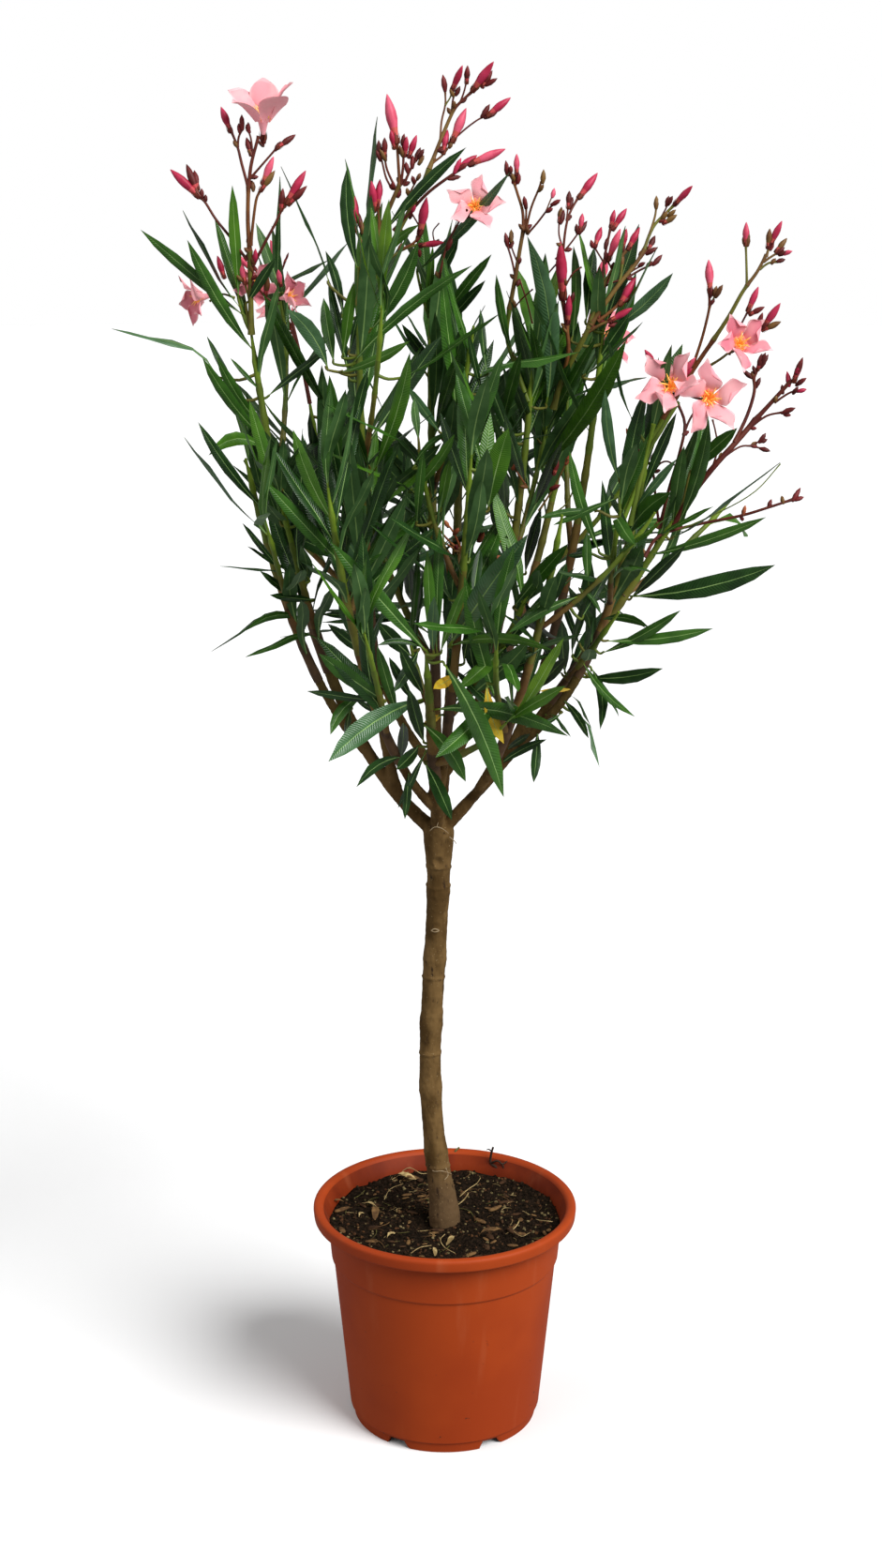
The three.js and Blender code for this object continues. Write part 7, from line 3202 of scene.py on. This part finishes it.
@dataclass
class Soil:
    """The potting soil with its crumbs, chips, straws and fallen leaves."""

    level: float = 0.1885
    radius: float = 0.1046
    bottom: float = 0.150
    bottom_radius: float = 0.0985
    rings: int = 52
    segments: int = 120
    relief: float = 0.0026
    hollow: tuple[float, float, float, float] = (-0.021, -0.010, 0.011, 0.007)
    crumbs: float = 60000.0
    chips: int = 90
    straws: int = 110
    fallen: int = 11
    roughness: tuple[tuple[float, float, float], ...] = ((1.0, 40, 0.3), (0.6, 110, 1.3), (0.35, 300, 2.3))
    crumb_sizes: tuple[float, float] = (0.0010, 0.0040)
    top_above: float = 0.175
    edge_from: float = 0.85
    edge_rise: float = 0.002
    crumb_forms: int = 5
    crumb_lumps: tuple[float, float] = (0.32, 0.30)
    crumb_weight: float = 2.2
    chip: tuple[tuple[float, float], ...] = (
        (-0.5, 0.10), (-0.36, 0.20), (0.0, 0.24), (0.33, 0.17), (0.5, 0.07),
    )
    chip_flat: float = 0.42
    straw: tuple[float, ...] = (0.020, 0.024, 0.022, 0.021, 0.020, 0.018, 0.015, 0.008)
    straw_waves: tuple[float, float] = (0.16, 0.05)
    reach: float = 0.94
    trunk_clear: float = 0.016
    tilt: float = 0.5
    litter_lift: float = 0.0012
    sorts: tuple[LitterSort, ...] = (
        LitterSort(0.005, 0.010, 2, 0, 2),
        LitterSort(0.006, 0.020, 3, 1, 3),
        LitterSort(0.012, 0.016, 1, 1, 2, slim=0.28, lift=0.0015),
    )

    def height(self, x: float, y: float) -> float:
        """Returns the height of the soil's top.

        Args:
            x: the place across.
            y: the place in depth.

        Returns:
            The height.
        """
        rough = 0.0
        for share, pitch, level in self.roughness:
            rough += share * noise.noise(Vector((x * pitch, y * pitch, level)))
        edge = max(0.0, math.hypot(x, y) / self.radius - self.edge_from) / 0.15
        hx, hy, size, depth = self.hollow
        hollow = depth * bump(math.hypot(x - hx, y - hy), size)
        return self.level + self.relief * rough + self.edge_rise * edge - hollow

    def ground(self) -> Shape:
        """Returns the block of soil with its uneven top.

        Returns:
            The block.
        """
        profile = [(0.0, self.bottom), (self.bottom_radius, self.bottom)]
        profile += [(self.radius * (1 - i / self.rings), self.level) for i in range(self.rings)]
        profile.append((0.0, self.level))
        shape = Shape()
        shape.add_lathe(profile, self.segments)
        for i, (x, y, z) in enumerate(shape.vertices):
            if z > self.bottom + 0.01:
                shape.vertices[i] = (x, y, self.height(x, y))
        return shape

    def crumb(self, roll: Dice) -> Shape:
        """Returns one crumb, a lump of 12 corners in half its size.

        Args:
            roll: the crumb's row of random numbers.

        Returns:
            The crumb.
        """
        shape = Shape()
        golden = (1 + 5**0.5) / 2
        corners = [(0, a, b * golden) for a in (-1, 1) for b in (-1, 1)]
        corners += [(a, b * golden, 0) for a in (-1, 1) for b in (-1, 1)]
        corners += [(b * golden, 0, a) for a in (-1, 1) for b in (-1, 1)]
        lump = [unit(np.array(c, float)) * roll.grown(*self.crumb_lumps) for c in corners]
        faces = hull_faces([unit(np.array(c, float)) for c in corners])
        shape.add(lump, faces)
        return shape

    def scatter(self, ground: Object, forms: Sequence[Shape], tints: Sequence[Material]) -> Object:
        """Scatters crumbs over the soil's top by Geometry Nodes.

        Args:
            ground: the block of soil.
            forms: the crumbs' forms.
            tints: their finishes.

        Returns:
            The crumbs as one piece.
        """
        inputs = {
            "Ground": ("NodeSocketGeometry", None),
            "Forms": ("NodeSocketCollection", None),
            "Density": ("NodeSocketFloat", 1000.0),
            "Least": ("NodeSocketFloat", 0.001),
            "Most": ("NodeSocketFloat", 0.004),
            "Seed": ("NodeSocketInt", 3),
        }
        finishes = {f"Tint {i}": ("NodeSocketMaterial", None) for i in range(len(tints))}
        tree = Tree("crumbs", "GeometryNodeTree", inputs | finishes, {"Piece": "NodeSocketGeometry"})
        given = tree.start.outputs
        position = tree.node("GeometryNodeInputPosition").outputs[0]
        height = tree.node("ShaderNodeSeparateXYZ", {0: position}).outputs[2]
        is_top = tree.node("FunctionNodeCompare", {0: height, 1: self.top_above}, operation="GREATER_THAN")
        points = tree.node(
            "GeometryNodeDistributePointsOnFaces",
            {
                "Mesh": given["Ground"],
                "Selection": is_top.outputs[0],
                "Density": given["Density"],
                "Seed": given["Seed"],
            },
        )
        forms_in = tree.node(
            "GeometryNodeCollectionInfo",
            {"Collection": given["Forms"], "Separate Children": True, "Reset Children": True},
        )
        sizes = {2: given["Least"], 3: given["Most"], 8: 5}
        size = tree.node("FunctionNodeRandomValue", sizes, data_type="FLOAT")
        form = tree.node("FunctionNodeRandomValue", {4: 0, 5: len(forms) - 1, 8: 6}, data_type="INT")
        turn = tree.node(
            "FunctionNodeRandomValue", {0: (0.0,) * 3, 1: (2 * math.pi,) * 3, 8: 7}, data_type="FLOAT_VECTOR"
        )
        rotation = tree.node("FunctionNodeEulerToRotation", {0: turn.outputs[0]})
        copies = tree.node(
            "GeometryNodeInstanceOnPoints",
            {
                "Points": points.outputs[0],
                "Instance": forms_in.outputs[0],
                "Pick Instance": True,
                "Instance Index": form.outputs[2],
                "Rotation": rotation.outputs[0],
                "Scale": size.outputs[1],
            },
        )
        tint = tree.node("FunctionNodeRandomValue", {2: 0.0, 3: 1.0, 8: 8}, data_type="FLOAT")
        weighted = add_math(tree.group, "POWER", tint.outputs[1], self.crumb_weight)
        whole = add_math(tree.group, "FLOOR", add_math(tree.group, "MULTIPLY", weighted, float(len(tints))))
        stored = tree.node(
            "GeometryNodeStoreNamedAttribute",
            {"Geometry": copies.outputs[0], "Name": "tint", "Value": whole},
            data_type="INT",
            domain="INSTANCE",
        )
        piece = tree.node("GeometryNodeRealizeInstances", {"Geometry": stored.outputs[0]}).outputs[0]
        tree.finished(piece, finishes)
        least, most = self.crumb_sizes
        values = {"Density": self.crumbs, "Least": least, "Most": most, "Seed": 3}
        values |= {f"Tint {i}": finish for i, finish in enumerate(tints)}
        crumbs = add_object("soil_crumbs", ground.data.copy())
        with kept_forms("crumb", forms, smooth=False) as store:
            return tree.run(crumbs, {"Forms": store} | values)

    def litter(self) -> Object:
        """Scatters bark chips, straws and fallen leaves over the soil and returns them as one piece.

        Returns:
            The piece.
        """
        roll = Dice(*LITTER_ROW)
        chip, straw = Shape(), Shape()
        turns = np.linspace(0, 2 * math.pi, 6)[:-1]
        rings = [
            [np.array([x, r * math.cos(a), r * self.chip_flat * math.sin(a)]) for a in turns]
            for x, r in self.chip
        ]
        chip.add_rings(rings)
        shares = np.linspace(0, 1, len(self.straw))
        wide, high = self.straw_waves
        points = [np.array([x - 0.5, wide * math.sin(3 * x), high * math.sin(3 * x + 0.5)]) for x in shares]
        straw.add_tube(points, self.straw, 5)
        fallen = LeafForm(0.12, 0.03, 50, 34, 0.2).shape()
        fallen.layers = [0] * len(fallen.layers)
        stands = []
        for number in range(self.chips + self.straws + self.fallen):
            away, turn = self.radius * self.reach * math.sqrt(roll()), 360 * roll()
            x, y, _ = way_at(turn) * away
            if math.hypot(x, y) < self.trunk_clear:
                continue
            heading = unit(way_at(360 * roll()) + UP * roll.jitter(self.tilt))
            side = unit(np.cross(UP, heading))
            ways = (heading, side, np.cross(heading, side))
            form = int(number >= self.chips) + int(number >= self.chips + self.straws)
            sort = self.sorts[form]
            foot = np.array([x, y, self.height(x, y) + self.litter_lift]) + UP * sort.lift
            size = sort.least + sort.more * roll() ** sort.power
            tint = sort.first_tint + roll.pick(sort.tints)
            stands.append(Stand(foot, ways, (size, size * sort.slim, size), form, tint))
        return Spray("soil_litter", [chip, straw, fallen], built(LITTER_TINTS)).grow(stands)

    def build(self) -> None:
        """Builds the soil in the place of its CAD node."""
        ground = self.ground().to_object("soil_ground", [SOIL_FINISH.material()])
        forms = [self.crumb(Dice(CRUMB_ROW, i)) for i in range(self.crumb_forms)]
        crumbs = self.scatter(ground, forms, built(CRUMB_TINTS))
        set_piece(ground, Slot.SOIL, ["potting_soil"])
        set_piece(crumbs, Slot.SOIL)
        set_piece(self.litter(), Slot.SOIL)


@dataclass(frozen=True)
class Thread:
    """A dead twig, a straw or a fibre: its tint, its radius and its course, in millimetres."""

    tint: int
    radius: float
    course: tuple[int, ...]


THREADS: tuple[Thread, ...] = (
    Thread(0, 1.5, (56, 101, 186, 50, 96, 197, 44, 99, 200, 44, 98, 209, 46, 96, 218)),
    Thread(0, 1.1, (44, 99, 200, 50, 94, 205, 55, 93, 202, 60, 94, 205)),
    Thread(0, 0.7, (45, 97, 213, 42, 98, 215, 40, 99, 214)),
    Thread(0, 0.7, (55, 93, 202, 57, 92, 196, 62, 92, 192)),
    Thread(3, 1.5, (11, 118, 186, 10, 113, 198, 10, 112, 206, 14, 111, 211)),
    Thread(1, 0.3, (-50, 82, 191, -41, 88, 193, -32, 82, 191)),
    Thread(1, 0.4, (-41, 98, 192, -33, 98, 196, -23, 94, 192, -17, 96, 191)),
    Thread(1, 0.4, (14, 45, 191, 22, 57, 193, 30, 67, 194, 34, 84, 192)),
    Thread(1, 0.3, (-56, 39, 191, -51, 55, 194, -39, 71, 192)),
    Thread(1, 0.4, (0, -33, 191, -4, -52, 195, 0, -61, 192, 9, -70, 191)),
    Thread(1, 0.5, (-30, -70, 191, -22, -69, 196, -12, -57, 192)),
    Thread(1, 0.3, (61, -25, 191, 69, -43, 194, 77, -29, 191)),
    Thread(2, 0.45, (-13, -15, 566, -9, -17, 570, -3, -17, 569, 3, -12, 563)),
    Thread(2, 0.4, (-7, -17, 570, -5, -15, 577)),
    Thread(2, 0.5, (4, -14, 560, 8, -12, 556, 10, -8, 552)),
    Thread(2, 0.45, (-13, -5, 242, -9, -12, 243, -3, -13, 244, 3, -10, 241, 6, -4, 237)),
    Thread(2, 0.4, (1, -11, 246, 3, -11, 239, 0, -12, 235)),
    Thread(2, 0.45, (-12, -11, 473, -9, -12, 475, -5, -11, 473, -9, -12, 472, -12, -11, 473)),
)


@dataclass
class Threads:
    """The straws and dead twigs on the soil and the loose fibres of the bark."""

    taper: float = 0.65
    sides: int = 6

    def build(self) -> None:
        """Builds them all as one piece."""
        paths = []
        for thread in THREADS:
            corners = np.array(thread.course, float).reshape(-1, 3) / 1000
            points = smoothed(list(corners), 3)
            radii = thread.radius / 1000 * np.linspace(1, self.taper, len(points))
            paths.append(Path(points, radii, [thread.tint] * len(points)))
        piece = StemWork("threads", built(THREAD_TINTS), self.sides).grow(paths)
        set_piece(piece, Slot.SOIL)


def hull_faces(corners: Sequence[Point], longest: float = 1.1) -> list[tuple[int, int, int]]:
    """Returns the outward triangles of a round body with 12 corners.

    Args:
        corners: the corners.
        longest: what no side of a triangle passes.

    Returns:
        The triangles, by the numbers of the corners.
    """
    faces = []
    count = len(corners)
    for i in range(count):
        for j in range(i + 1, count):
            for k in range(j + 1, count):
                a, b, c = corners[i], corners[j], corners[k]
                sides = [np.linalg.norm(a - b), np.linalg.norm(b - c), np.linalg.norm(c - a)]
                if max(sides) < longest:
                    outward = np.cross(b - a, c - a) @ (a + b + c) > 0
                    faces.append((i, j, k) if outward else (i, k, j))
    return faces


@dataclass
class Studio:
    """The pale round floor, the soft lights and the camera."""

    floor_radius: float = 10.0
    floor_thick: float = 0.05
    floor_sides: int = 128
    camera_pitch: float = 16.1
    lens: float = 57.8
    sensor: float = 36.0
    sky: float = 0.27
    sky_seen: float = 1.0
    key_strength: float = 4.1
    key_softness: float = 38.0
    key_from: tuple[float, float, float] = (0.85, -0.75, 1.0)
    fill_strength: float = 0.8
    fill_softness: float = 80.0
    fill_from: tuple[float, float, float] = (-1.0, -0.25, 0.8)

    def build(self) -> None:
        """Builds the floor, the lights and the camera."""
        shape = Shape()
        rim, low = self.floor_radius, -self.floor_thick
        shape.add_lathe([(0.0, low), (rim, low), (rim, 0.0), (0.0, 0.0)], self.floor_sides)
        shape.to_object("floor", [FLOOR_FINISH.material()], smooth=False)
        self.sun("key", self.key_from, self.key_strength, self.key_softness)
        self.sun("fill", self.fill_from, self.fill_strength, self.fill_softness)
        self.surroundings()
        bpy.context.scene.view_settings.view_transform = "Standard"
        self.camera()

    def surroundings(self) -> None:
        """Adds the white surroundings, which light the plant less than they show."""
        world = bpy.data.worlds.new("studio")
        world.use_nodes = True
        tree = world.node_tree
        light = tree.nodes["Background"]
        light.inputs[1].default_value = self.sky
        light.inputs[0].default_value = (1.0, 1.0, 1.0, 1.0)
        seen = add_node(tree, "ShaderNodeBackground", {0: (1.0, 1.0, 1.0, 1.0), 1: self.sky_seen})
        path = add_node(tree, "ShaderNodeLightPath").outputs["Is Camera Ray"]
        mixed = add_node(tree, "ShaderNodeMixShader", {0: path, 1: light.outputs[0], 2: seen.outputs[0]})
        tree.links.new(mixed.outputs[0], tree.nodes["World Output"].inputs[0])
        bpy.context.scene.world = world

    def sun(self, name: str, place: tuple[float, float, float], strength: float, softness: float) -> None:
        """Adds one even soft light from a direction.

        Args:
            name: the light's name.
            place: where it shines from.
            strength: its strength.
            softness: its width in degrees.
        """
        data = bpy.data.lights.new(name, "SUN")
        data.energy, data.angle = strength, math.radians(softness)
        made = add_object(name, data)
        made.rotation_euler = (-Vector(place)).to_track_quat("-Z", "Y").to_euler()

    def camera(self) -> None:
        """Adds the camera at the photograph's viewing angle."""
        data = bpy.data.cameras.new("camera")
        data.lens, data.sensor_width = self.lens, self.sensor
        data.clip_end = 100.0
        made = add_object("camera", data)
        made.location = tuple(EYE)
        made.rotation_euler = (math.radians(90 - self.camera_pitch), 0.0, 0.0)
        bpy.context.scene.camera = made


def main() -> None:
    """Builds the whole plant in its pot, in order."""
    logging.basicConfig(level=logging.INFO, format="%(name)s: %(message)s")
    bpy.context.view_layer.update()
    limbs = Limbs()
    boughs = limbs.grow()
    Pot().build()
    Soil().build()
    Threads().build()
    Wood(limbs).build(boughs)
    twigs = Leaves().build(boughs) + Blossom().build(boughs)
    Stems().build(boughs, limbs, twigs)
    Studio().build()


if __name__ == "__main__":
    main()
